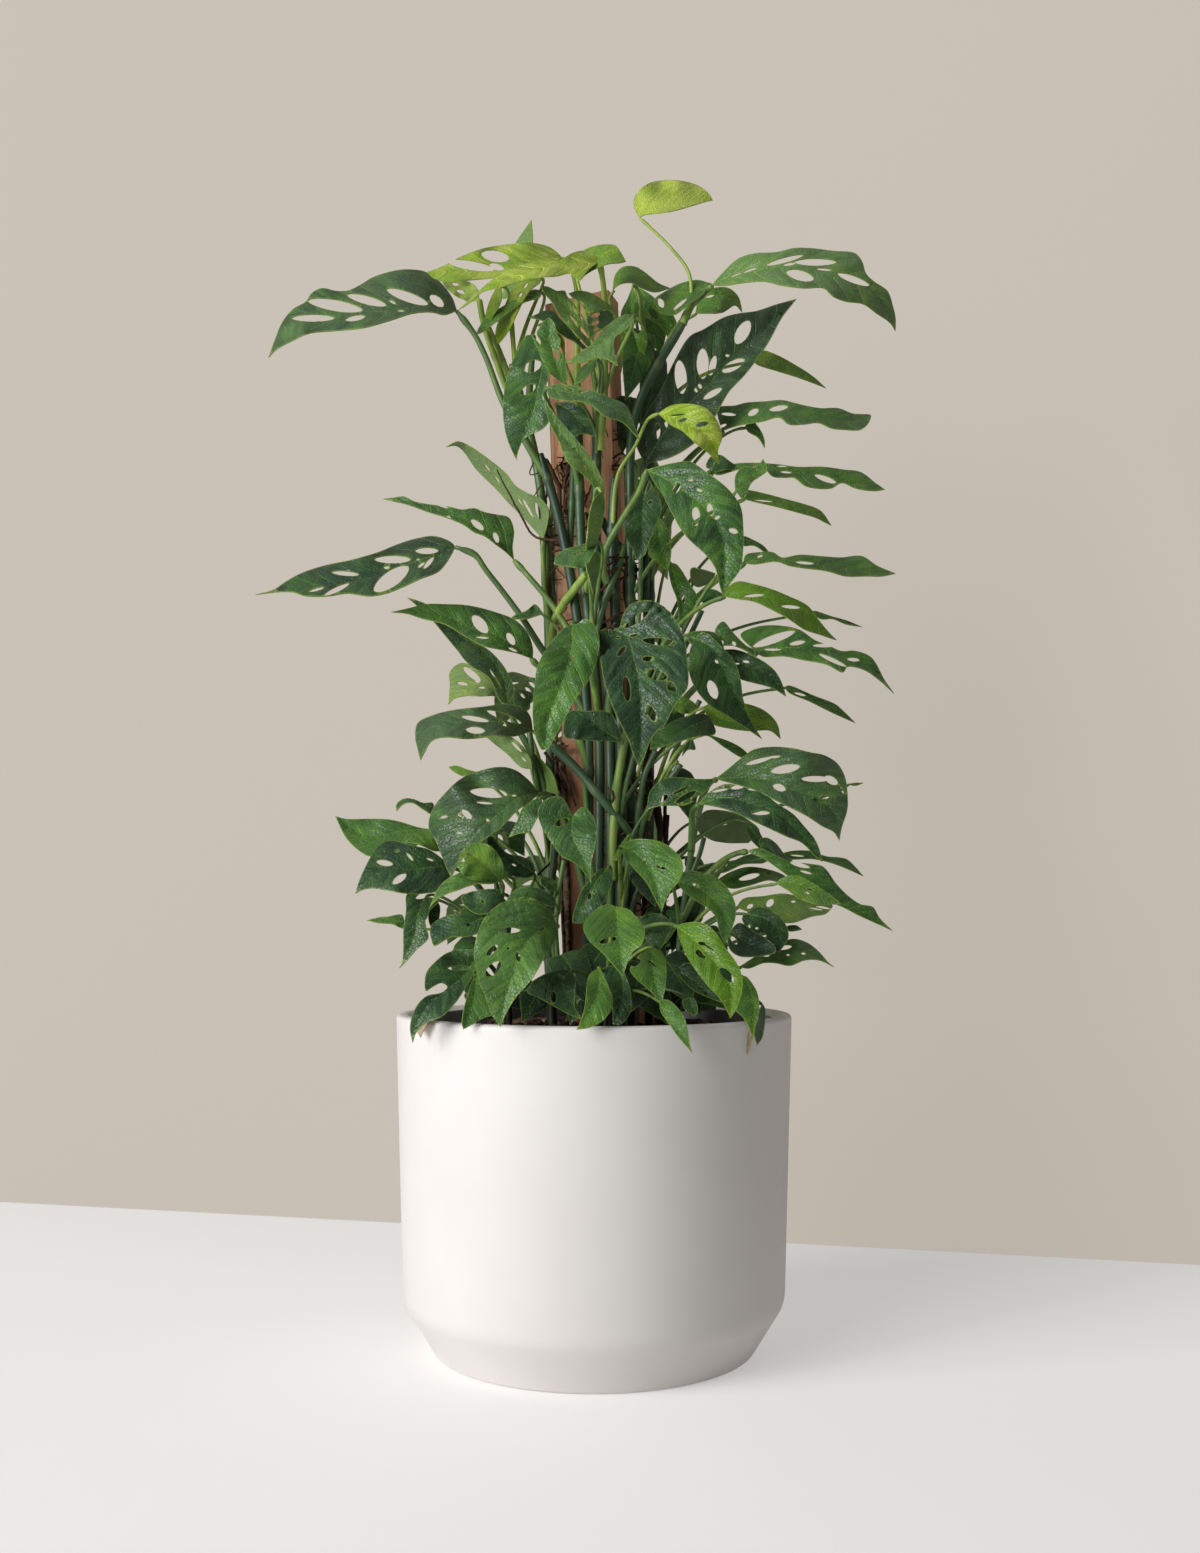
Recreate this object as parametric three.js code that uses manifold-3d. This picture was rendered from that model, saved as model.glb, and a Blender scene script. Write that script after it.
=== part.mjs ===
// A Swiss cheese vine, Monstera adansonii, trained up a sawn wooden stake. It grows in a
// nursery pot that stands inside a glazed cylinder pot with a bevelled foot.
// Millimetres, +Z up, origin at the middle of the glazed pot's foot, front towards -Y.

import * as THREE from 'three';
import { mergeVertices } from 'three/addons/utils/BufferGeometryUtils.js';
import Module from 'manifold-3d';

const wasm = await Module();
wasm.setup();

// ---- Driving dimensions ------------------------------------------------------------------

const POT = {
  rimRadius: 147,
  shoulderRadius: 142,
  footRadius: 119,
  height: 249,
  shoulderHeight: 38,
  wall: 8,
  floor: 12,
  rimRound: 3,
  sides: 36,
};
const NURSERY_POT = {
  rimRadius: 133,
  footRadius: 103,
  rimTop: 246,
  lipDepth: 14,
  wall: 2.4,
  drains: 4,
  drainRadius: 6,
  drainCircle: 70,
  sides: 24,
};
const SOIL = { edgeTop: 234, crown: 6, sides: 24 };
const STAKE = {
  width: 50,
  depth: 26,
  chamfer: 1.5,
  top: 780.5,
  topSlope: 0.1,
  foot: 60,
  turn: -18,
  upright: 540, // height at which its axis crosses the pot's
  lean: -0.0385,
};
const STEM = { radius: 3.6, sides: 5, steps: 6, footDepth: 36 };
const PETIOLE = {
  radius: 1.5,
  heelThickness: 2.2,
  steps: 2,
  firstHandle: 0.35, // how far along its reach a petiole turns away from the stem
  rise: 0.3, // how far above that point it climbs, as a share of its reach
  approach: 0.28, // how far out it turns in to the blade, as a share of its reach
  fromBehind: 0.55,
  fromBelow: 0.45,
};
const BLADE = {
  thickness: 1,
  fold: 12,
  droop: 0.22,
  ribPoints: 2,
  marginPoints: 5,
  veinAngle: 55,
  upLean: 0.3, // how far rightward counts as upward when a blade hangs straight down
};
// A margin bulges back at the base by a share of the length, over the first quarter of the blade.
const MARGIN = { crowding: 1.35, bulge: 0.09, bulgeReach: 4 };
// Holes start this far along the midrib and spread over this share of it; each runs from near to
// far across its half, and its breadth is a share of the length.
const HOLE = { first: 0.16, spread: 0.46, near: 0.2, far: 0.7, breadth: 0.15, extra: 0.015, widest: 0.06 };
const ROOT = { radius: 1.3, sides: 3, steps: 3 };
const GAP = 0.4; // running gap between pieces that touch
const DEGREES = Math.PI / 180;

// The front elevation is drawn from this point: x and z in the tables below lie on the upright
// plane through the pot's axis, and slide along the sight line to the point's own depth y.
const EYE = new THREE.Vector3(0, -1125, 322);

// ---- The vines -----------------------------------------------------------------------------
// stem: points [x, y, z] from the soil up. turn: degrees about Z, for vines behind the stake.
// Each leaf is a row: joint height on the stem, base x, z, y, tip x, z, y (elevation x and z,
// depth y), full width, tilt, arch, holes a side, tone.
// tilt 0 faces the front, 90 faces the sky, over 90 shows the underside to the front.
// arch is the rise of the midrib over its chord, as a share of the length.

const VINES = [
  {
    name: 'vine_left_front',
    stem: [[-5, -34], [-5, -33, 330], [-5, -32, 470], [-20, -33, 590], [-40, -38, 668]],
    leaves: [
      [650, -103, 773, -44, -244, 741, -60, 74, 58, 0.14, 3, 'deep'],
      [515, -61, 590, -22, -158, 634, -12, 48, 60, 0.08, 2, 'deep'],
      [470, -105, 597, -42, -253, 563, -60, 62, 50, 0.1, 3, 'deep'],
      [430, -47, 514, -46, -152, 549, -44, 50, 50, 0.1, 2, 'green'],
      [375, -46, 461, -52, -130, 438, -62, 52, 55, 0.25, 3, 'deep'],
      [330, -42, 412, -50, -106, 350, -68, 56, 30, 0.17, 3, 'deep'],
    ],
  },
  {
    name: 'vine_left',
    stem: [[-30, 4], [-33, 2, 350], [-33, 1, 500], [-40, -6, 640], [-62, -14, 735]],
    leaves: [
      [728, -42, 800, -14, -71, 752, -22, 32, 50, 0.08, 1, 'lime'],
      [705, -88, 783, 32, -120, 795, 40, 30, 120, 0.05, 1, 'lime'],
      [725, -73, 760, -6, -47, 843, 0, 34, 115, 0.05, 1, 'green'],
      [520, -37, 603, -18, -111, 674, 16, 42, 115, 0.06, 2, 'pale'],
      [400, -65, 481, -12, -139, 560, -4, 40, 72, -0.04, 1, 'deep'],
      [410, -74, 487, 20, -109, 482, 38, 46, 120, 0.1, 1, 'pale'],
      [690, -40, 745, -42, -58, 663, -58, 46, -15, 0.1, 1, 'deep'],
      [350, -28, 418, -18, -79, 456, 10, 30, 110, 0.05, 1, 'pale'],
    ],
  },
  {
    name: 'vine_left_back',
    stem: [[-30, 24], [-34, 22, 330], [-30, 26, 480], [-34, 24, 620]],
    leaves: [
      [300, -115, 384, 8, -194, 396, 8, 55, 45, 0.1, 0, 'green'],
      [560, -30, 612, 40, -14, 552, 84, 36, 150, 0.12, 2, 'deep'],
      [600, -22, 700, 45, -24, 655, 100, 36, 150, 0.15, 2, 'green'],
      [420, -48, 500, 55, -72, 462, 105, 42, 150, 0.12, 2, 'deep'],
      [330, -64, 388, 50, -94, 348, 98, 44, 150, 0.15, 2, 'green'],
      [280, -80, 330, 50, -110, 300, 85, 40, 150, 0.15, 1, 'deep'],
    ],
  },
  {
    name: 'vine_low_left',
    stem: [[-62, -32], [-66, -36, 290], [-74, -44, 350]],
    leaves: [
      [300, -104, 357, -46, -179, 338, -66, 52, 30, 0.08, 2, 'deep'],
      [310, -115, 367, -34, -143, 376, -42, 26, 55, 0.08, 0, 'green'],
      [320, -69, 351, -92, -102, 370, -106, 36, 20, 0.1, 1, 'green'],
      [300, -66, 342, -80, -125, 324, -100, 28, 60, 0.15, 1, 'green'],
      [280, -123, 338, -32, -146, 282, -46, 30, 10, 0.1, 1, 'deep'],
      [270, -70, 322, -62, -121, 303, -78, 42, 30, 0.08, 1, 'deep'],
      [262, -28, 314, -100, -68, 238, -152, 60, 15, 0.18, 3, 'green'],
      [255, -76, 288, -84, -137, 226, -118, 46, 20, 0.15, 2, 'deep'],
      [250, -82, 280, -100, -98, 235, -130, 30, 10, 0.1, 0, 'green'],
      [300, -44, 352, -44, -69, 370, -56, 30, 30, 0.08, 0, 'deep'],
    ],
  },
  {
    name: 'vine_centre_left',
    stem: [[4, -36], [3.5, -35, 330], [3.5, -33, 470], [-9, -33, 590], [-12, -34, 700]],
    leaves: [
      [690, -24, 815, -30, -124, 804, -42, 54, 60, 0.1, 3, 'lime'],
      [640, -34, 717, -78, 32, 677, -97, 36, 50, 0.12, 1, 'deep'],
      [645, -22, 708, -58, 1, 681, -68, 36, 10, 0.08, 0, 'deep'],
      [560, -2, 605, -80, -37, 708, -88, 26, 60, 0.1, 0, 'pale'],
      [520, -3, 588, -88, -31, 586, -98, 34, 40, 0.1, 0, 'green'],
      [470, -9, 536, -112, -39, 442, -136, 50, 0, 0.1, 1, 'green'],
      [330, -17, 397, -116, -2, 343, -136, 48, -10, 0.12, 1, 'deep'],
    ],
  },
  {
    name: 'vine_centre',
    stem: [[12, -40], [12, -39, 330], [11.5, -37, 470], [2, -36, 590], [3, -36, 730]],
    leaves: [
      [726, 3, 810, -72, -101, 776, -86, 36, 70, 0.08, 1, 'lime'],
      [680, -2, 749, -74, -41, 795, -82, 30, 60, 0.05, 2, 'deep'],
      [700, 17, 772, -66, -19, 788, -74, 28, 60, 0.15, 0, 'deep'],
      [690, -5, 745, -60, -46, 771, -66, 24, 50, 0.05, 0, 'deep'],
      [680, -31, 766, -72, -21, 725, -82, 30, -20, 0.1, 1, 'green'],
      [690, 29, 771, -80, -21, 737, -96, 38, 20, 0.08, 0, 'deep'],
      [470, 22, 536, -112, 34, 433, -140, 68, 5, 0.12, 3, 'deep'],
      [400, 21, 451, -62, -28, 474, -76, 38, 10, 0.06, 1, 'deep'],
      [310, 11, 359, -86, -15, 318, -100, 34, 0, 0.06, 1, 'deep'],
    ],
  },
  {
    name: 'vine_centre_right',
    stem: [[20, -40], [20, -40, 330], [19.5, -38, 470], [14, -37, 590], [15, -37, 650]],
    leaves: [
      [610, 46, 698, -95, 93, 660, -115, 40, 35, 0.2, 1, 'lime'],
      [560, 40, 655, -90, 97, 561, -120, 64, 20, 0.12, 3, 'deep'],
      [320, 25, 372, -106, 50, 325, -130, 42, 15, 0.1, 1, 'green'],
      [350, 40, 402, -60, 92, 423, -72, 36, 40, 0.08, 1, 'deep'],
      [400, 79, 472, -72, 42, 447, -92, 40, 30, 0.1, 0, 'deep'],
    ],
  },
  {
    name: 'vine_right_front',
    stem: [[29, -32], [28, -32, 330], [28, -31, 500], [27, -32, 620], [32, -35, 700], [68, -37, 768]],
    leaves: [
      [762, 35, 845, -32, 88, 859, -38, 32, 50, 0.12, 0, 'lime'],
      [765, 84, 793, -38, 227, 760, -45, 60, 66, 0.2, 3, 'green'],
      [575, 46, 652, -46, 60, 580, -52, 34, 0, 0.06, 1, 'deep'],
      [560, 110, 629, -46, 127, 663, -50, 30, 30, 0.1, 0, 'green'],
      [480, 91, 565, -42, 182, 528, -52, 44, 55, 0.12, 1, 'lime'],
      [440, 82, 526, -58, 125, 454, -76, 44, 25, 0.08, 2, 'deep'],
      [450, 108, 521, -46, 144, 484, -60, 34, 30, 0.08, 1, 'deep'],
    ],
  },
  {
    name: 'vine_right',
    stem: [[42, -12], [41, -14, 330], [42, -13, 500], [42, -12, 640], [46, -8, 720]],
    leaves: [
      [600, 41, 668, -20, 151, 784, -12, 62, 12, 0.05, 3, 'deep'],
      [705, 16, 790, -26, 57, 791, -22, 30, 60, 0.3, 0, 'green'],
      [690, 32, 796, -8, 34, 728, -14, 26, -20, 0.06, 2, 'green'],
      [700, 42, 794, 10, 61, 749, 6, 40, 10, 0.06, 2, 'green'],
      [610, 95, 683, -10, 208, 694, -6, 44, 62, 0.15, 2, 'green'],
      [580, 88, 653, -16, 218, 641, -20, 46, 72, 0.1, 2, 'green'],
      [500, 106, 586, -20, 225, 578, -26, 44, 64, 0.1, 2, 'green'],
      [510, 59, 587, -12, 66, 537, -16, 26, 20, 0.06, 1, 'green'],
      [440, 122, 515, -30, 224, 489, -36, 58, 48, 0.12, 3, 'green'],
      [400, 87, 468, -38, 140, 454, -42, 38, 40, 0.15, 0, 'green'],
    ],
  },
  {
    name: 'vine_right_back',
    stem: [[38, 14], [39, 13, 330], [40, 14, 500], [41, 15, 640], [44, 16, 725]],
    leaves: [
      [705, 76, 773, 16, 111, 774, 26, 40, 40, 0.25, 1, 'green'],
      [690, 98, 749, 10, 175, 717, 20, 28, 65, 0.1, 0, 'green'],
      [570, 99, 644, 14, 178, 614, 20, 34, 74, 0.08, 1, 'green'],
      [480, 106, 558, 20, 200, 538, 25, 24, 72, 0.05, 0, 'green'],
      [430, 108, 498, 10, 196, 466, 15, 30, 68, 0.08, 1, 'green'],
      [340, 76, 392, 14, 117, 376, 24, 36, 110, 0.08, 1, 'pale'],
      [320, 112, 365, 12, 202, 352, 18, 34, 70, 0.1, 1, 'green'],
      [300, 91, 349, 8, 149, 349, 14, 40, 62, 0.1, 1, 'green'],
    ],
  },
  {
    name: 'vine_low_right',
    stem: [[62, -34], [64, -38, 290], [70, -46, 350], [78, -54, 400]],
    leaves: [
      [395, 93, 424, -64, 184, 378, -88, 64, 35, 0.25, 3, 'green'],
      [370, 80, 405, -84, 171, 361, -102, 50, 42, 0.15, 2, 'deep'],
      [320, 112, 368, -46, 223, 310, -56, 50, 42, 0.1, 2, 'green'],
      [300, 138, 347, -76, 186, 330, -86, 34, 45, 0.08, 0, 'green'],
      [290, 107, 327, -28, 179, 328, -22, 40, 118, 0.06, 2, 'pale'],
      [290, 114, 332, -62, 145, 301, -76, 42, 30, 0.08, 1, 'deep'],
      [275, 100, 307, -78, 136, 291, -92, 38, 30, 0.08, 1, 'deep'],
      [265, 113, 286, -50, 180, 282, -62, 36, 55, 0.1, 2, 'green'],
      [300, 62, 345, -90, 96, 296, -106, 46, 20, 0.12, 1, 'green'],
      [255, 106, 284, -92, 120, 230, -124, 38, 20, 0.12, 0, 'green'],
      [255, 113, 262, -98, 122, 223, -128, 34, 40, 0.1, 0, 'deep'],
      [255, 64, 283, -86, 102, 258, -106, 26, 30, 0.08, 0, 'deep'],
    ],
  },
  {
    name: 'vine_low_front',
    stem: [[8, -78], [10, -84, 270], [14, -92, 300]],
    leaves: [
      [290, 62, 314, -120, 101, 244, -152, 44, 12, 0.12, 1, 'lime'],
      [270, 24, 321, -122, 21, 276, -158, 56, 10, 0.1, 1, 'green'],
      [262, 42, 299, -108, 50, 253, -132, 38, 0, 0.1, 1, 'green'],
      [250, 49, 258, -140, 73, 218, -160, 22, 30, 0.1, 0, 'green'],
      [262, -22, 280, -104, -10, 244, -130, 40, 0, 0.1, 1, 'deep'],
      [258, 5, 286, -118, -13, 235, -158, 36, 0, 0.1, 0, 'green'],
    ],
  },
  {
    name: 'vine_back',
    turn: 180,
    stem: [[4, -26], [2, -27, 400], [4, -26, 600], [2, -26, 730]],
    leaves: [
      [700, 8, 800, -28, -20, 752, -44, 30, 60, 0.15, 0, 'lime'],
      [640, -30, 720, -90, -70, 640, -130, 52, 25, 0.14, 2, 'deep'],
      [600, 6, 670, -90, 20, 590, -130, 50, 25, 0.14, 3, 'deep'],
      [500, -35, 580, -100, -75, 500, -135, 56, 25, 0.14, 3, 'green'],
      [440, 8, 520, -100, 22, 430, -140, 50, 20, 0.14, 3, 'deep'],
      [360, -25, 430, -100, -60, 350, -140, 54, 20, 0.14, 2, 'deep'],
      [300, 35, 370, -95, 70, 300, -140, 52, 20, 0.14, 2, 'green'],
      [270, -40, 320, -90, -60, 262, -130, 46, 20, 0.14, 1, 'green'],
    ],
  },
];

// Aerial roots that grip the stake: the vine, the height of the node each grows from, then the
// points [x, z, y] it passes, in the same elevation.
const AERIAL_ROOTS = [
  ['vine_centre_left', 660, [-22, 650, -18], [-24, 612, -11]],
  ['vine_right_front', 588, [32, 578, -22], [31, 570, -8]],
  ['vine_centre_right', 472, [24, 462, -28], [31, 452, -14]],
  ['vine_centre', 380, [12, 372, -28], [12.5, 360, -18]],
  ['vine_left', 462, [-36, 452, 6], [-32, 442, 13]],
  ['vine_left_front', 604, [-44, 606, -31], [-56, 624, -34], [-66, 642, -36], [-73, 656, -37]],
];

// ---- Finishes ------------------------------------------------------------------------------

const finish = (color, roughness) => new THREE.MeshStandardMaterial({ color, roughness, metalness: 0 });
const GLAZE = finish(0xe4e2e0, 0.45);
const BLACK_PLASTIC = finish(0x1c1b1a, 0.4);
const COMPOST = finish(0x2e2119, 0.95);
const SAWN_WOOD = finish(0xa8643f, 0.8);
const MATURE_LEAF = finish(0x2f5526, 0.4);
const NEW_LEAF = finish(0x7da23a, 0.4);

// ---- Solids --------------------------------------------------------------------------------

function signedVolume(positions, index) {
  const corner = [new THREE.Vector3(), new THREE.Vector3(), new THREE.Vector3()];
  let volume = 0;
  for (let i = 0; i < index.length; i += 3) {
    corner.forEach((point, k) => point.fromArray(positions, 3 * index[i + k]));
    volume += corner[0].dot(corner[1].cross(corner[2])) / 6;
  }
  return volume;
}

// A closed three.js geometry as a solid, with its faces turned outwards.
function solidOf(geometry) {
  geometry.deleteAttribute('normal');
  geometry.deleteAttribute('uv');
  const merged = mergeVertices(geometry, 1e-4);
  const vertProperties = new Float32Array(merged.attributes.position.array);
  const triVerts = new Uint32Array(merged.index.array);
  if (signedVolume(vertProperties, triVerts) < 0) {
    for (let i = 0; i < triVerts.length; i += 3) {
      [triVerts[i], triVerts[i + 1]] = [triVerts[i + 1], triVerts[i]];
    }
  }
  return new wasm.Manifold(new wasm.Mesh({ numProp: 3, vertProperties, triVerts }));
}

// The largest body of a solid: scraps that a join or cut leaves loose are dropped.
function mainBody(solid) {
  const bodies = solid.decompose();
  return bodies.reduce((best, body) => (body.volume() > best.volume() ? body : best));
}

function meshOf(name, solid, material) {
  const { vertProperties, triVerts } = solid.getMesh();
  const geometry = new THREE.BufferGeometry();
  geometry.setAttribute('position', new THREE.BufferAttribute(vertProperties, 3));
  geometry.setIndex(new THREE.BufferAttribute(triVerts, 1));
  geometry.computeVertexNormals();
  const mesh = new THREE.Mesh(geometry, material);
  mesh.name = name;
  return mesh;
}

const joined = (solids) => solids.reduce((whole, solid) => whole.add(solid));

// A profile of [radius, height] points, from the axis round to the axis, turned about Z.
function turned(profile, sides) {
  const points = profile.map(([radius, height]) => new THREE.Vector2(radius, height));
  return solidOf(new THREE.LatheGeometry(points, sides).rotateX(Math.PI / 2));
}

function roundSection(radius, sides) {
  const section = new THREE.Shape();
  for (let i = 0; i < sides; i += 1) {
    const angle = (2 * Math.PI * i) / sides;
    section[i ? 'lineTo' : 'moveTo'](radius * Math.cos(angle), radius * Math.sin(angle));
  }
  return section;
}

// A round bar of the given radius along a smooth curve.
function bar(curve, { radius, sides, steps }) {
  const options = { extrudePath: curve, steps, bevelEnabled: false };
  return solidOf(new THREE.ExtrudeGeometry(roundSection(radius, sides), options));
}

function onSightLine(x, z, y) {
  return new THREE.Vector3(x, 0, z).sub(EYE).multiplyScalar(1 - y / EYE.y).add(EYE);
}

// ---- Pots, soil and stake ------------------------------------------------------------------

// Outer radius of the glazed pot at a height: a bevelled foot, then a wall that widens slightly.
function potRadius(at) {
  const { footRadius, shoulderRadius, rimRadius, shoulderHeight, height } = POT;
  if (at < shoulderHeight) {
    return THREE.MathUtils.mapLinear(at, 0, shoulderHeight, footRadius, shoulderRadius);
  }
  return THREE.MathUtils.mapLinear(at, shoulderHeight, height, shoulderRadius, rimRadius);
}

function glazedPot() {
  const { height, wall, floor, rimRound, shoulderHeight, sides } = POT;
  const rim = potRadius(height);
  return turned([
    [0, 0],
    [potRadius(0), 0],
    [potRadius(shoulderHeight - 3), shoulderHeight - 3],
    [potRadius(shoulderHeight + 3), shoulderHeight + 3],
    [rim, height - rimRound],
    [rim - rimRound, height],
    [rim - wall + rimRound, height],
    [rim - wall, height - rimRound],
    [potRadius(shoulderHeight) - wall, shoulderHeight + 3],
    [potRadius(floor) - wall, floor],
    [0, floor],
  ], sides);
}

// Inner radius of the nursery pot at a height.
function nurseryBore(height) {
  const { rimRadius, footRadius, rimTop, wall, lipDepth } = NURSERY_POT;
  const foot = POT.floor + GAP;
  return THREE.MathUtils.mapLinear(height, foot, rimTop, footRadius, rimRadius - lipDepth / 4) - wall;
}

function nurseryPot() {
  const { rimRadius, footRadius, rimTop, lipDepth, wall, sides } = NURSERY_POT;
  const { drains, drainRadius, drainCircle } = NURSERY_POT;
  const foot = POT.floor + GAP;
  const underLip = rimTop - lipDepth;
  let pot = turned([
    [0, foot],
    [footRadius, foot],
    [nurseryBore(underLip) + wall, underLip],
    [rimRadius, underLip],
    [rimRadius, rimTop],
    [nurseryBore(rimTop), rimTop],
    [nurseryBore(foot + wall), foot + wall],
    [0, foot + wall],
  ], sides);
  for (let i = 0; i < drains; i += 1) {
    const angle = (2 * Math.PI * i) / drains;
    const drain = new THREE.CylinderGeometry(drainRadius, drainRadius, 4 * wall, 8).rotateX(Math.PI / 2);
    drain.translate(drainCircle * Math.cos(angle), drainCircle * Math.sin(angle), foot);
    pot = pot.subtract(solidOf(drain));
  }
  return pot;
}

// The sawn stake, turned about Z and leaning; grown by a margin it cuts its own hole in the soil.
function stakeSolid(margin = 0) {
  const { width, depth, chamfer, top, topSlope, foot, turn, upright, lean } = STAKE;
  const [x, y] = [width / 2 + margin, depth / 2 + margin];
  const section = new THREE.Shape([
    new THREE.Vector2(chamfer - x, -y), new THREE.Vector2(x - chamfer, -y),
    new THREE.Vector2(x, chamfer - y), new THREE.Vector2(x, y - chamfer),
    new THREE.Vector2(x - chamfer, y), new THREE.Vector2(chamfer - x, y),
    new THREE.Vector2(-x, y - chamfer), new THREE.Vector2(-x, chamfer - y),
  ]);
  const geometry = new THREE.ExtrudeGeometry(section, { depth: 1, bevelEnabled: false });
  const points = geometry.attributes.position;
  for (let i = 0; i < points.count; i += 1) {
    const height = points.getZ(i) > 0.5 ? top + topSlope * points.getX(i) : foot - margin;
    points.setZ(i, height);
  }
  geometry.rotateZ(turn * DEGREES);
  for (let i = 0; i < points.count; i += 1) {
    points.setX(i, points.getX(i) + lean * (points.getZ(i) - upright));
  }
  return solidOf(geometry);
}

function soilSolid(cutters) {
  const { edgeTop, crown, sides } = SOIL;
  const bottom = POT.floor + NURSERY_POT.wall + 2 * GAP;
  const soil = turned([
    [0, bottom],
    [nurseryBore(bottom) - GAP, bottom],
    [nurseryBore(edgeTop) - GAP, edgeTop],
    [nurseryBore(edgeTop) / 2, edgeTop + crown],
    [0, edgeTop + crown],
  ], sides);
  return mainBody(cutters.reduce((rest, cutter) => rest.subtract(cutter), soil));
}

// ---- Stems, petioles and roots -------------------------------------------------------------

function stemCurve(vine) {
  const foot = SOIL.edgeTop - STEM.footDepth;
  return new THREE.CatmullRomCurve3(vine.stem.map(([x, y, z = foot]) => onSightLine(x, z, y)));
}

function stemSolid(vine, margin = 0) {
  return bar(stemCurve(vine), { ...STEM, radius: STEM.radius + margin });
}

// The point of a vine's stem that the elevation shows at the given height.
function nodeOfStem(vine, elevation) {
  const { z: height } = onSightLine(0, elevation, vine.stem.at(-1)[1]);
  const off = (point) => Math.abs(point.z - height);
  return stemCurve(vine).getPoints(80).reduce((best, point) => (off(point) < off(best) ? point : best));
}

// A petiole rises from its stem and comes to the heel of the blade from behind and below.
function petioleCurve(from, leaf) {
  const reach = from.distanceTo(leaf.base);
  const rising = from.clone().lerp(leaf.base, PETIOLE.firstHandle);
  rising.z += PETIOLE.rise * reach;
  const arriving = leaf.base.clone();
  arriving.addScaledVector(leaf.along, -PETIOLE.fromBehind * PETIOLE.approach * reach);
  arriving.addScaledVector(leaf.normal, -PETIOLE.fromBelow * PETIOLE.approach * reach);
  return new THREE.CubicBezierCurve3(from, rising, arriving, leaf.base);
}

function rootSolids(vine) {
  return AERIAL_ROOTS.filter(([name]) => name === vine.name).map(([, height, ...points]) => {
    const path = [nodeOfStem(vine, height), ...points.map((point) => onSightLine(...point))];
    return bar(new THREE.CatmullRomCurve3(path), ROOT);
  });
}

// ---- Leaves --------------------------------------------------------------------------------

// A row of the tables as a leaf: its base, the axes of its blade, and its measures.
function leafFrom([joint, bx, bz, by, tx, tz, ty, width, tilt, arch, holes, tone]) {
  const base = onSightLine(bx, bz, by);
  const tip = onSightLine(tx, tz, ty);
  const along = tip.clone().sub(base);
  const length = along.length();
  along.normalize();
  const toEye = EYE.clone().sub(base.clone().lerp(tip, 0.5));
  toEye.addScaledVector(along, -toEye.dot(along)).normalize();
  const up = new THREE.Vector3().crossVectors(along, toEye);
  if (up.z + BLADE.upLean * up.x < 0) {
    up.negate();
  }
  const normal = toEye.clone().multiplyScalar(Math.cos(tilt * DEGREES));
  normal.addScaledVector(up, Math.sin(tilt * DEGREES));
  const across = new THREE.Vector3().crossVectors(normal, along);
  return { joint, base, along, across, normal, length, width, arch, holes, tone };
}

// Half-width of the blade at s, from 0 at its base to 1 at its tip, as a share of the widest.
function bladeProfile(s) {
  return 2.7 * s ** 0.5 * (1 - s) ** 1.1;
}

// The blade at s along the midrib and q millimetres to the side: the midrib arches, the halves
// fold up along it, and the margins droop.
function bladePoint(leaf, s, q) {
  const rise = leaf.arch * leaf.length * Math.sin(Math.PI * Math.max(s, 0) ** 0.85);
  const fold = Math.abs(q) * Math.sin(BLADE.fold * DEGREES) - (BLADE.droop * q * q) / (leaf.width / 2);
  return leaf.base.clone()
    .addScaledVector(leaf.along, leaf.length * s)
    .addScaledVector(leaf.normal, rise + fold)
    .addScaledVector(leaf.across, q * Math.cos(BLADE.fold * DEGREES));
}

// The margin points of one half, from base to tip, as [s, q]; the base bulges back a little
// round the petiole. side is 1 or -1.
function marginOf(leaf, side) {
  const points = [];
  for (let i = 1; i <= BLADE.marginPoints; i += 1) {
    const u = (i / (BLADE.marginPoints + 1)) ** MARGIN.crowding;
    const bulge = MARGIN.bulge * Math.sin(Math.PI * Math.min(MARGIN.bulgeReach * u, 1));
    points.push(new THREE.Vector2(u - bulge, (side * bladeProfile(u) * leaf.width) / 2));
  }
  return points;
}

// The holes of one half, each a wedge lying along the side veins, which leave the midrib at
// BLADE.veinAngle.
function holesOf(leaf, side) {
  const holes = [];
  const { first, spread, near, far, extra, widest } = HOLE;
  const slant = Math.tan((90 - BLADE.veinAngle) * DEGREES);
  const breadth = Math.min(HOLE.breadth / leaf.holes + extra, widest);
  const halfAt = (s) => (bladeProfile(Math.min(s, 0.95)) * leaf.width) / 2;
  for (let i = 0; i < leaf.holes; i += 1) {
    const root = first + (spread * (i + 0.25 * (side + 1))) / leaf.holes;
    const inner = near * halfAt(root);
    const outer = far * Math.min(halfAt(root), halfAt(root + (far * slant * halfAt(root)) / leaf.length));
    const at = (q, shift) => new THREE.Vector2(root + (q * slant) / leaf.length + shift, side * q);
    holes.push([at(inner, breadth), at(outer, 0), at(inner, -breadth)]);
  }
  return holes;
}

// Three names of flat points, put in anticlockwise order.
function anticlockwise(flat, [i, j, k]) {
  const [a, b, c] = [flat[i], flat[j], flat[k]];
  const area = (b.x - a.x) * (c.y - a.y) - (c.x - a.x) * (b.y - a.y);
  return area > 0 ? [i, j, k] : [i, k, j];
}

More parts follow.
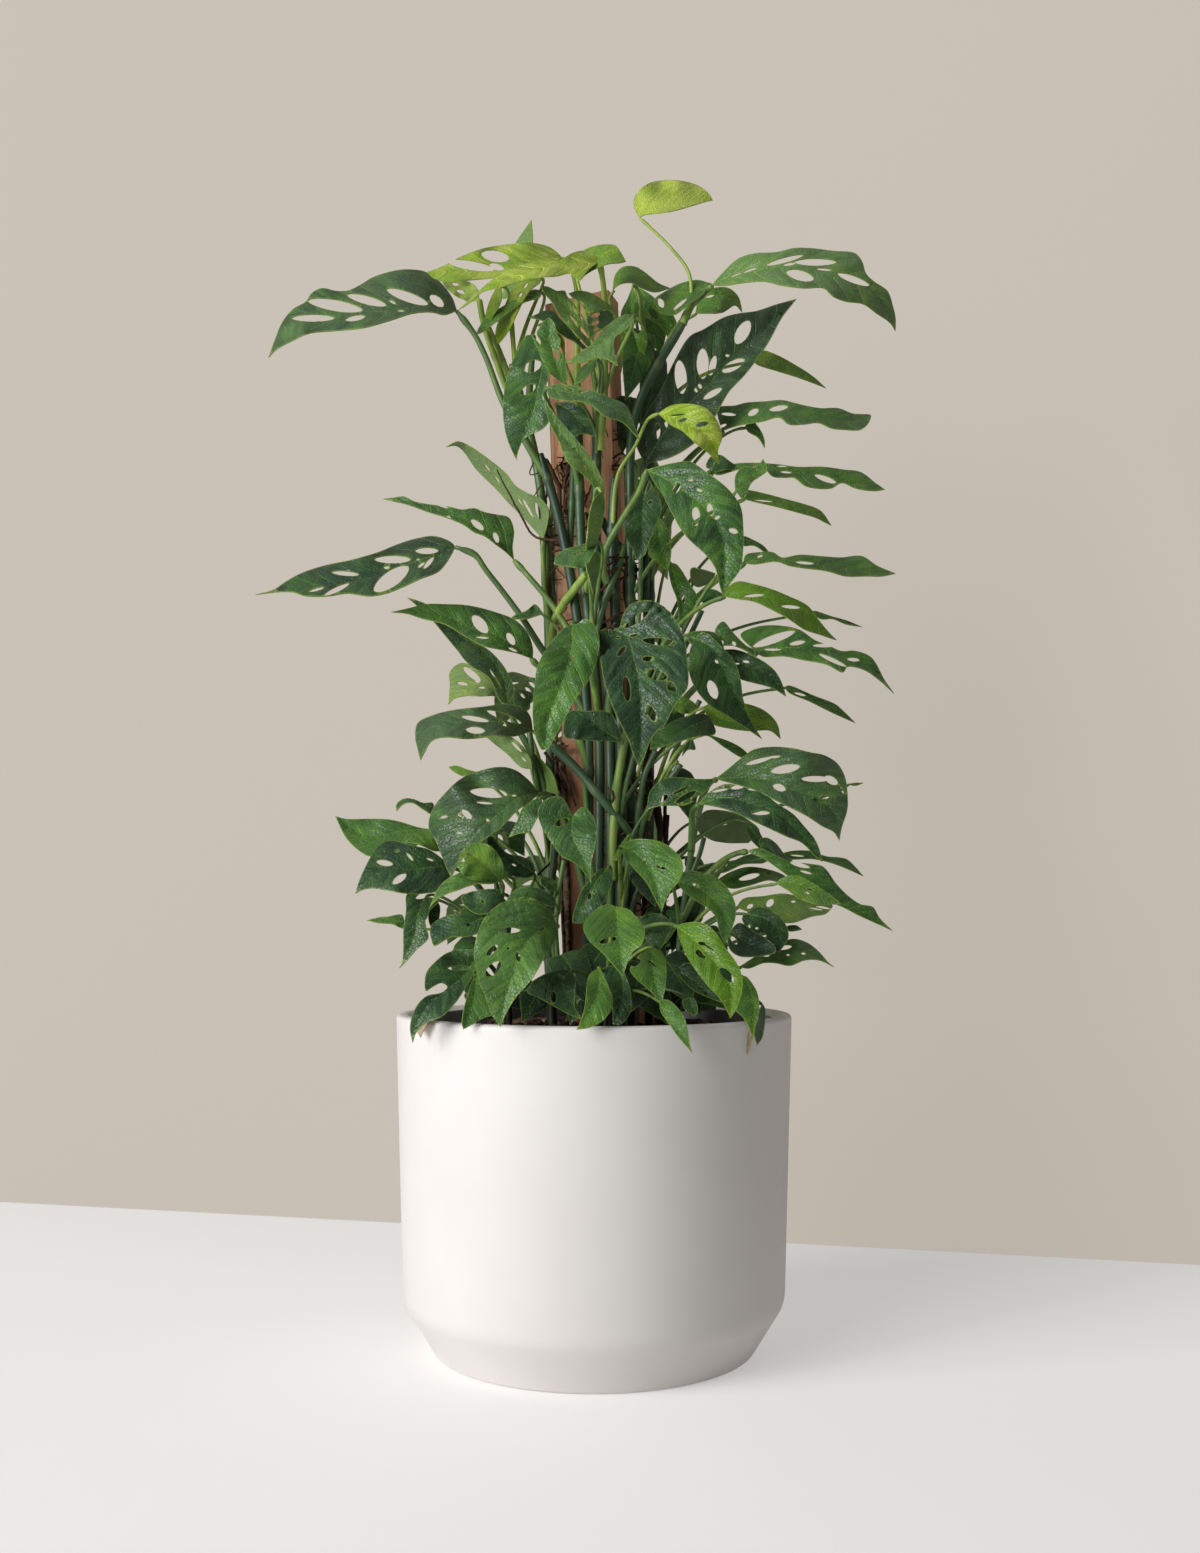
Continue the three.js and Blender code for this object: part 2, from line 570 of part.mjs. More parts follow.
// The flat blade as points [s, q] and triangles. The first two points are the corners of its
// heel, where the petiole comes in; then the midrib, then each half with its holes.
function flatBlade(leaf) {
  const heel = PETIOLE.radius;
  const flat = [new THREE.Vector2(0, -heel), new THREE.Vector2(0, heel)];
  for (let i = 1; i <= BLADE.ribPoints + 1; i += 1) {
    flat.push(new THREE.Vector2(i / (BLADE.ribPoints + 1), 0));
  }
  const ribNames = flat.map((_, i) => i).slice(2);
  const triangles = [[0, 1, 2]];
  for (const side of [1, -1]) {
    const margin = marginOf(leaf, side);
    const holes = holesOf(leaf, side);
    const first = flat.length;
    flat.push(...margin, ...holes.flat());
    const added = flat.map((_, i) => i).slice(first);
    const outline = [(side + 1) / 2, ...added.slice(0, margin.length), ...ribNames.toReversed()];
    const names = [...outline, ...added.slice(margin.length)];
    triangles.push(
      ...THREE.ShapeUtils.triangulateShape(outline.map((name) => flat[name]), holes)
        .map((corners) => corners.map((corner) => names[corner])),
    );
  }
  return { flat, triangles: triangles.map((corners) => anticlockwise(flat, corners)) };
}

// The edges that only one triangle has: the margin, the heel and the rims of the holes.
function openEdges(triangles) {
  const edges = triangles.flatMap(([a, b, c]) => [[a, b], [b, c], [c, a]]);
  const seen = new Set(edges.map(([a, b]) => `${a} ${b}`));
  return edges.filter(([a, b]) => !seen.has(`${b} ${a}`));
}

// The four corners of the petiole's section at t, in the order of the heel's corners.
function petioleRing(curve, leaf, t) {
  const tangent = curve.getTangent(t);
  const across = leaf.across.clone().addScaledVector(tangent, -leaf.across.dot(tangent)).normalize();
  const outward = new THREE.Vector3().crossVectors(tangent, across);
  return [[-1, 1], [1, 1], [1, -1], [-1, -1]].map(([a, b]) => curve.getPoint(t)
    .addScaledVector(across, a * PETIOLE.radius)
    .addScaledVector(outward, b * PETIOLE.radius));
}

// A leaf as one skin: both faces of the blade are split into triangles alike and walled round the
// margin and the holes, and the petiole's sides run on from the heel back to the stem.
function leafSolid(vine, leaf) {
  const { flat, triangles } = flatBlade(leaf);
  const count = flat.length;
  const points = [];
  for (const half of [0.5, -0.5]) {
    flat.forEach(({ x: s, y: q }, i) => {
      const thickness = i < 2 ? PETIOLE.heelThickness : BLADE.thickness;
      points.push(bladePoint(leaf, s, q).addScaledVector(leaf.normal, half * thickness));
    });
  }
  const index = [];
  for (const [a, b, c] of triangles) {
    index.push(a, b, c, a + count, c + count, b + count);
  }
  for (const [a, b] of openEdges(triangles)) {
    if (a > 1 || b > 1) {
      index.push(b, a, a + count, b, a + count, b + count);
    }
  }
  const curve = petioleCurve(nodeOfStem(vine, leaf.joint), leaf);
  let near = [0, 1, 1 + count, count];
  for (let step = PETIOLE.steps - 1; step >= 0; step -= 1) {
    const far = [0, 1, 2, 3].map((k) => points.length + k);
    points.push(...petioleRing(curve, leaf, step / PETIOLE.steps));
    for (let k = 0; k < 4; k += 1) {
      const next = (k + 1) % 4;
      index.push(near[k], near[next], far[next], near[k], far[next], far[k]);
    }
    near = far;
  }
  index.push(near[0], near[1], near[2], near[0], near[2], near[3]);
  return solidOf(new THREE.BufferGeometry().setFromPoints(points).setIndex(index));
}

// ---- The plant -----------------------------------------------------------------------------

// The meshes of one vine: the stem with its mature leaves, then each new leaf by itself, with
// the foot of its petiole cut to clasp the stem.
function vineMeshes(vine) {
  const leaves = vine.leaves.map(leafFrom);
  const mature = leaves.filter((leaf) => leaf.tone !== 'lime').map((leaf) => leafSolid(vine, leaf));
  const fresh = leaves.filter((leaf) => leaf.tone === 'lime').map((leaf) => leafSolid(vine, leaf));
  const body = mainBody(joined([stemSolid(vine), ...rootSolids(vine), ...mature]));
  const clearance = stemSolid(vine, GAP);
  const meshes = [meshOf(vine.name, body, MATURE_LEAF)];
  fresh.forEach((solid, i) => {
    meshes.push(meshOf(`${vine.name}_new_leaf_${i + 1}`, mainBody(solid.subtract(clearance)), NEW_LEAF));
  });
  meshes.forEach((mesh) => mesh.rotateZ((vine.turn ?? 0) * DEGREES));
  return meshes;
}

const turnedCutter = (vine) => stemSolid(vine, GAP).rotate([0, 0, vine.turn ?? 0]);

const plant = new THREE.Group();
plant.add(meshOf('glazed_pot', glazedPot(), GLAZE));
plant.add(meshOf('nursery_pot', nurseryPot(), BLACK_PLASTIC));
plant.add(meshOf('soil', soilSolid([stakeSolid(GAP), ...VINES.map(turnedCutter)]), COMPOST));
plant.add(meshOf('stake', stakeSolid(), SAWN_WOOD));
VINES.forEach((vine) => plant.add(...vineMeshes(vine)));

export default plant;
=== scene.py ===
import math

import bpy
import numpy as np
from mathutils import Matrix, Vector
from mathutils.geometry import delaunay_2d_cdt


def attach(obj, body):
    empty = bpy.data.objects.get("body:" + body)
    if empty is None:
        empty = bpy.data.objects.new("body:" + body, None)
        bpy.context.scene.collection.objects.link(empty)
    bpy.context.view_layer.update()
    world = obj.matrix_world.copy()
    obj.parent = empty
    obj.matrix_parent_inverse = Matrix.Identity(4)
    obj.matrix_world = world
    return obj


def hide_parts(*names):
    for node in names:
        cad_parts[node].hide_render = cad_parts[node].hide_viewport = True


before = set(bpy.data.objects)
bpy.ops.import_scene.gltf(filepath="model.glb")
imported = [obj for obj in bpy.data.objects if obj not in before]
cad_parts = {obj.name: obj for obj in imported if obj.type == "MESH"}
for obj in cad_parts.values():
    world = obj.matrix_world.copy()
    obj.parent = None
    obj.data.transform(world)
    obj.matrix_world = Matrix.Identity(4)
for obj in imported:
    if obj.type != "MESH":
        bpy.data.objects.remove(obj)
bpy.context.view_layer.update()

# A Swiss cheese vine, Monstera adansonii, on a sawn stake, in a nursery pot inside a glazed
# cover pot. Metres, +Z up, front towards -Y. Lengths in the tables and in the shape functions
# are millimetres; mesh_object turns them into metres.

MM = 0.001
EYE = np.array([0.0, -1125.0, 322.0])

# ---- Sizes shared with the solids -----------------------------------------------------------

POT = {"rim": 147, "shoulder": 142, "foot": 119, "height": 249, "shoulder_height": 38, "wall": 8, "floor": 12}
NURSERY = {"rim": 133, "foot": 103, "top": 246, "lip": 14, "wall": 2.4}
SOIL = {"edge": 234, "crown": 6, "radius": 124.5, "rings": 46, "sides": 150}
STAKE = {"width": 50, "depth": 26, "top": 780.5, "slope": 0.1, "foot": 60, "turn": -18, "upright": 540,
         "lean": -0.0385}
# Depth of the front face of the stake: the first number, plus the second times x.
STAKE_FACE = (-13.7, -0.325)
STEM = {"radius": 3.6, "sides": 12, "foot_depth": 36}
PETIOLE = {"radius": 1.45, "sides": 10, "rise": 0.3, "approach": 0.28}
BLADE = {"thickness": 0.6, "fold": 12, "droop": 0.22, "vein_angle": 55, "first_vein": 0.16, "quilt": 0.06,
         "quilt_fade": 4}
STEEPEST_TILT = 52
FILL_ARCH = 0.1
LOW_GIRTH = 0.62
AERIAL_ROOT = 0.9
FINE_ROOT = 0.85

# ---- The vines ------------------------------------------------------------------------------
# stem: points [x, y, z] from the soil up. turn: degrees about Z. A leaf is a row: height of its
# joint on the stem, base x, z, y, tip x, z, y, full width, tilt, arch, holes a side, tone. x and
# z lie on the upright plane through the pot's axis and slide along the sight line to depth y.

VINES = [
    {
        "name": "vine_left_front",
        "stem": [[-5, -34], [-5, -33, 330], [-5, -32, 470], [-20, -33, 590], [-40, -38, 668]],
        "leaves": [
            [650, -103, 773, -44, -244, 741, -60, 74, 58, 0.14, 3, "deep"],
            [515, -61, 590, -22, -158, 634, -12, 48, 60, 0.08, 2, "deep"],
            [470, -105, 597, -42, -253, 563, -60, 62, 50, 0.1, 3, "deep"],
            [430, -47, 514, -46, -152, 549, -44, 50, 50, 0.1, 2, "green"],
            [375, -46, 461, -52, -130, 438, -62, 52, 55, 0.25, 3, "deep"],
            [330, -42, 412, -50, -106, 350, -68, 56, 30, 0.17, 3, "deep"],
        ],
    },
    {
        "name": "vine_left",
        "stem": [[-30, 4], [-33, 2, 350], [-33, 1, 500], [-40, -6, 640], [-62, -14, 735]],
        "leaves": [
            [728, -42, 800, -14, -71, 752, -22, 32, 50, 0.08, 1, "lime"],
            [705, -88, 783, 32, -120, 795, 40, 30, 120, 0.05, 1, "lime"],
            [725, -73, 760, -6, -47, 843, 0, 34, 115, 0.05, 1, "green"],
            [520, -37, 603, -18, -111, 674, 16, 42, 115, 0.06, 2, "pale"],
            [400, -65, 481, -12, -139, 560, -4, 40, 72, -0.04, 1, "deep"],
            [410, -74, 487, 20, -109, 482, 38, 46, 120, 0.1, 1, "pale"],
            [690, -40, 745, -42, -58, 663, -58, 46, -15, 0.1, 1, "deep"],
            [350, -28, 418, -18, -79, 456, 10, 30, 110, 0.05, 1, "pale"],
        ],
    },
    {
        "name": "vine_left_back",
        "stem": [[-30, 24], [-34, 22, 330], [-30, 26, 480], [-34, 24, 620]],
        "leaves": [
            [300, -115, 384, 8, -194, 396, 8, 55, 45, 0.1, 0, "green"],
            [560, -30, 612, 40, -14, 552, 84, 36, 150, 0.12, 2, "deep"],
            [600, -22, 700, 45, -24, 655, 100, 36, 150, 0.15, 2, "green"],
            [420, -48, 500, 55, -72, 462, 105, 42, 150, 0.12, 2, "deep"],
            [330, -64, 388, 50, -94, 348, 98, 44, 150, 0.15, 2, "green"],
            [280, -80, 330, 50, -110, 300, 85, 40, 150, 0.15, 1, "deep"],
        ],
    },
    {
        "name": "vine_low_left",
        "stem": [[-62, -32], [-66, -36, 290], [-74, -44, 350]],
        "leaves": [
            [300, -104, 357, -46, -179, 338, -66, 52, 30, 0.08, 2, "deep"],
            [310, -115, 367, -34, -143, 376, -42, 26, 55, 0.08, 0, "green"],
            [320, -69, 351, -92, -102, 370, -106, 36, 20, 0.1, 1, "green"],
            [300, -66, 342, -80, -125, 324, -100, 28, 60, 0.15, 1, "green"],
            [280, -123, 338, -32, -146, 282, -46, 30, 10, 0.1, 1, "deep"],
            [270, -70, 322, -62, -121, 303, -78, 42, 30, 0.08, 1, "deep"],
            [262, -28, 314, -100, -68, 238, -152, 60, 15, 0.18, 3, "green"],
            [255, -76, 288, -84, -137, 226, -118, 46, 20, 0.15, 2, "deep"],
            [250, -82, 280, -100, -98, 235, -130, 30, 10, 0.1, 0, "green"],
            [300, -44, 352, -44, -69, 370, -56, 30, 30, 0.08, 0, "deep"],
        ],
    },
    {
        "name": "vine_centre_left",
        "stem": [[4, -36], [3.5, -35, 330], [3.5, -33, 470], [-9, -33, 590], [-12, -34, 700]],
        "leaves": [
            [690, -24, 815, -30, -124, 804, -42, 54, 60, 0.1, 3, "lime"],
            [640, -34, 717, -78, 32, 677, -97, 36, 50, 0.12, 1, "deep"],
            [645, -22, 708, -58, 1, 681, -68, 36, 10, 0.08, 0, "deep"],
            [560, -2, 605, -80, -37, 708, -88, 26, 60, 0.1, 0, "pale"],
            [520, -3, 588, -88, -31, 586, -98, 34, 40, 0.1, 0, "green"],
            [470, -9, 536, -112, -39, 442, -136, 50, 0, 0.1, 1, "green"],
            [330, -17, 397, -116, -2, 343, -136, 48, -10, 0.12, 1, "deep"],
        ],
    },
    {
        "name": "vine_centre",
        "stem": [[12, -40], [12, -39, 330], [11.5, -37, 470], [2, -36, 590], [3, -36, 730]],
        "leaves": [
            [726, 3, 810, -72, -101, 776, -86, 36, 70, 0.08, 1, "lime"],
            [680, -2, 749, -74, -41, 795, -82, 30, 60, 0.05, 2, "deep"],
            [700, 17, 772, -66, -19, 788, -74, 28, 60, 0.15, 0, "deep"],
            [690, -5, 745, -60, -46, 771, -66, 24, 50, 0.05, 0, "deep"],
            [680, -31, 766, -72, -21, 725, -82, 30, -20, 0.1, 1, "green"],
            [690, 29, 771, -80, -21, 737, -96, 38, 20, 0.08, 0, "deep"],
            [470, 22, 536, -112, 34, 433, -140, 68, 5, 0.12, 3, "deep"],
            [400, 21, 451, -62, -28, 474, -76, 38, 10, 0.06, 1, "deep"],
            [310, 11, 359, -86, -15, 318, -100, 34, 0, 0.06, 1, "deep"],
        ],
    },
    {
        "name": "vine_centre_right",
        "stem": [[20, -40], [20, -40, 330], [19.5, -38, 470], [14, -37, 590], [15, -37, 650]],
        "leaves": [
            [610, 46, 698, -95, 93, 660, -115, 40, 35, 0.2, 1, "lime"],
            [560, 40, 655, -90, 97, 561, -120, 64, 20, 0.12, 3, "deep"],
            [320, 25, 372, -106, 50, 325, -130, 42, 15, 0.1, 1, "green"],
            [350, 40, 402, -60, 92, 423, -72, 36, 40, 0.08, 1, "deep"],
            [400, 79, 472, -72, 42, 447, -92, 40, 30, 0.1, 0, "deep"],
        ],
    },
    {
        "name": "vine_right_front",
        "stem": [[29, -32], [28, -32, 330], [28, -31, 500], [27, -32, 620], [32, -35, 700], [68, -37, 768]],
        "leaves": [
            [762, 35, 845, -32, 88, 859, -38, 32, 50, 0.12, 0, "lime"],
            [765, 84, 793, -38, 227, 760, -45, 60, 66, 0.2, 3, "green"],
            [575, 46, 652, -46, 60, 580, -52, 34, 0, 0.06, 1, "deep"],
            [560, 110, 629, -46, 127, 663, -50, 30, 30, 0.1, 0, "green"],
            [480, 91, 565, -42, 182, 528, -52, 44, 55, 0.12, 1, "lime"],
            [440, 82, 526, -58, 125, 454, -76, 44, 25, 0.08, 2, "deep"],
            [450, 108, 521, -46, 144, 484, -60, 34, 30, 0.08, 1, "deep"],
        ],
    },
    {
        "name": "vine_right",
        "stem": [[42, -12], [41, -14, 330], [42, -13, 500], [42, -12, 640], [46, -8, 720]],
        "leaves": [
            [600, 41, 668, -20, 151, 784, -12, 62, 12, 0.05, 3, "deep"],
            [705, 16, 790, -26, 57, 791, -22, 30, 60, 0.3, 0, "green"],
            [690, 32, 796, -8, 34, 728, -14, 26, -20, 0.06, 2, "green"],
            [700, 42, 794, 10, 61, 749, 6, 40, 10, 0.06, 2, "green"],
            [610, 95, 683, -10, 208, 694, -6, 44, 62, 0.15, 2, "green"],
            [580, 88, 653, -16, 218, 641, -20, 46, 72, 0.1, 2, "green"],
            [500, 106, 586, -20, 225, 578, -26, 44, 64, 0.1, 2, "green"],
            [510, 59, 587, -12, 66, 537, -16, 26, 20, 0.06, 1, "green"],
            [440, 122, 515, -30, 224, 489, -36, 58, 48, 0.12, 3, "green"],
            [400, 87, 468, -38, 140, 454, -42, 38, 40, 0.15, 0, "green"],
        ],
    },
    {
        "name": "vine_right_back",
        "stem": [[38, 14], [39, 13, 330], [40, 14, 500], [41, 15, 640], [44, 16, 725]],
        "leaves": [
            [705, 76, 773, 16, 111, 774, 26, 40, 40, 0.25, 1, "green"],
            [690, 98, 749, 10, 175, 717, 20, 28, 65, 0.1, 0, "green"],
            [570, 99, 644, 14, 178, 614, 20, 34, 74, 0.08, 1, "green"],
            [480, 106, 558, 20, 200, 538, 25, 24, 72, 0.05, 0, "green"],
            [430, 108, 498, 10, 196, 466, 15, 30, 68, 0.08, 1, "green"],
            [340, 76, 392, 14, 117, 376, 24, 36, 110, 0.08, 1, "pale"],
            [320, 112, 365, 12, 202, 352, 18, 34, 70, 0.1, 1, "green"],
            [300, 91, 349, 8, 149, 349, 14, 40, 62, 0.1, 1, "green"],
        ],
    },
    {
        "name": "vine_low_right",
        "stem": [[62, -34], [64, -38, 290], [70, -46, 350], [78, -54, 400]],
        "leaves": [
            [395, 93, 424, -64, 184, 378, -88, 64, 35, 0.25, 3, "green"],
            [370, 80, 405, -84, 171, 361, -102, 50, 42, 0.15, 2, "deep"],
            [320, 112, 368, -46, 223, 310, -56, 50, 42, 0.1, 2, "green"],
            [300, 138, 347, -76, 186, 330, -86, 34, 45, 0.08, 0, "green"],
            [290, 107, 327, -28, 179, 328, -22, 40, 118, 0.06, 2, "pale"],
            [290, 114, 332, -62, 145, 301, -76, 42, 30, 0.08, 1, "deep"],
            [275, 100, 307, -78, 136, 291, -92, 38, 30, 0.08, 1, "deep"],
            [265, 113, 286, -50, 180, 282, -62, 36, 55, 0.1, 2, "green"],
            [300, 62, 345, -90, 96, 296, -106, 46, 20, 0.12, 1, "green"],
            [255, 106, 284, -92, 120, 230, -124, 38, 20, 0.12, 0, "green"],
            [255, 113, 262, -98, 122, 223, -128, 34, 40, 0.1, 0, "deep"],
            [255, 64, 283, -86, 102, 258, -106, 26, 30, 0.08, 0, "deep"],
        ],
    },
    {
        "name": "vine_low_front",
        "stem": [[8, -78], [10, -84, 270], [14, -92, 300]],
        "leaves": [
            [290, 62, 314, -120, 101, 244, -152, 44, 12, 0.12, 1, "lime"],
            [270, 24, 321, -122, 21, 276, -158, 56, 10, 0.1, 1, "green"],
            [262, 42, 299, -108, 50, 253, -132, 38, 0, 0.1, 1, "green"],
            [250, 49, 258, -140, 73, 218, -160, 22, 30, 0.1, 0, "green"],
            [262, -22, 280, -104, -10, 244, -130, 40, 0, 0.1, 1, "deep"],
            [258, 5, 286, -118, -13, 235, -158, 36, 0, 0.1, 0, "green"],
        ],
    },
    {
        "name": "vine_back",
        "turn": 180,
        "stem": [[4, -26], [2, -27, 400], [4, -26, 600], [2, -26, 730]],
        "leaves": [
            [700, 8, 800, -28, -20, 752, -44, 30, 60, 0.15, 0, "lime"],
            [640, -30, 720, -90, -70, 640, -130, 52, 25, 0.14, 2, "deep"],
            [600, 6, 670, -90, 20, 590, -130, 50, 25, 0.14, 3, "deep"],
            [500, -35, 580, -100, -75, 500, -135, 56, 25, 0.14, 3, "green"],
            [440, 8, 520, -100, 22, 430, -140, 50, 20, 0.14, 3, "deep"],
            [360, -25, 430, -100, -60, 350, -140, 54, 20, 0.14, 2, "deep"],
            [300, 35, 370, -95, 70, 300, -140, 52, 20, 0.14, 2, "green"],
            [270, -40, 320, -90, -60, 262, -130, 46, 20, 0.14, 1, "green"],
        ],
    },
]

# Aerial roots that grip the stake: the vine, the height of the node each grows from, then the
# points [x, z, y] it passes, in the same elevation.
AERIAL_ROOTS = [
    ["vine_centre_left", 660, [-22, 650, -18], [-24, 612, -11]],
    ["vine_right_front", 588, [32, 578, -22], [31, 570, -8]],
    ["vine_centre_right", 472, [24, 462, -28], [31, 452, -14]],
    ["vine_centre", 380, [12, 372, -28], [12.5, 360, -18]],
    ["vine_left", 462, [-36, 452, 6], [-32, 442, 13]],
    ["vine_left_front", 604, [-44, 606, -31], [-56, 624, -34], [-66, 642, -36], [-73, 656, -37]],
]

# Small leaves deep among the stems and round the foot, in the rows' form less arch and holes.

FILL_LEAVES = {
    "vine_right": [
        [678, 37, 759, -10, 24, 708, -14, 24, 10, "green"],
        [678, 44, 746, -8, 35, 687, -10, 22, 15, "deep"],
        [656, 27, 710, -4, 21, 667, -8, 22, 0, "deep"],
        [303, 54, 329, -30, 42, 290, -38, 26, 10, "deep"],
        [468, 50, 490, -12, 64, 454, -18, 26, 20, "deep"],
    ],
    "vine_right_back": [
        [678, 52, 729, 10, 39, 676, 6, 24, 20, "green"],
        [678, 34, 783, 12, 50, 741, 16, 24, 30, "green"],
        [288, 80, 292, -20, 98, 260, -34, 28, 10, "deep"],
        [258, 69, 273, 20, 92, 250, 30, 28, 20, "deep"],
        [258, 46, 273, 30, 72, 250, 44, 28, 20, "deep"],
        [258, 88, 269, 10, 111, 250, 20, 26, 40, "deep"],
        [303, 74, 333, -8, 58, 294, -16, 26, 15, "deep"],
        [408, 58, 430, -10, 72, 393, -16, 26, 25, "deep"],
    ],
    "vine_low_left": [
        [273, -54, 290, -66, -70, 249, -92, 28, 15, "deep"],
        [262, -40, 269, -36, -54, 242, -56, 24, 10, "deep"],
        [296, -69, 334, -56, -93, 309, -66, 28, 30, "green"],
        [258, -3, 269, -70, -18, 240, -92, 24, 10, "deep"],
        [258, -93, 277, -40, -70, 249, -54, 24, 20, "deep"],
    ],
    "vine_centre_left": [
        [269, -24, 292, -72, -3, 254, -98, 28, 15, "deep"],
    ],
    "vine_centre": [
        [269, 8, 297, -66, -13, 256, -92, 28, 10, "deep"],
        [262, 20, 270, -50, 6, 243, -78, 24, 10, "green"],
    ],
    "vine_centre_right": [
        [269, 34, 286, -76, 24, 246, -100, 28, 5, "deep"],
    ],
    "vine_low_right": [
        [269, 52, 290, -76, 74, 255, -98, 30, 15, "deep"],
        [266, 81, 269, -60, 108, 249, -84, 28, 25, "green"],
        [296, 82, 294, -80, 103, 266, -92, 26, 10, "deep"],
        [258, 62, 273, -50, 80, 248, -62, 24, 10, "deep"],
        [258, 46, 269, -44, 62, 246, -54, 24, 10, "deep"],
        [296, 80, 310, -36, 98, 276, -46, 28, 20, "deep"],
        [258, 42, 266, -60, 56, 240, -80, 24, 10, "deep"],
    ],
    "vine_left_back": [
        [288, -84, 303, -30, -104, 267, -52, 28, 20, "deep"],
        [258, -70, 277, 30, -48, 250, 44, 28, 20, "deep"],
        [258, -93, 269, 20, -70, 249, 30, 26, 20, "deep"],
    ],
    "vine_right_front": [
        [333, 34, 364, -46, 46, 328, -52, 24, 15, "deep"],
    ],
    "vine_left": [
        [296, -34, 333, -30, -48, 297, -38, 26, 15, "deep"],
    ],
}

# Stalks and side stems that stand clear of the rows above: the vine, tone, radius, then the points
# [x, z, y] each passes.

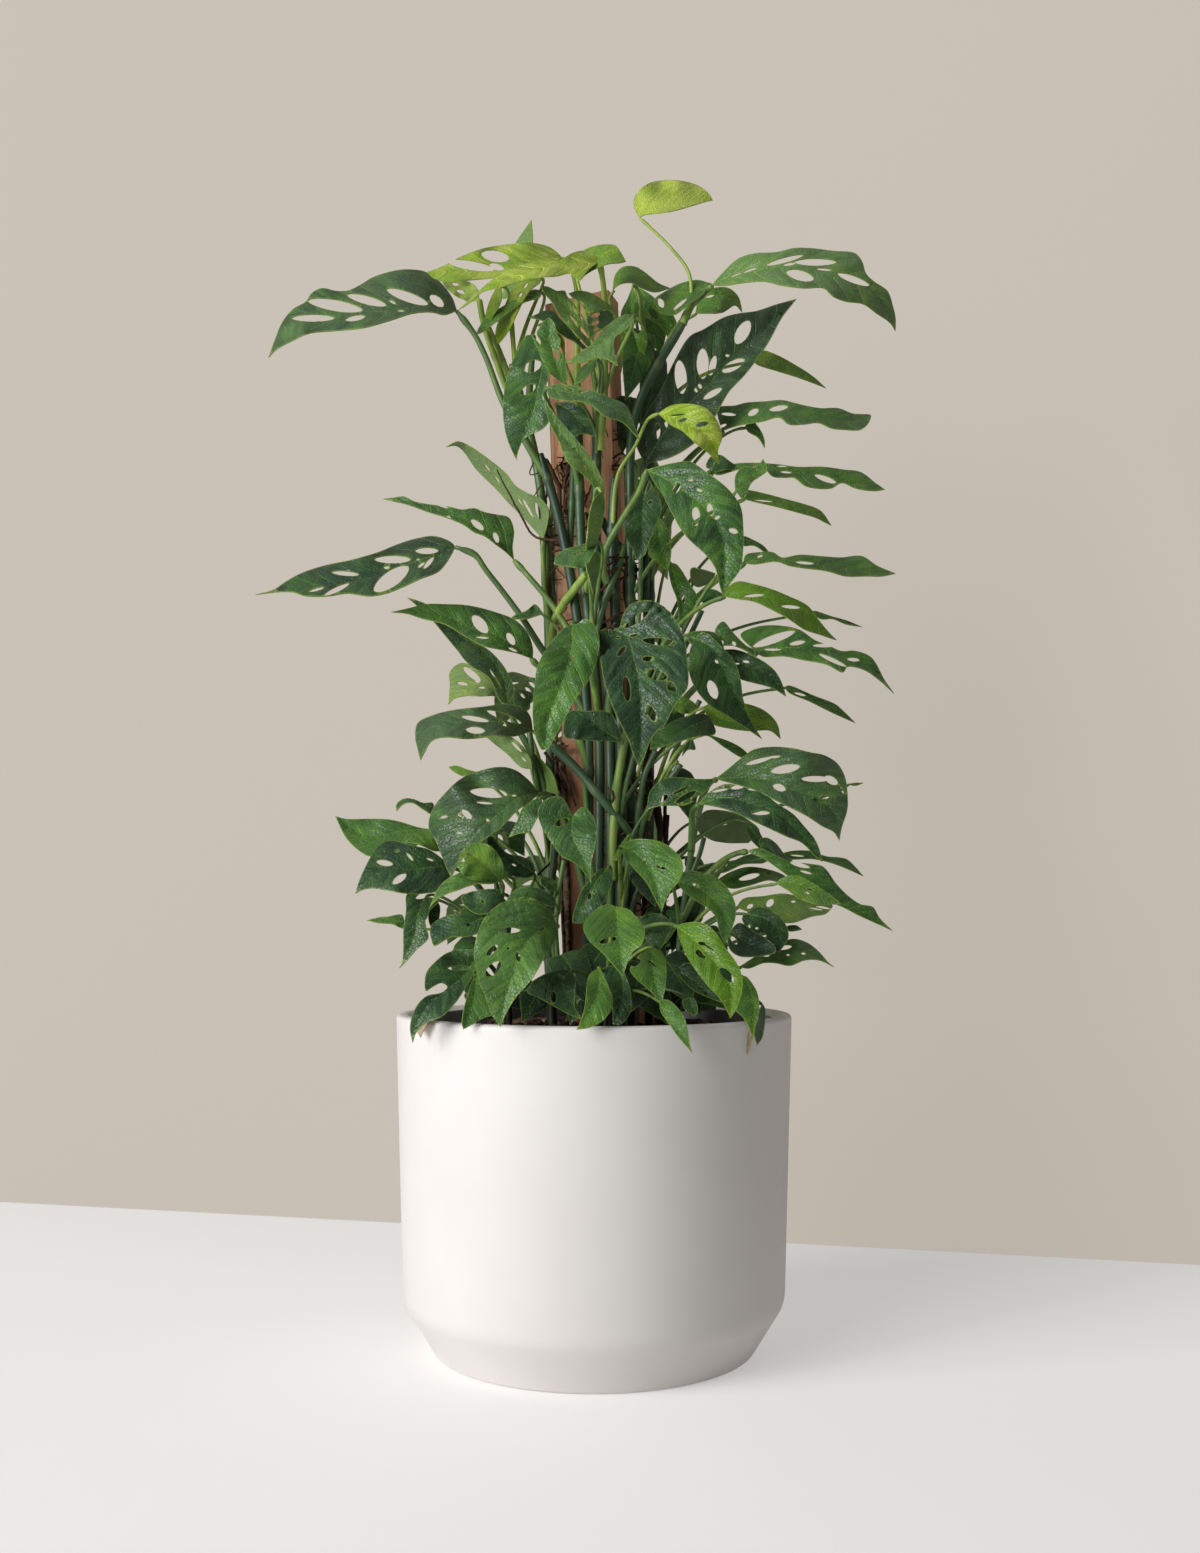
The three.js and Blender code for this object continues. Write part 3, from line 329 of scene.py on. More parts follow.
STALKS = [
    ["vine_low_right", 0.2, 0.9, [43.5, 249, -60], [61.5, 261, -68], [79.5, 268.5, -74], [91.5, 271.5,
        -76]],
    ["vine_low_right", 0.3, 0.8, [52.5, 246, -66], [61.5, 256.5, -70], [73.5, 265.5, -74], [81, 274.5,
        -76]],
    ["vine_low_right", 0.25, 0.9, [72, 247.5, -70], [76.5, 258, -72], [79.5, 269, -74], [81, 282, -76]],
    ["vine_low_right", 0.2, 0.8, [61.5, 247.5, -58], [66, 258, -60], [75, 270, -62], [78, 280.5, -62]],
    ["vine_right", 0.75, 1.4, [99, 583.5, -30], [88.5, 571.5, -34], [79.5, 558, -32], [70.5, 541.5, -28],
        [61.5, 524, -24], [52.5, 507, -20]],
    ["vine_right", 0.8, 1.4, [58.5, 490.5, -34], [52.5, 474, -32], [47, 457, -28], [42, 438, -24]],
    ["vine_centre_right", 0.85, 1.5, [66, 449, -50], [58.5, 438, -50], [50, 423, -46], [43.5, 404, -40]],
    ["vine_centre_right", 0.9, 1.3, [63, 438, -44], [55.5, 429, -42], [46.5, 411, -38], [40.5, 393, -34]],
    ["vine_left", 0.95, 2.3, [-86, 783, -20], [-83, 766.5, -18], [-79, 753, -16], [-73, 736.5, -14], [-67,
        720, -12], [-61.5, 708, -10]],
    ["vine_left", 0.9, 1.9, [-80, 765, -20], [-76, 756, -14], [-71, 745.5, -10], [-67, 735, -10], [-62,
        723, -8], [-60, 709.5, -8]],
    ["vine_centre", 0.92, 2.6, [8, 744, -50], [8, 727, -50], [7.5, 708, -50], [6, 689, -46], [5, 670.5,
        -42]],
    ["vine_centre", 0.85, 1.5, [2, 741, -52], [4, 726, -52], [3, 712, -52], [1, 699, -50]],
    ["vine_centre_right", 0.8, 2.9, [28.5, 471, -60], [24, 457, -60], [18, 424.5, -54], [16, 406.5, -50],
        [14, 374, -46], [15, 348, -42]],
    ["vine_centre_right", 0.62, 2, [31, 447, -54], [28, 435, -54], [23, 415.5, -50], [19.5, 397, -45]],
    ["vine_centre", 0.36, 3.2, [-40, 462, -46], [-31, 449, -46], [-13.5, 432, -47], [5, 410, -50], [18,
        395, -48], [27, 383, -42]],
    ["vine_centre_left", 0.48, 2.4, [-15, 669, -28], [-16, 646.5, -30], [-17, 622, -31], [-18, 595.5,
        -28]],
    ["vine_left", 0.9, 2.9, [-32, 522, -8], [-30, 541.5, -22], [-23, 555, -34], [-14, 567, -44], [-6,
        577.5, -52]],
    ["vine_centre_right", 0.5, 2.5, [22.5, 599, -32], [19, 585, -38], [13.5, 571.5, -43], [7.5, 555, -44],
        [2, 534, -42]],
    ["vine_centre", 0.24, 2.6, [6, 619.5, -30], [10.5, 609, -28], [18, 600, -26], [26, 590, -22], [31.5,
        579, -20]],
    ["vine_right_front", 0.62, 1.7, [35, 594, -30], [35, 577, -32], [34.5, 558, -34], [33, 539, -34]],
    ["vine_right_front", 0.3, 2.4, [39, 595.5, -22], [39, 573, -24], [38, 550.5, -26]],
    ["vine_right_front", 0.42, 2.3, [65, 435, -58], [55.5, 421.5, -54], [46, 409.5, -46], [37.5, 394.5,
        -38], [33, 376.5, -34]],
    ["vine_right_front", 0.42, 2.2, [46.5, 445.5, -50], [38, 427, -48], [34.5, 408, -42], [31.5, 388.5,
        -38], [28.5, 370.5, -34]],
    ["vine_low_left", 0.66, 1.7, [-22.5, 363, -66], [-26, 342, -66], [-28.5, 314, -62], [-27, 286.5, -56]],
    ["vine_left", 0.5, 2.2, [-49, 466.5, -6], [-47, 447, -6], [-44, 427, -4], [-40.5, 404, -2]],
    ["vine_low_left", 0.55, 2, [-37, 329, -60], [-32, 310.5, -58], [-29, 288, -54], [-25.5, 269, -50]],
    ["vine_right", 0.5, 2, [55.5, 541.5, -24], [51, 520.5, -20], [46.5, 490.5, -16], [43.5, 460.5, -12]],
    ["vine_right", 0.56, 1.9, [79.5, 483, -30], [67.5, 460.5, -26], [55.5, 430.5, -20], [45, 397, -14]],
    ["vine_right", 0.46, 2.1, [81, 550.5, -24], [70.5, 528, -20], [58.5, 502, -14], [46.5, 475.5, -10]],
    ["vine_low_right", 0.4, 1.8, [82.5, 379.5, -30], [79, 367, -36], [72, 348, -38], [65, 322, -36], [63,
        292, -36]],
    ["vine_low_right", 0.66, 1.8, [100, 364.5, -30], [88.5, 345, -32], [79, 322, -34], [70.5, 295.5, -36]],
    ["vine_low_right", 0.3, 2.4, [55.5, 361.5, -30], [52.5, 337, -32], [51, 310.5, -34], [52.5, 277, -36]],
    ["vine_centre_right", 0.3, 2.4, [42, 357, -40], [35, 344, -40], [28.5, 329, -40], [25.5, 303, -38]],
    ["vine_centre_right", 0.42, 2.2, [25, 364.5, -44], [25, 348, -44], [22.5, 329, -42], [21, 303, -40]],
    ["vine_left_front", 0.3, 2.6, [-28.5, 408, -18], [-28.5, 378, -20], [-31.5, 348, -22], [-34.5, 310.5,
        -26]],
]

# Fine roots that clasp the stake and hang between the stems: the vine, radius, points [x, z, y].

FINE_ROOTS = [
    ["vine_left_front", 1.9, [-36, 663, -14], [-29, 649.5, -12], [-25.5, 642, -12], [-24, 619.5, -12],
        [-22, 598.5, -12], [-19, 583.5, -12], [-14, 558, -14], [-10.5, 535.5, -16]],
    ["vine_left_front", 1.7, [-17, 662, -14], [-20, 655.5, -13], [-23, 648, -13], [-25.5, 642, -12]],
    ["vine_left_front", 0.6, [-35, 664, -20], [-43, 664, -22], [-47, 659, -22], [-49, 652.5, -22], [-43.5,
        652.5, -22], [-36, 657, -20]],
    ["vine_left_front", 0.6, [-38, 646, -18], [-42, 640.5, -18], [-46, 635, -18]],
    ["vine_left", 1, [-31, 557, -6], [-34, 569, -7], [-33, 577.5, -8], [-28.5, 583.5, -10], [-24, 586.5,
        -11]],
    ["vine_left_front", 0.8, [-28.5, 625.5, -9], [-21, 625, -12], [-13, 625.5, -14]],
    ["vine_left_front", 0.9, [-31.5, 594, -8], [-25.5, 595.5, -11], [-18, 595, -13], [-9, 598, -15]],
    ["vine_left_front", 0.8, [-32, 588, -8], [-24, 591, -12], [-15, 589.5, -14]],
    ["vine_centre", 1, [-6, 624, -16], [-3, 610.5, -17], [-4.5, 597, -17], [-1.5, 583.5, -18]],
    ["vine_centre", 0.9, [-9, 629, -15], [-4.5, 637, -16], [-1.5, 646.5, -16]],
    ["vine_centre", 1, [1.5, 570, -44], [10, 577.5, -45], [19, 583, -40], [28.5, 588, -30], [36, 590,
        -20]],
    ["vine_centre", 0.9, [4, 564, -44], [12, 571.5, -45], [20, 574.5, -40], [31.5, 581, -28], [37.5, 583.5,
        -20]],
    ["vine_centre", 0.9, [2, 577, -44], [9, 583.5, -45], [17, 589, -42], [25, 594, -32], [30, 599, -22]],
    ["vine_centre", 0.8, [6, 559.5, -42], [11, 567, -44], [15, 579, -44], [22.5, 585, -38], [34, 586,
        -26]],
    ["vine_centre", 0.8, [4.5, 582, -42], [13, 580, -44], [21, 580.5, -40], [30, 577.5, -28]],
    ["vine_centre_right", 0.8, [4.5, 588, -42], [13.5, 591, -42], [24, 591, -36], [32, 595.5, -24]],
    ["vine_centre_right", 0.9, [14, 664.5, -20], [20, 667, -22], [27, 664, -20]],
    ["vine_centre_right", 1.1, [13.5, 658.5, -20], [19.5, 660, -22], [27, 657, -20]],
    ["vine_centre_right", 0.8, [14, 678, -20], [21, 679.5, -22], [26, 673.5, -20]],
    ["vine_centre_right", 0.8, [13, 603, -22], [13.5, 591, -23], [16.5, 580.5, -24]],
    ["vine_centre_right", 1.3, [24, 582, -24], [22.5, 565.5, -24], [26, 543, -24], [28, 524, -24]],
    ["vine_centre", 1.2, [2, 541, -40], [9, 543, -43], [16.5, 547.5, -42], [25, 549, -30]],
    ["vine_centre", 1, [3, 535.5, -40], [10.5, 537, -43], [18, 540, -42], [27, 541.5, -30]],
    ["vine_centre_left", 1.4, [-10.5, 562.5, -20], [-7, 549, -22], [-3, 535.5, -24], [-1.5, 517, -24]],
    ["vine_left_front", 1.7, [-25, 432, -12], [-21, 423, -12], [-18, 415.5, -13], [-13.5, 403.5, -14]],
    ["vine_left_front", 0.6, [-28, 436.5, -9], [-27, 427, -9], [-25, 415.5, -11], [-25, 403.5, -11]],
    ["vine_left_front", 0.5, [-24, 435, -11], [-25.5, 429, -11], [-23, 421.5, -12]],
    ["vine_left_front", 1, [-2, 387, -26], [3, 386, -28], [9, 388.5, -28]],
    ["vine_left_front", 1, [-1.5, 376, -26], [3, 374, -28], [9, 376, -28]],
    ["vine_left_front", 0.9, [0, 366, -26], [4.5, 368, -28], [9, 367, -28]],
    ["vine_centre", 0.9, [9, 399, -44], [13.5, 408, -52], [13, 414, -54], [10, 418, -52]],
    ["vine_centre_right", 1, [22.5, 408, -42], [28.5, 415.5, -40], [34.5, 421, -34], [43.5, 423, -28]],
    ["vine_centre_right", 1.1, [21, 415.5, -40], [30, 422, -38], [37.5, 429, -32]],
    ["vine_centre_right", 0.9, [24, 429, -40], [28, 420, -40], [33, 410, -34], [35, 399, -30]],
    ["vine_centre_right", 0.9, [19.5, 390, -44], [27, 391.5, -42], [36, 387, -34], [40.5, 379.5, -30]],
    ["vine_centre_right", 0.9, [16.5, 381, -46], [25.5, 384, -44], [34.5, 381, -36]],
    ["vine_right_front", 2.3, [48, 403.5, -20], [49.5, 382, -22], [48, 355.5, -24], [46.5, 329, -26],
        [43.5, 288, -28]],
    ["vine_right_front", 1.8, [55, 397, -18], [54, 370.5, -20], [52, 340.5, -22], [51, 303, -26]],
    ["vine_right_front", 2, [39, 357, -24], [37.5, 333, -24], [37, 307, -26], [34.5, 273, -28]],
    ["vine_centre_right", 2.2, [24, 364.5, -28], [28, 340.5, -28], [29, 310.5, -28], [27, 273, -30]],
    ["vine_low_left", 0.9, [-42, 352, -24], [-37, 357, -22], [-31.5, 362, -18], [-27, 367, -14]],
    ["vine_left_front", 1.2, [-37, 444, -12], [-31.5, 438, -14], [-28.5, 439.5, -14], [-25.5, 445.5, -12]],
    ["vine_centre_right", 1.6, [43.5, 451.5, -20], [42, 430.5, -20], [43.5, 408, -20], [48, 385.5, -20]],
    ["vine_right", 1.6, [55.5, 430.5, -8], [54, 408, -10], [52.5, 378, -14], [55, 348, -18]],
    ["vine_right_front", 0.8, [46, 524, -20], [43, 498, -20], [40.5, 474, -20]],
    ["vine_centre", 1.2, [5, 520.5, -24], [7.5, 498, -24], [9, 478.5, -24], [12, 453, -26]],
    ["vine_centre_right", 1.2, [21, 456, -28], [20, 444, -28], [16.5, 430.5, -28], [14, 420, -28]],
]

# Strips of dry bark along the left edge of the stake, in the same form, and their tone.

BARK_STRIPS = [
    ["vine_left_front", 3.2, [-24, 415.5, -4], [-22, 378, -4], [-19.5, 348, -4], [-18, 318, -4], [-17, 288,
        -4], [-16.5, 235.5, -4]],
    ["vine_left_front", 2.4, [-27, 408, -3], [-24, 370.5, -3], [-22.5, 340.5, -3], [-21, 310.5, -3], [-20,
        280.5, -3], [-19.5, 235.5, -3]],
    ["vine_left_front", 2.5, [-25.5, 451.5, -5], [-24, 434, -5], [-23, 415.5, -5], [-22, 378, -5], [-20,
        348, -5], [-19.5, 310.5, -5], [-19, 265.5, -5]],
    ["vine_left_front", 1.6, [-29, 457, -4], [-28, 430.5, -4], [-26, 408, -4], [-25.5, 370.5, -4], [-24,
        333, -4], [-22.5, 295.5, -4], [-22.5, 265.5, -4]],
]
BARK_TONE = 0.68

# Tangles of fine roots on the face of the stake: low x, high x, low z, high z, count, thickest radius.

TANGLES = [
    [-36, -16, 599, 667, 30, 0.8],
    [3, 38, 558, 599, 26, 0.7],
    [-34, -14, 573, 599, 10, 0.6],
    [-26, 4, 524, 558, 10, 0.6],
    [23, 44, 408, 468, 26, 0.6],
    [-28, -20, 404, 449, 12, 0.6],
    [3, 42, 356, 408, 20, 0.6],
    [23, 56, 266, 370, 34, 0.8],
    [3, 34, 656, 686, 8, 0.5],
    [-21, 2, 599, 640, 12, 0.7],
]

# ---- Leaves seen from the front --------------------------------------------------------------
# The true outline of a leaf, by vine and by row: points x, z of the front elevation in
# millimetres. rib runs along the midrib from the base to the tip, up and down along the two
# margins between the same ends. A hole is [x, z, length, width, degrees]. tone runs from deep
# green at 0 to lime at 1; it is partly the leaf's own colour and partly painted light, set higher
# on leaves that lie in shade or that light shines through. Where they are given, sheen is a
# painted sheen, how far a grey-green mixed into the colour whitens the leaf, tilt takes the place
# of the row's own, and stalk holds points x, z that the petiole passes.

OUTLINES = {
    "vine_left_front": {
        0: {"tone": 0.2, "sheen": 0.1, "stalk": [-55, 684, -68, 706, -81, 740, -90, 758], "rib": [-103,
            775, -128, 778, -154, 775, -178, 774, -200, 772, -220, 773, -233, 764, -244, 740], "up": [-106,
            784, -114, 795, -126, 804, -138, 806, -150, 805, -166, 800, -176, 794, -185, 790, -194, 790,
            -204, 792, -212, 788, -216, 782, -226, 776, -234, 766, -239, 754], "down": [-112, 772, -122,
            774, -136, 773, -152, 768, -174, 762, -194, 760, -214, 758, -227, 752, -238, 746], "holes":
            [[-194, 779, 41.5, 8.5, -10], [-170.5, 783, 30.5, 6.5, -15], [-140, 785.5, 33, 7.5, -20],
            [-118, 782.5, 13, 7, -40], [-151, 781.5, 5.5, 2, -30], [-145, 775, 5.5, 1.5, -5], [-210.5,
            769.5, 32, 5.5, 0], [-179, 769.5, 15, 4.5, 10]]},
        1: {"tone": 0.32, "stalk": [-21, 538, -34, 558, -50, 577], "rib": [-60, 588, -70, 603, -88, 614,
            -101, 620, -120, 626, -141, 631, -158, 634], "up": [-61, 598, -60, 610, -64, 620, -72, 622,
            -82, 624, -90, 627, -99, 626, -108, 628, -124, 630, -134, 632, -143, 636, -150, 635], "down":
            [-66, 594, -74, 600, -82, 606, -90, 609, -97, 614, -108, 619, -124, 624, -141, 630, -150, 632],
            "holes": [[-87.5, 614.5, 12, 5, -40], [-73.5, 605, 8.5, 4, -70], [-109, 620.5, 4, 1.5, -25],
            [-114.5, 629, 11.5, 2, -20]]},
        2: {"tone": 0.1, "stalk": [-28, 509, -38, 520, -52, 542, -68, 564, -82, 582, -89, 592], "rib":
            [-104, 598, -116, 592, -132, 588, -150, 580, -170, 574, -189, 570, -208, 570, -231, 570, -254,
            562], "up": [-108, 602, -120, 606, -134, 604, -147, 600, -162, 594, -183, 588, -202, 584, -220,
            578, -231, 572, -240, 566], "down": [-107, 592, -116, 580, -130, 574, -143, 568, -156, 563,
            -168, 561, -185, 563, -200, 561, -216, 561, -226, 564, -238, 564], "holes": [[-125.5, 595,
            17.5, 5, 0], [-151, 588.5, 27, 6, 0], [-186.5, 578, 20.5, 3.5, -5], [-152, 574, 31.5, 12, 35],
            [-124, 586, 11.5, 3.5, 50], [-129.5, 584.5, 6.5, 2.5, 40], [-155.5, 582.5, 4.5, 2.5, 0], [-132,
            588.5, 2.5, 1.5, 0], [-208, 566, 11.5, 2.5, 15], [-193, 566, 21, 4, 25]]},
        3: {"tone": 0.36, "rib": [-46, 514, -59, 524, -74, 532, -94, 538, -112, 546, -132, 550, -152, 549],
            "up": [-46, 522, -50, 534, -59, 543, -74, 549, -94, 554, -112, 555, -126, 555, -139, 552],
            "down": [-57, 518, -70, 521, -84, 524, -95, 530, -112, 540, -128, 544, -141, 548], "holes":
            [[-85.5, 540, 17, 8.5, -50], [-62.5, 529, 10.5, 5.5, -60], [-61, 521, 7.5, 2, -25], [-83.5,
            530, 9.5, 2, -5]]},
        4: {"tone": 0.15, "sheen": 0.14, "stalk": [-6, 408, -8, 423, -20, 438, -31, 450], "rib": [-46, 460,
            -64, 466, -84, 467, -103, 466, -120, 462, -130, 438], "up": [-48, 471, -53, 477, -66, 480, -84,
            478, -103, 476, -120, 472, -132, 466, -134, 456, -132, 446], "down": [-59, 456, -74, 456, -94,
            454, -112, 455, -122, 452, -127, 444], "holes": [[-67.5, 470.5, 27.5, 5, -20], [-89, 469, 21,
            4, -10], [-89, 460.5, 14.5, 5.5, -5], [-68.5, 465.5, 7, 2.5, -35]]},
        5: {"tone": 0.16, "sheen": 0.1, "rib": [-41, 413, -56, 410, -71, 398, -88, 383, -100, 366, -107,
            350], "up": [-49, 423, -60, 431, -71, 433, -86, 430, -100, 424, -113, 412, -121, 401, -124,
            388, -118, 376, -114, 366, -110, 356], "down": [-49, 406, -58, 400, -69, 388, -80, 380, -89,
            374, -98, 365, -104, 356], "holes": [[-79, 413.5, 28, 7.5, -5], [-82, 406, 12.5, 2, -5],
            [-95.5, 397.5, 10, 4.5, -40], [-100.5, 395.5, 5, 2.5, -50], [-112.5, 395.5, 6, 2, 10], [-101,
            383.5, 4, 1.5, -10], [-79.5, 392.5, 4, 2, -60], [-60, 411.5, 3.5, 1.5, 0]]},
    },
    "vine_left": {
        0: {"tone": 0.85, "rib": [-40, 800, -50, 794, -58, 783, -65, 768, -72, 750], "up": [-46, 801, -55,
            798, -62, 790, -66, 781, -71, 769, -74, 757], "down": [-40, 797, -47, 791, -52, 784, -58, 772,
            -64, 760, -70, 752], "holes": [[-51, 794, 5, 2, 60], [-55, 787, 4.5, 2, 60]]},
        1: {"tone": 0.95, "stalk": [-68, 729, -76, 753, -82, 770], "rib": [-86, 784, -95, 790, -105, 794,
            -114, 798], "up": [-88, 792, -92, 796, -101, 798, -108, 799], "down": [-90, 782, -99, 784,
            -106, 788, -112, 794], "holes": [[-104, 795, 5.5, 2.5, -10], [-100, 789.5, 6.5, 3, -15]]},
        2: {"tone": 0.5, "rib": [-60, 788, -55, 806, -51, 823, -47, 843], "up": [-68, 784, -66, 800, -64,
            814, -58, 827, -52, 836], "down": [-59, 792, -53, 808, -47, 817, -46, 830]},
        3: {"tone": 0.5, "sheen": 0.25, "stalk": [-33, 534, -37, 566, -38, 588], "rib": [-38, 604, -44,
            614, -59, 632, -72, 649, -86, 664, -98, 674, -111, 673], "up": [-35, 614, -34, 626, -40, 634,
            -51, 639, -59, 644, -66, 653, -82, 666, -94, 674, -103, 677], "down": [-42, 608, -51, 618, -62,
            629, -74, 642, -88, 656, -99, 671, -104, 674], "holes": [[-42, 625, 13.5, 4, -75], [-49.5, 627,
            17, 2.5, -60], [-55.5, 632, 7, 1.5, -55], [-72.5, 648.5, 7, 1.5, -55], [-80, 657.5, 7, 1.5,
            -50]]},
        4: {"tone": 0.16, "sheen": 0.12, "rib": [-64, 480, -68, 500, -82, 519, -101, 532, -116, 544, -140,
            560], "up": [-60, 490, -66, 506, -78, 520, -94, 530, -112, 548, -130, 557], "down": [-70, 482,
            -79, 500, -94, 510, -103, 521, -112, 532, -124, 546], "holes": [[-74, 499, 17, 1.5, -60]]},
        5: {"tone": 0.85, "sheen": 0.45, "tilt": 60, "rib": [-68, 482, -79, 493, -94, 492, -109, 480],
            "up": [-74, 500, -84, 504, -99, 511, -108, 504, -108, 494], "down": [-74, 486, -84, 486, -97,
            486, -105, 484], "holes": [[-91.5, 502.5, 17, 5, -40], [-98.5, 495.5, 8.5, 2.5, -10], [-84,
            492.5, 5, 2, -5], [-87.5, 497, 4, 2, -30]]},
        6: {"tone": 0.24, "rib": [-46, 756, -39, 737, -42, 716, -46, 698, -53, 680, -58, 663], "up": [-50,
            757, -57, 746, -62, 735, -66, 722, -68, 708, -68, 695, -66, 682, -62, 671], "down": [-42, 752,
            -36, 742, -34, 726, -37, 715, -34, 704, -33, 694, -38, 687, -48, 682, -53, 678, -57, 669],
            "holes": [[-46, 733.5, 14, 9, 25], [-49.5, 716, 13, 6.5, 30], [-38, 710, 4, 1.5, -70]]},
        7: {"tone": 0.6, "sheen": 0.15, "rib": [-46, 431, -59, 442, -72, 452, -81, 456], "up": [-48, 440,
            -55, 450, -64, 456, -74, 456], "down": [-55, 433, -64, 442, -74, 450], "holes": [[-58, 448,
            11.5, 2.5, -45], [-52.5, 438.5, 5.5, 1.5, -40]]},
    },
    "vine_left_back": {
        0: {"tone": 0.38, "rib": [-123, 386, -142, 385, -166, 381, -180, 385, -194, 396], "up": [-133, 388,
            -146, 392, -158, 394, -171, 394, -186, 394], "down": [-133, 374, -151, 368, -168, 366, -176,
            370, -186, 380]},
    },
    "vine_low_left": {
        0: {"tone": 0.1, "rib": [-106, 358, -120, 358, -136, 356, -154, 356, -169, 348, -179, 338], "up":
            [-111, 362, -124, 371, -136, 374, -154, 378, -162, 374, -169, 363, -176, 348], "down": [-108,
            350, -114, 341, -128, 338, -140, 338, -153, 340, -166, 342, -173, 341], "holes": [[-157, 361,
            12.5, 4.5, -10], [-146, 349, 12.5, 5.5, 35], [-147.5, 370, 3.5, 2, 0], [-138, 365.5, 7.5, 2,
            -50], [-123, 363.5, 5.5, 1.5, -20]]},
        1: {"tone": 0.58, "rib": [-114, 370, -126, 376, -133, 378, -143, 376], "up": [-116, 380, -123, 386,
            -131, 386, -138, 380], "down": [-120, 370, -129, 374, -136, 376]},
        2: {"tone": 0.62, "rib": [-69, 347, -80, 358, -89, 366, -98, 370], "up": [-68, 358, -71, 366, -78,
            374, -88, 376, -94, 374], "down": [-74, 347, -89, 348, -98, 352, -102, 360, -101, 366],
            "holes": [[-98, 363.5, 4, 3.5, 0], [-94, 367.5, 3.5, 2, 0]]},
        3: {"tone": 0.42, "rib": [-64, 352, -89, 348, -104, 345, -114, 338, -124, 326], "up": [-78, 356,
            -93, 356, -108, 350, -116, 343], "down": [-74, 346, -89, 345, -104, 340, -114, 336, -121, 330],
            "holes": [[-81.5, 342.5, 14, 2.5, 10]]},
        4: {"tone": 0.28, "rib": [-126, 336, -132, 323, -134, 308, -139, 296, -146, 282], "up": [-140, 338,
            -141, 325, -143, 310, -143, 296, -144, 286], "down": [-116, 333, -123, 325, -126, 314, -124,
            305, -133, 296, -140, 288], "holes": [[-128, 336.5, 12, 4, 20], [-125, 316.5, 5.5, 3, -80]]},
        5: {"tone": 0.14, "rib": [-71, 332, -84, 320, -104, 310, -122, 304], "up": [-82, 325, -94, 328,
            -104, 323, -114, 320, -122, 314, -123, 308], "down": [-82, 312, -93, 306, -108, 305, -120,
            299], "holes": [[-102, 323, 3.5, 2, -10], [-89, 328.5, 22, 2, -60]]},
        6: {"tone": 0.4, "sheen": 0.06, "rib": [-28, 314, -44, 308, -54, 296, -60, 278, -66, 260, -70,
            238], "up": [-33, 325, -44, 332, -58, 334, -71, 330, -82, 320, -88, 306, -90, 292, -88, 278,
            -82, 261, -76, 246], "down": [-28, 306, -34, 296, -40, 285, -48, 272, -58, 261, -66, 248],
            "holes": [[-63.5, 310.5, 16.5, 4.5, 0], [-76.5, 295.5, 11.5, 4.5, 45], [-75.5, 281.5, 15.5, 8,
            45], [-57, 290.5, 9, 3.5, -70], [-39, 311.5, 4.5, 2.5, 30], [-64.5, 297, 2.5, 2, 0]]},
        7: {"tone": 0.16, "rib": [-90, 288, -96, 278, -111, 265, -124, 254, -131, 243, -136, 226], "up":
            [-90, 295, -100, 296, -111, 293, -120, 286, -126, 278, -126, 265, -121, 268, -114, 271, -110,
            268, -114, 264, -126, 261, -134, 252, -138, 238], "down": [-90, 278, -96, 268, -104, 256, -114,
            246, -126, 241, -133, 234], "holes": [[-101.5, 282, 16.5, 3.5, 0]]},
        8: {"tone": 0.4, "rib": [-88, 276, -89, 265, -93, 250, -98, 236], "up": [-89, 278, -94, 265, -98,
            250, -99, 240], "down": [-80, 258, -74, 248, -82, 245, -91, 240]},
        9: {"tone": 0.12, "rib": [-44, 353, -54, 360, -64, 366, -80, 381], "up": [-46, 361, -54, 366, -64,
            368, -71, 374, -76, 381], "down": [-49, 350, -60, 351, -69, 354, -73, 363, -80, 374], "holes":
            [[-60, 359.5, 3.5, 1.5, -30]]},
    },
    "vine_centre_left": {
        0: {"tone": 0.86, "rib": [-24, 815, -46, 812, -64, 809, -86, 806, -105, 806, -125, 804], "up":
            [-28, 819, -34, 823, -48, 826, -62, 825, -82, 822, -94, 818, -103, 814, -112, 809], "down":
            [-36, 808, -55, 803, -74, 800, -94, 798, -112, 797, -121, 800], "holes": [[-74, 816, 21.5, 9,
            -10], [-92.5, 809, 36.5, 7, -10], [-73, 808, 12, 5, -20], [-51, 810.5, 4, 2, 0]]},
        1: {"tone": 0.25, "sheen": 0.1, "rib": [-35, 718, -17, 713, 2, 708, 18, 700, 26, 691, 34, 678],
            "up": [-28, 720, -11, 718, 2, 714, 14, 709, 24, 704, 28, 695, 32, 684], "down": [-34, 711, -24,
            708, -11, 707, -2, 704, 8, 696, 22, 691, 29, 684], "holes": [[-8, 715, 9, 2.5, 10], [-18.5,
            716, 7.5, 1.5, -20]]},
        2: {"tone": 0.08, "rib": [-28, 706, -18, 700, -9, 691, 2, 680], "up": [-18, 707, -8, 702, -2, 691],
            "down": [-28, 696, -25, 687, -18, 680, -8, 683]},
        3: {"tone": 0.6, "sheen": 0.22, "rib": [6, 634, 0, 652, -13, 670, -26, 684, -37, 708], "up": [8,
            641, 4, 654, -6, 670, -17, 683, -28, 696], "down": [2, 640, -7, 651, -20, 662, -26, 676, -34,
            693], "holes": [[-7, 657.5, 4.5, 1.5, -60]]},
        4: {"tone": 0.3, "sheen": 0.06, "rib": [2, 603, -11, 596, -22, 590, -30, 585], "up": [-2, 602, -11,
            599, -22, 596, -29, 590], "down": [0, 594, -7, 583, -18, 583, -26, 584], "holes": [[-11, 593.5,
            9.5, 1.5, 20]]},
        5: {"tone": 0.38, "rib": [-16, 540, -17, 521, -20, 508, -28, 486, -35, 467, -37, 446], "up": [-24,
            536, -34, 524, -42, 510, -45, 490, -46, 471, -44, 456, -39, 446], "down": [-13, 540, -7, 544,
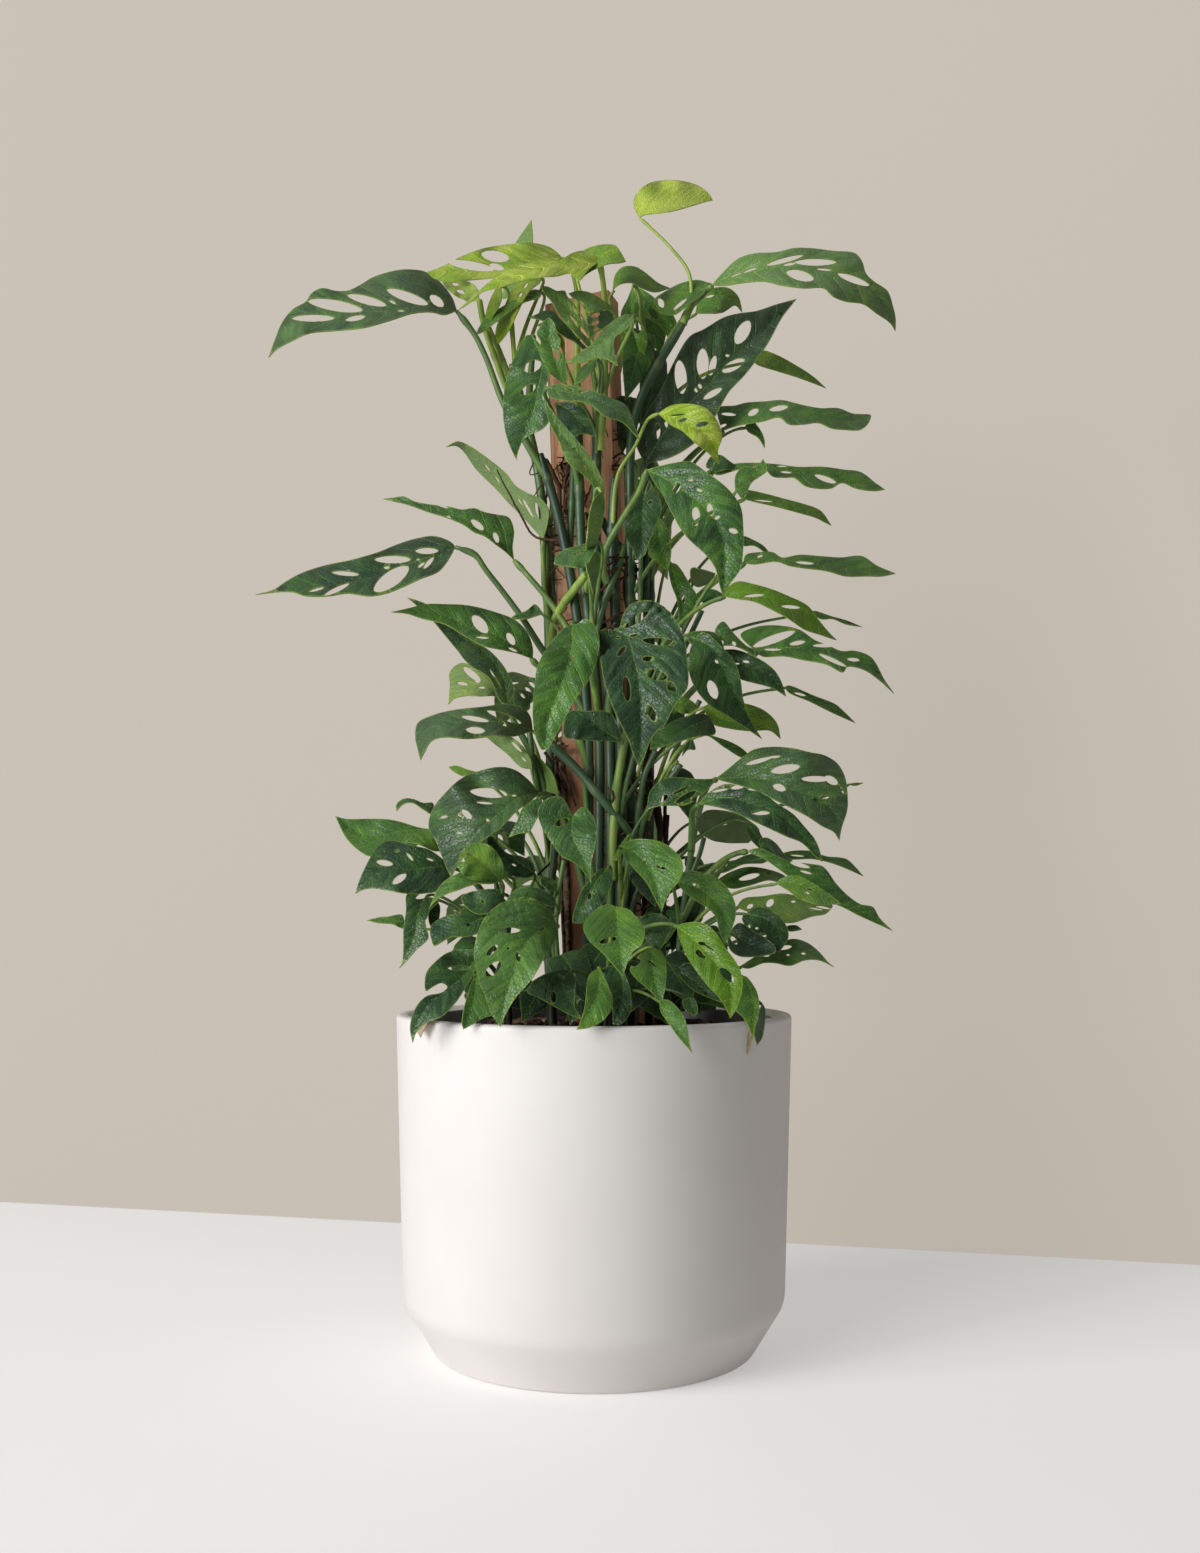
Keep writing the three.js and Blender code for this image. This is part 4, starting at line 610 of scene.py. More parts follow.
            0, 540, 4, 528, 2, 513, -4, 498, -15, 482, -22, 469, -29, 456, -35, 446], "holes": [[-21.5,
            523.5, 4, 1.5, 20], [-17, 514, 5.5, 1.5, 80]]},
        6: {"tone": 0.3, "rib": [-16, 396, -16, 381, -8, 365, -2, 345], "up": [-24, 410, -34, 410, -42,
            401, -40, 390, -33, 378, -24, 366, -13, 360, -6, 352], "down": [-9, 403, -2, 398, 2, 386, 1,
            374, -2, 360], "holes": [[-24, 391.5, 11.5, 5.5, 20]]},
    },
    "vine_centre": {
        0: {"tone": 0.95, "stalk": [8, 746, 8, 783, 6, 802], "rib": [4, 812, -17, 810, -36, 808, -59, 800,
            -78, 794, -90, 786, -101, 776], "up": [0, 817, -9, 820, -17, 818, -24, 814, -40, 812, -53, 810,
            -64, 806, -74, 800, -84, 792, -94, 783], "down": [-4, 806, -11, 798, -18, 803, -28, 801, -44,
            800, -59, 796, -72, 792, -84, 789, -92, 782], "holes": [[-49.5, 811.5, 4, 1.5, 20]]},
        1: {"tone": 0.6, "sheen": 0.25, "rib": [-2, 749, -8, 759, -14, 770, -22, 779, -32, 788, -40, 794],
            "up": [-3, 756, -5, 764, -9, 772, -14, 779, -20, 786, -22, 790, -28, 790, -34, 793], "down":
            [-4, 748, -10, 754, -16, 760, -22, 767, -28, 775, -32, 782, -37, 788], "holes": [[-12.5, 773.5,
            13, 2, -50], [-11, 763, 24, 2.5, -50]]},
        2: {"tone": 0.55, "sheen": 0.2, "rib": [16, 773, 8, 779, 0, 784, -9, 787, -19, 788], "up": [14,
            778, 8, 782, 2, 786, -4, 789, -12, 790], "down": [13, 775, 7, 776, 2, 776, -3, 773, -7, 776,
            -12, 782, -16, 785], "holes": [[-8, 779.5, 7.5, 2, -50]]},
        3: {"tone": 0.14, "rib": [-4, 746, -14, 755, -24, 766, -34, 771, -49, 770], "up": [-10, 752, -15,
            758, -20, 764, -26, 770, -31, 775, -38, 775, -44, 772], "down": [-8, 746, -15, 752, -21, 755,
            -27, 759, -32, 764, -36, 764, -43, 764, -38, 767, -44, 769]},
        4: {"tone": 0.46, "rib": [-22, 720, -26, 730, -31, 744, -34, 757, -34, 770], "up": [-28, 724, -34,
            729, -38, 736, -41, 746, -40, 752, -43, 758, -40, 764, -37, 768], "down": [-20, 724, -21, 732,
            -22, 740, -26, 746, -25, 753, -28, 758, -29, 764, -31, 768], "holes": [[-28.5, 742, 9, 3,
            -60]]},
        5: {"tone": 0.55, "sheen": 0.25, "rib": [30, 772, 18, 762, 7, 752, -7, 742, -22, 736], "up": [22,
            772, 14, 767, 8, 762, 2, 755, -3, 749, -8, 746, -15, 740], "down": [27, 764, 21, 759, 16, 755,
            15, 749, 16, 742, 18, 734, 13, 737, 4, 740, -3, 738, -10, 736]},
        6: {"tone": 0.1, "rib": [18, 535, 24, 532, 28, 523, 30, 514, 33, 502, 34, 494, 35, 477, 35, 456,
            34, 433], "up": [12, 536, 6, 536, 4, 533, 4, 521, 6, 506, 9, 492, 14, 478, 20, 465, 26, 453,
            30, 441], "down": [20, 540, 22, 547, 28, 555, 39, 558, 48, 556, 56, 550, 62, 542, 68, 528, 70,
            514, 71, 500, 70, 492, 64, 484, 58, 474, 54, 466, 47, 460, 42, 452, 38, 441], "holes": [[32,
            543.5, 22, 5, 35], [30, 531.5, 7.5, 2, 10], [49, 527, 25.5, 5.5, -5], [20.5, 519.5, 10, 3.5,
            50], [40.5, 514, 9.5, 4, 0], [46.5, 502, 17, 8, -15], [58, 493, 9.5, 6, -50], [24.5, 491.5, 19,
            6, -85], [43, 473.5, 14.5, 6, -60], [18, 530, 4, 1.5, 0]]},
        7: {"tone": 0.12, "rib": [22, 451, 5, 462, -8, 471, -22, 471], "up": [18, 464, 11, 474, -6, 475,
            -18, 475], "down": [13, 452, -6, 453, -22, 456]},
        8: {"tone": 0.14, "rib": [11, 358, 0, 345, -8, 330, -16, 316], "up": [4, 356, -9, 341, -14, 328,
            -16, 320], "down": [14, 350, 11, 338, 2, 325, -9, 316], "holes": [[-3.5, 336, 3, 5.5, -10],
            [0.5, 339.5, 2, 2.5, 0]]},
    },
    "vine_centre_right": {
        0: {"tone": 0.86, "stalk": [18, 652, 31, 674, 40, 693], "rib": [48, 698, 64, 693, 80, 685, 90, 674,
            94, 660], "up": [58, 704, 74, 705, 84, 702, 90, 696, 94, 689, 96, 680, 93, 670], "down": [57,
            690, 66, 685, 76, 676, 84, 670, 90, 664], "holes": [[63, 697, 11.5, 1.5, 5], [66.5, 693, 7,
            2.5, 20], [81, 690, 10, 3.5, 15]]},
        1: {"tone": 0.3, "stalk": [7, 579, 9, 596, 23, 622, 34, 640], "rib": [40, 656, 57, 647, 70, 638,
            82, 628, 93, 614, 97, 598, 97, 560], "up": [47, 658, 60, 661, 72, 662, 82, 656, 93, 648, 102,
            640, 110, 628, 112, 612, 112, 598, 110, 582, 102, 570], "down": [44, 648, 51, 638, 58, 624, 66,
            610, 76, 599, 84, 592, 91, 582, 94, 570], "holes": [[62, 642, 9, 5, 60], [87, 626, 10, 4.5,
            -80], [76.5, 622.5, 11.5, 6, -85], [76, 615, 4, 2.5, 0], [79, 640.5, 4, 2, -20], [72.5, 648, 4,
            1.5, -5], [92.5, 620, 4.5, 2.5, 30], [104.5, 610, 7, 4, -20]]},
        2: {"tone": 0.48, "rib": [22, 374, 34, 366, 44, 352, 51, 325], "up": [27, 378, 38, 379, 52, 376,
            64, 366, 67, 358, 64, 348, 56, 338, 52, 328], "down": [22, 366, 29, 358, 38, 348, 44, 338, 49,
            328], "holes": [[50.5, 357.5, 9, 2, -15], [38, 361.5, 3, 1.5, -10]]},
        3: {"tone": 0.16, "rib": [40, 401, 54, 406, 72, 418, 92, 424], "up": [42, 414, 52, 424, 66, 425,
            78, 424], "down": [51, 404, 66, 404, 76, 408, 87, 418], "holes": [[52.5, 409.5, 7.5, 4, 40],
            [69, 410.5, 18, 4.5, 30], [76.5, 409.5, 7.5, 2.5, 30], [65.5, 415.5, 14.5, 2, 25]]},
        4: {"tone": 0.2, "rib": [88, 469, 74, 464, 57, 454, 42, 446], "up": [82, 473, 70, 471, 57, 466, 44,
            456], "down": [91, 458, 78, 456, 64, 452, 51, 448]},
    },
    "vine_right_front": {
        0: {"tone": 1, "stalk": [71, 775, 73, 792, 70, 806, 57, 823, 46, 834], "rib": [34, 845, 42, 850,
            58, 854, 74, 857, 89, 858], "up": [30, 854, 32, 863, 40, 870, 53, 873, 68, 872, 80, 868, 86,
            863], "down": [38, 847, 47, 848, 60, 850, 74, 854, 84, 857]},
        1: {"tone": 0.5, "sheen": 0.25, "rib": [88, 794, 104, 802, 124, 806, 146, 808, 166, 804, 185, 801,
            202, 794, 214, 784, 226, 760], "up": [97, 804, 108, 814, 120, 818, 137, 819, 150, 822, 162,
            822, 179, 820, 196, 818, 201, 812, 204, 803, 210, 797, 220, 790, 224, 779, 226, 770], "down":
            [99, 794, 112, 796, 128, 797, 141, 794, 158, 792, 172, 792, 179, 786, 189, 782, 202, 780, 212,
            773, 222, 766], "holes": [[143, 813, 28.5, 4, 15], [166, 811.5, 31.5, 5.5, 0], [154.5, 801.5,
            21.5, 8, -15], [194.5, 798.5, 25.5, 5.5, -20], [172.5, 806, 12, 2, -5], [117, 805.5, 11.5, 2,
            20], [106.5, 802, 9.5, 1.5, 20], [146.5, 810, 9.5, 2.5, 10]]},
        2: {"tone": 0.14, "rib": [42, 647, 38, 636, 36, 616, 36, 599, 32, 588], "up": [34, 644, 25, 630,
            22, 616, 24, 605, 29, 596], "down": [46, 640, 51, 628, 47, 616, 42, 603, 38, 592], "holes":
            [[39.5, 642.5, 10.5, 5.5, 65], [42, 631.5, 4, 2, 30]]},
        3: {"tone": 0.45, "rib": [106, 640, 112, 650, 122, 654, 127, 664], "up": [106, 651, 112, 658, 122,
            658], "down": [112, 634, 118, 646, 130, 656]},
        4: {"tone": 0.42, "rib": [97, 561, 116, 561, 137, 559, 154, 552, 166, 542, 182, 528], "up": [101,
            568, 108, 572, 120, 570, 134, 566, 146, 561, 160, 554, 168, 544, 176, 534], "down": [108, 559,
            120, 557, 135, 550, 146, 544, 158, 536, 170, 532], "holes": [[120, 561.5, 15.5, 2.5, 5],
            [147.5, 553, 14.5, 3, -5]]},
        5: {"tone": 0.2, "rib": [76, 530, 90, 521, 97, 506, 106, 486, 126, 454], "up": [82, 534, 97, 522,
            106, 511, 110, 498, 112, 484, 118, 467], "down": [72, 521, 71, 506, 76, 492, 86, 480, 97, 473,
            108, 466], "holes": [[89, 491, 15, 7.5, -70], [92, 512, 3.5, 2.5, -50]]},
        6: {"tone": 0.16, "rib": [97, 521, 112, 510, 128, 504, 139, 494, 144, 486], "up": [106, 521, 122,
            515, 135, 506, 141, 496], "down": [101, 510, 108, 500, 120, 496, 134, 492], "holes": [[114,
            512, 5, 2, -10], [107.5, 510.5, 3.5, 1.5, 0]]},
    },
    "vine_right": {
        0: {"tone": 0.04, "sheen": 0.08, "rib": [38, 660, 55, 687, 70, 704, 86, 720, 101, 737, 124, 758,
            152, 784], "up": [31, 678, 38, 696, 50, 716, 60, 737, 72, 756, 82, 761, 97, 770, 108, 773, 122,
            775, 137, 780], "down": [57, 665, 70, 672, 82, 682, 91, 696, 101, 714, 114, 728, 130, 750, 141,
            770], "holes": [[111.5, 759, 20, 9.5, 60], [81.5, 735.5, 23, 9, -90], [89, 734, 15.5, 5, 75],
            [104.5, 734, 19, 7.5, 30], [65, 725.5, 25.5, 9, -85], [89, 713, 16, 5, 30], [47.5, 685, 12,
            4.5, -90], [54, 691, 7, 2.5, -80], [100, 741.5, 3, 2, 0], [79.5, 718.5, 4, 2.5, -60], [76.5,
            715.5, 3.5, 2, -60]]},
        1: {"tone": 0.62, "rib": [14, 790, 22, 801, 38, 797, 57, 792], "up": [16, 802, 22, 808, 31, 808,
            38, 804, 48, 796], "down": [18, 794, 28, 796, 36, 792, 46, 789]},
        2: {"tone": 0.55, "rib": [29, 794, 28, 773, 29, 750, 30, 728], "up": [25, 784, 20, 773, 21, 756,
            24, 739], "down": [33, 781, 36, 766, 40, 754, 36, 737], "holes": [[32, 776, 12, 4.5, -85],
            [32.5, 763, 10.5, 6, -85]]},
        3: {"tone": 0.5, "rib": [32, 794, 42, 781, 51, 770, 58, 750], "up": [44, 786, 57, 775, 62, 766, 62,
            756], "down": [36, 773, 46, 766, 51, 762, 56, 754], "holes": [[44.5, 773, 10.5, 5, -50], [50.5,
            781, 7.5, 5, -70]]},
        4: {"tone": 0.38, "sheen": 0.05, "rib": [96, 685, 112, 691, 128, 694, 143, 698, 158, 697, 178, 694,
            192, 692, 208, 696], "up": [93, 702, 106, 704, 114, 706, 128, 707, 141, 708, 150, 706, 158,
            704, 170, 702, 183, 702, 194, 698, 207, 697], "down": [108, 689, 126, 692, 139, 695, 146, 690,
            158, 690, 168, 691, 178, 687, 187, 686, 200, 686, 206, 691], "holes": [[101, 697.5, 11.5, 2.5,
            -5], [119.5, 699, 9, 5, 30], [138.5, 702, 14.5, 4.5, 10], [97, 689, 5.5, 2.5, 20]]},
        5: {"tone": 0.42, "sheen": 0.06, "rib": [88, 654, 108, 658, 132, 657, 154, 653, 178, 650, 196, 646,
            218, 641], "up": [104, 660, 120, 661, 137, 660, 152, 658, 172, 658, 187, 656, 200, 654, 211,
            646], "down": [93, 652, 108, 656, 126, 658, 134, 651, 143, 650, 150, 650, 158, 644, 166, 642,
            178, 642, 186, 646, 196, 642, 210, 640], "holes": [[141, 658.5, 7.5, 1.5, 0], [144, 654, 8.5,
            2, -5], [173.5, 649, 17.5, 4.5, -20], [95.5, 657, 6.5, 1.5, 0]]},
        6: {"tone": 0.45, "sheen": 0.08, "rib": [112, 586, 128, 588, 143, 588, 158, 586, 178, 584, 200,
            580, 226, 578], "up": [114, 592, 124, 594, 134, 594, 141, 590, 154, 592, 170, 591, 185, 590,
            201, 591, 212, 584], "down": [120, 585, 137, 587, 146, 584, 158, 582, 174, 580, 189, 576, 204,
            576, 216, 576], "holes": [[158, 586, 14.5, 2.5, -5], [124.5, 591, 4.5, 2, 20]]},
        7: {"tone": 0.42, "rib": [58, 586, 62, 570, 66, 555, 66, 534], "up": [56, 584, 58, 570, 62, 559,
            64, 544], "down": [62, 585, 72, 570, 78, 559, 72, 546], "holes": [[67, 559, 7, 2.5, -85]]},
        8: {"tone": 0.36, "rib": [122, 519, 141, 522, 158, 522, 178, 521, 196, 515, 212, 504, 225, 488],
            "up": [110, 532, 122, 538, 139, 539, 154, 536, 166, 528, 176, 524, 185, 520, 196, 520, 208,
            515, 218, 498], "down": [126, 516, 143, 516, 158, 513, 174, 510, 187, 504, 190, 508, 202, 506,
            214, 498], "holes": [[135, 529, 33.5, 6.5, 20], [152.5, 526, 12, 3.5, 10], [172.5, 524, 17, 3,
            0], [194.5, 513.5, 9.5, 3, -5], [179, 513, 23, 3.5, -25], [134, 521, 13.5, 2, 0]]},
        9: {"tone": 0.75, "rib": [82, 478, 97, 468, 116, 467, 140, 454], "up": [90, 482, 101, 482, 116,
            480, 128, 475, 137, 466], "down": [88, 466, 101, 462, 116, 460, 132, 460]},
    },
    "vine_right_back": {
        0: {"tone": 0.6, "rib": [76, 773, 88, 784, 99, 786, 111, 774], "up": [79, 784, 90, 792, 101, 792,
            108, 786, 110, 780], "down": [86, 773, 97, 774, 106, 779], "holes": [[87, 786, 7, 2, 15]]},
        1: {"tone": 0.72, "rib": [119, 738, 137, 738, 156, 728, 174, 717], "up": [126, 745, 137, 742, 150,
            735, 164, 726], "down": [122, 735, 137, 730, 150, 726, 164, 721]},
        2: {"tone": 0.66, "rib": [112, 634, 132, 634, 152, 630, 168, 623, 178, 614], "up": [113, 640, 128,
            638, 143, 634, 158, 630, 170, 625], "down": [120, 632, 137, 628, 152, 624, 166, 620, 174, 616],
            "holes": [[127.5, 632.5, 14.5, 1.5, -5]]},
        3: {"tone": 0.3, "rib": [162, 550, 176, 546, 187, 542, 201, 538], "up": [166, 550, 178, 546, 189,
            543], "down": [170, 544, 179, 544, 189, 540]},
        4: {"tone": 0.35, "rib": [143, 493, 158, 486, 178, 477, 196, 466], "up": [146, 494, 166, 486, 181,
            480, 187, 475], "down": [146, 489, 162, 482, 178, 474, 189, 469], "holes": [[154.5, 487.5, 9.5,
            2, -15]]},
        5: {"tone": 0.4, "sheen": 0.15, "rib": [78, 394, 92, 392, 106, 386, 116, 376], "up": [84, 400, 98,
            400, 111, 396, 124, 385], "down": [78, 385, 89, 378, 102, 376, 111, 376], "holes": [[96, 390,
            8, 2, 5]]},
        6: {"tone": 0.35, "rib": [140, 368, 156, 368, 174, 365, 189, 360, 202, 351], "up": [149, 370, 162,
            370, 174, 366, 189, 364, 196, 358], "down": [147, 364, 164, 364, 178, 361, 191, 356], "holes":
            [[152.5, 366.5, 11, 1.5, -5], [158, 362, 9, 1.5, -10]]},
        7: {"tone": 0.42, "rib": [92, 348, 109, 350, 127, 354, 147, 348], "up": [102, 354, 116, 358, 131,
            356, 142, 352], "down": [102, 342, 116, 344, 131, 348, 142, 346], "holes": [[116.5, 350.5,
            16.5, 4.5, 15], [112.5, 349.5, 7.5, 1.5, 0]]},
    },
    "vine_low_right": {
        0: {"tone": 0.24, "sheen": 0.1, "rib": [91, 424, 111, 425, 131, 423, 149, 416, 167, 408, 180, 398,
            184, 378], "up": [100, 431, 111, 440, 120, 446, 134, 448, 149, 447, 162, 444, 172, 442, 182,
            436, 188, 426, 190, 414, 190, 401, 186, 388], "down": [106, 420, 120, 416, 132, 410, 146, 403,
            160, 396, 172, 388, 180, 384], "holes": [[135, 440.5, 10, 2, 5], [123.5, 437.5, 20, 3.5, 15],
            [143.5, 431.5, 22, 6.5, 10], [166.5, 424, 22, 4.5, 0], [178, 423, 11, 6, -30], [139, 417.5, 10,
            5.5, -20], [172.5, 410.5, 7.5, 2.5, -5], [186, 415.5, 5.5, 1.5, -70]]},
        1: {"tone": 0.14, "rib": [78, 405, 98, 410, 116, 406, 134, 400, 149, 388, 171, 362], "up": [84,
            412, 98, 420, 112, 418, 127, 413, 138, 405, 149, 398, 158, 388, 166, 378, 170, 368], "down":
            [87, 404, 102, 400, 116, 394, 129, 388, 144, 381, 156, 376, 166, 366], "holes": [[125, 398.5,
            14, 3.5, 0], [108, 418, 11, 3.5, 10], [120, 416, 9.5, 2, -5], [94.5, 415.5, 12.5, 2, 10]]},
        2: {"tone": 0.4, "rib": [114, 370, 134, 361, 156, 346, 178, 330, 200, 323, 224, 310], "up": [124,
            372, 138, 366, 149, 362, 164, 360, 172, 358, 182, 345, 191, 336, 200, 330, 209, 328, 214, 320],
            "down": [129, 363, 142, 354, 156, 343, 171, 334, 186, 328, 200, 321, 211, 316], "holes":
            [[154.5, 359.5, 15.5, 3.5, -15], [159, 354, 9, 2, -15]]},
        3: {"tone": 0.6, "sheen": 0.06, "rib": [136, 346, 149, 346, 166, 340, 186, 330], "up": [144, 351,
            154, 351, 164, 346, 176, 338], "down": [146, 340, 154, 334, 167, 330, 178, 330], "holes":
            [[162, 341, 6, 1.5, -25], [160, 338.5, 3.5, 1.5, -20]]},
        4: {"tone": 0.7, "sheen": 0.2, "tilt": 62, "rib": [107, 328, 129, 332, 151, 330, 179, 328], "up":
            [112, 334, 127, 336, 142, 338, 156, 335, 171, 332, 178, 330], "down": [114, 325, 131, 320, 147,
            316, 164, 321, 174, 323], "holes": [[132, 331, 7.5, 5, 50], [149.5, 332, 3.5, 2, 0], [172,
            327.5, 12, 2, -10], [132.5, 323, 6, 2, -40], [117, 328.5, 5.5, 3.5, 30], [166.5, 326.5, 11,
            1.5, -10]]},
        5: {"tone": 0.12, "rib": [114, 323, 127, 320, 138, 310, 138, 294], "up": [120, 328, 132, 326, 142,
            318, 146, 306, 142, 298], "down": [111, 320, 116, 310, 126, 301, 132, 296], "holes": [[122,
            312, 2.5, 2, 0], [116.5, 312.5, 2, 4.5, 0], [126.5, 307, 6, 3, -15]]},
        6: {"tone": 0.06, "rib": [102, 310, 112, 303, 126, 296, 136, 293], "up": [109, 316, 120, 310, 131,
            303, 136, 298], "down": [100, 305, 102, 296, 109, 291, 124, 291], "holes": [[105, 303, 7.5,
            3.5, -55]]},
        7: {"tone": 0.4, "sheen": 0.06, "rib": [109, 283, 131, 290, 149, 294, 167, 290, 180, 283], "up":
            [126, 294, 138, 300, 149, 304, 160, 301, 169, 294, 176, 286], "down": [116, 282, 127, 286, 136,
            286, 147, 284, 158, 288, 169, 288], "holes": [[143, 297.5, 11, 3.5, 10], [129, 291.5, 5.5, 2,
            -5], [157, 293, 3.5, 2, 0], [145.5, 292, 3, 1.5, 0]]},
        8: {"tone": 0.5, "rib": [62, 348, 76, 343, 91, 332, 98, 320, 98, 299], "up": [69, 355, 80, 354, 92,
            350, 101, 341, 106, 330, 106, 320, 102, 308], "down": [66, 341, 74, 334, 84, 328, 91, 321, 94,
            310], "holes": [[78, 343.5, 9, 2.5, -25]]},
        9: {"tone": 0.5, "rib": [112, 276, 118, 265, 120, 248, 119, 230], "up": [114, 276, 122, 265, 124,
            254, 123, 243], "down": [106, 252, 112, 245, 116, 238]},
        10: {"tone": 0.1, "rib": [126, 256, 126, 245, 122, 224], "up": [128, 252, 128, 241, 126, 230],
            "down": [122, 243, 120, 232]},
        11: {"tone": 0.14, "rib": [62, 281, 76, 272, 87, 261, 96, 256], "up": [69, 286, 80, 281, 87, 270,
            94, 261], "down": [64, 276, 74, 266, 86, 260]},
    },
    "vine_low_front": {
        0: {"tone": 0.3, "rib": [62, 314, 78, 301, 91, 286, 102, 268, 102, 244], "up": [69, 316, 82, 316,
            92, 308, 98, 298, 107, 286, 111, 276, 111, 265, 107, 252], "down": [64, 305, 69, 292, 76, 281,
            86, 268, 94, 260, 100, 250], "holes": [[81, 300.5, 6, 3, -10], [79, 293, 7.5, 4.5, -50], [86.5,
            297.5, 9, 1.5, -30], [99.5, 277, 14.5, 6.5, -45], [82, 290.5, 3.5, 3, -30]]},
        1: {"tone": 0.5, "rib": [17, 328, 18, 314, 20, 296, 22, 276], "up": [9, 330, -2, 323, -8, 314, -4,
            303, 6, 294, 14, 285, 20, 278], "down": [26, 326, 32, 320, 38, 310, 36, 300, 29, 294, 24, 283],
            "holes": [[10.5, 303, 14, 4.5, 15]]},
        2: {"tone": 0.52, "rib": [44, 298, 44, 285, 47, 268, 50, 252], "up": [51, 294, 54, 285, 54, 272,
            52, 260], "down": [34, 292, 27, 281, 32, 274, 42, 265, 48, 258], "holes": [[31, 286.5, 8.5, 6,
            30], [43.5, 285.5, 9, 2, -40]]},
        3: {"tone": 0.36, "rib": [49, 258, 54, 246, 64, 234, 74, 218], "up": [56, 258, 66, 248, 70, 238,
            72, 225], "down": [50, 250, 56, 241, 62, 232, 68, 225]},
        4: {"tone": 0.2, "rib": [-18, 280, -24, 272, -18, 258, -9, 243], "up": [-24, 281, -36, 278, -46,
            272, -50, 264, -42, 260, -31, 254, -20, 248], "down": [-14, 274, -14, 263, -14, 252, -10, 246],
            "holes": [[-30.5, 260.5, 9, 4, -85], [-41, 277.5, 11, 2, 30], [-24.5, 275.5, 4.5, 2, -20]]},
        5: {"tone": 0.5, "rib": [4, 283, 4, 268, -2, 252, -13, 236], "up": [-4, 276, -6, 261, -8, 248],
            "down": [11, 268, 14, 256, 9, 245, -2, 238]},
    },
}

# Smaller leaves in the same form. leaf: height of the joint on the stem, depth of the base and
# of the tip, tilt, arch. dry marks a brown scrap that has no petiole.

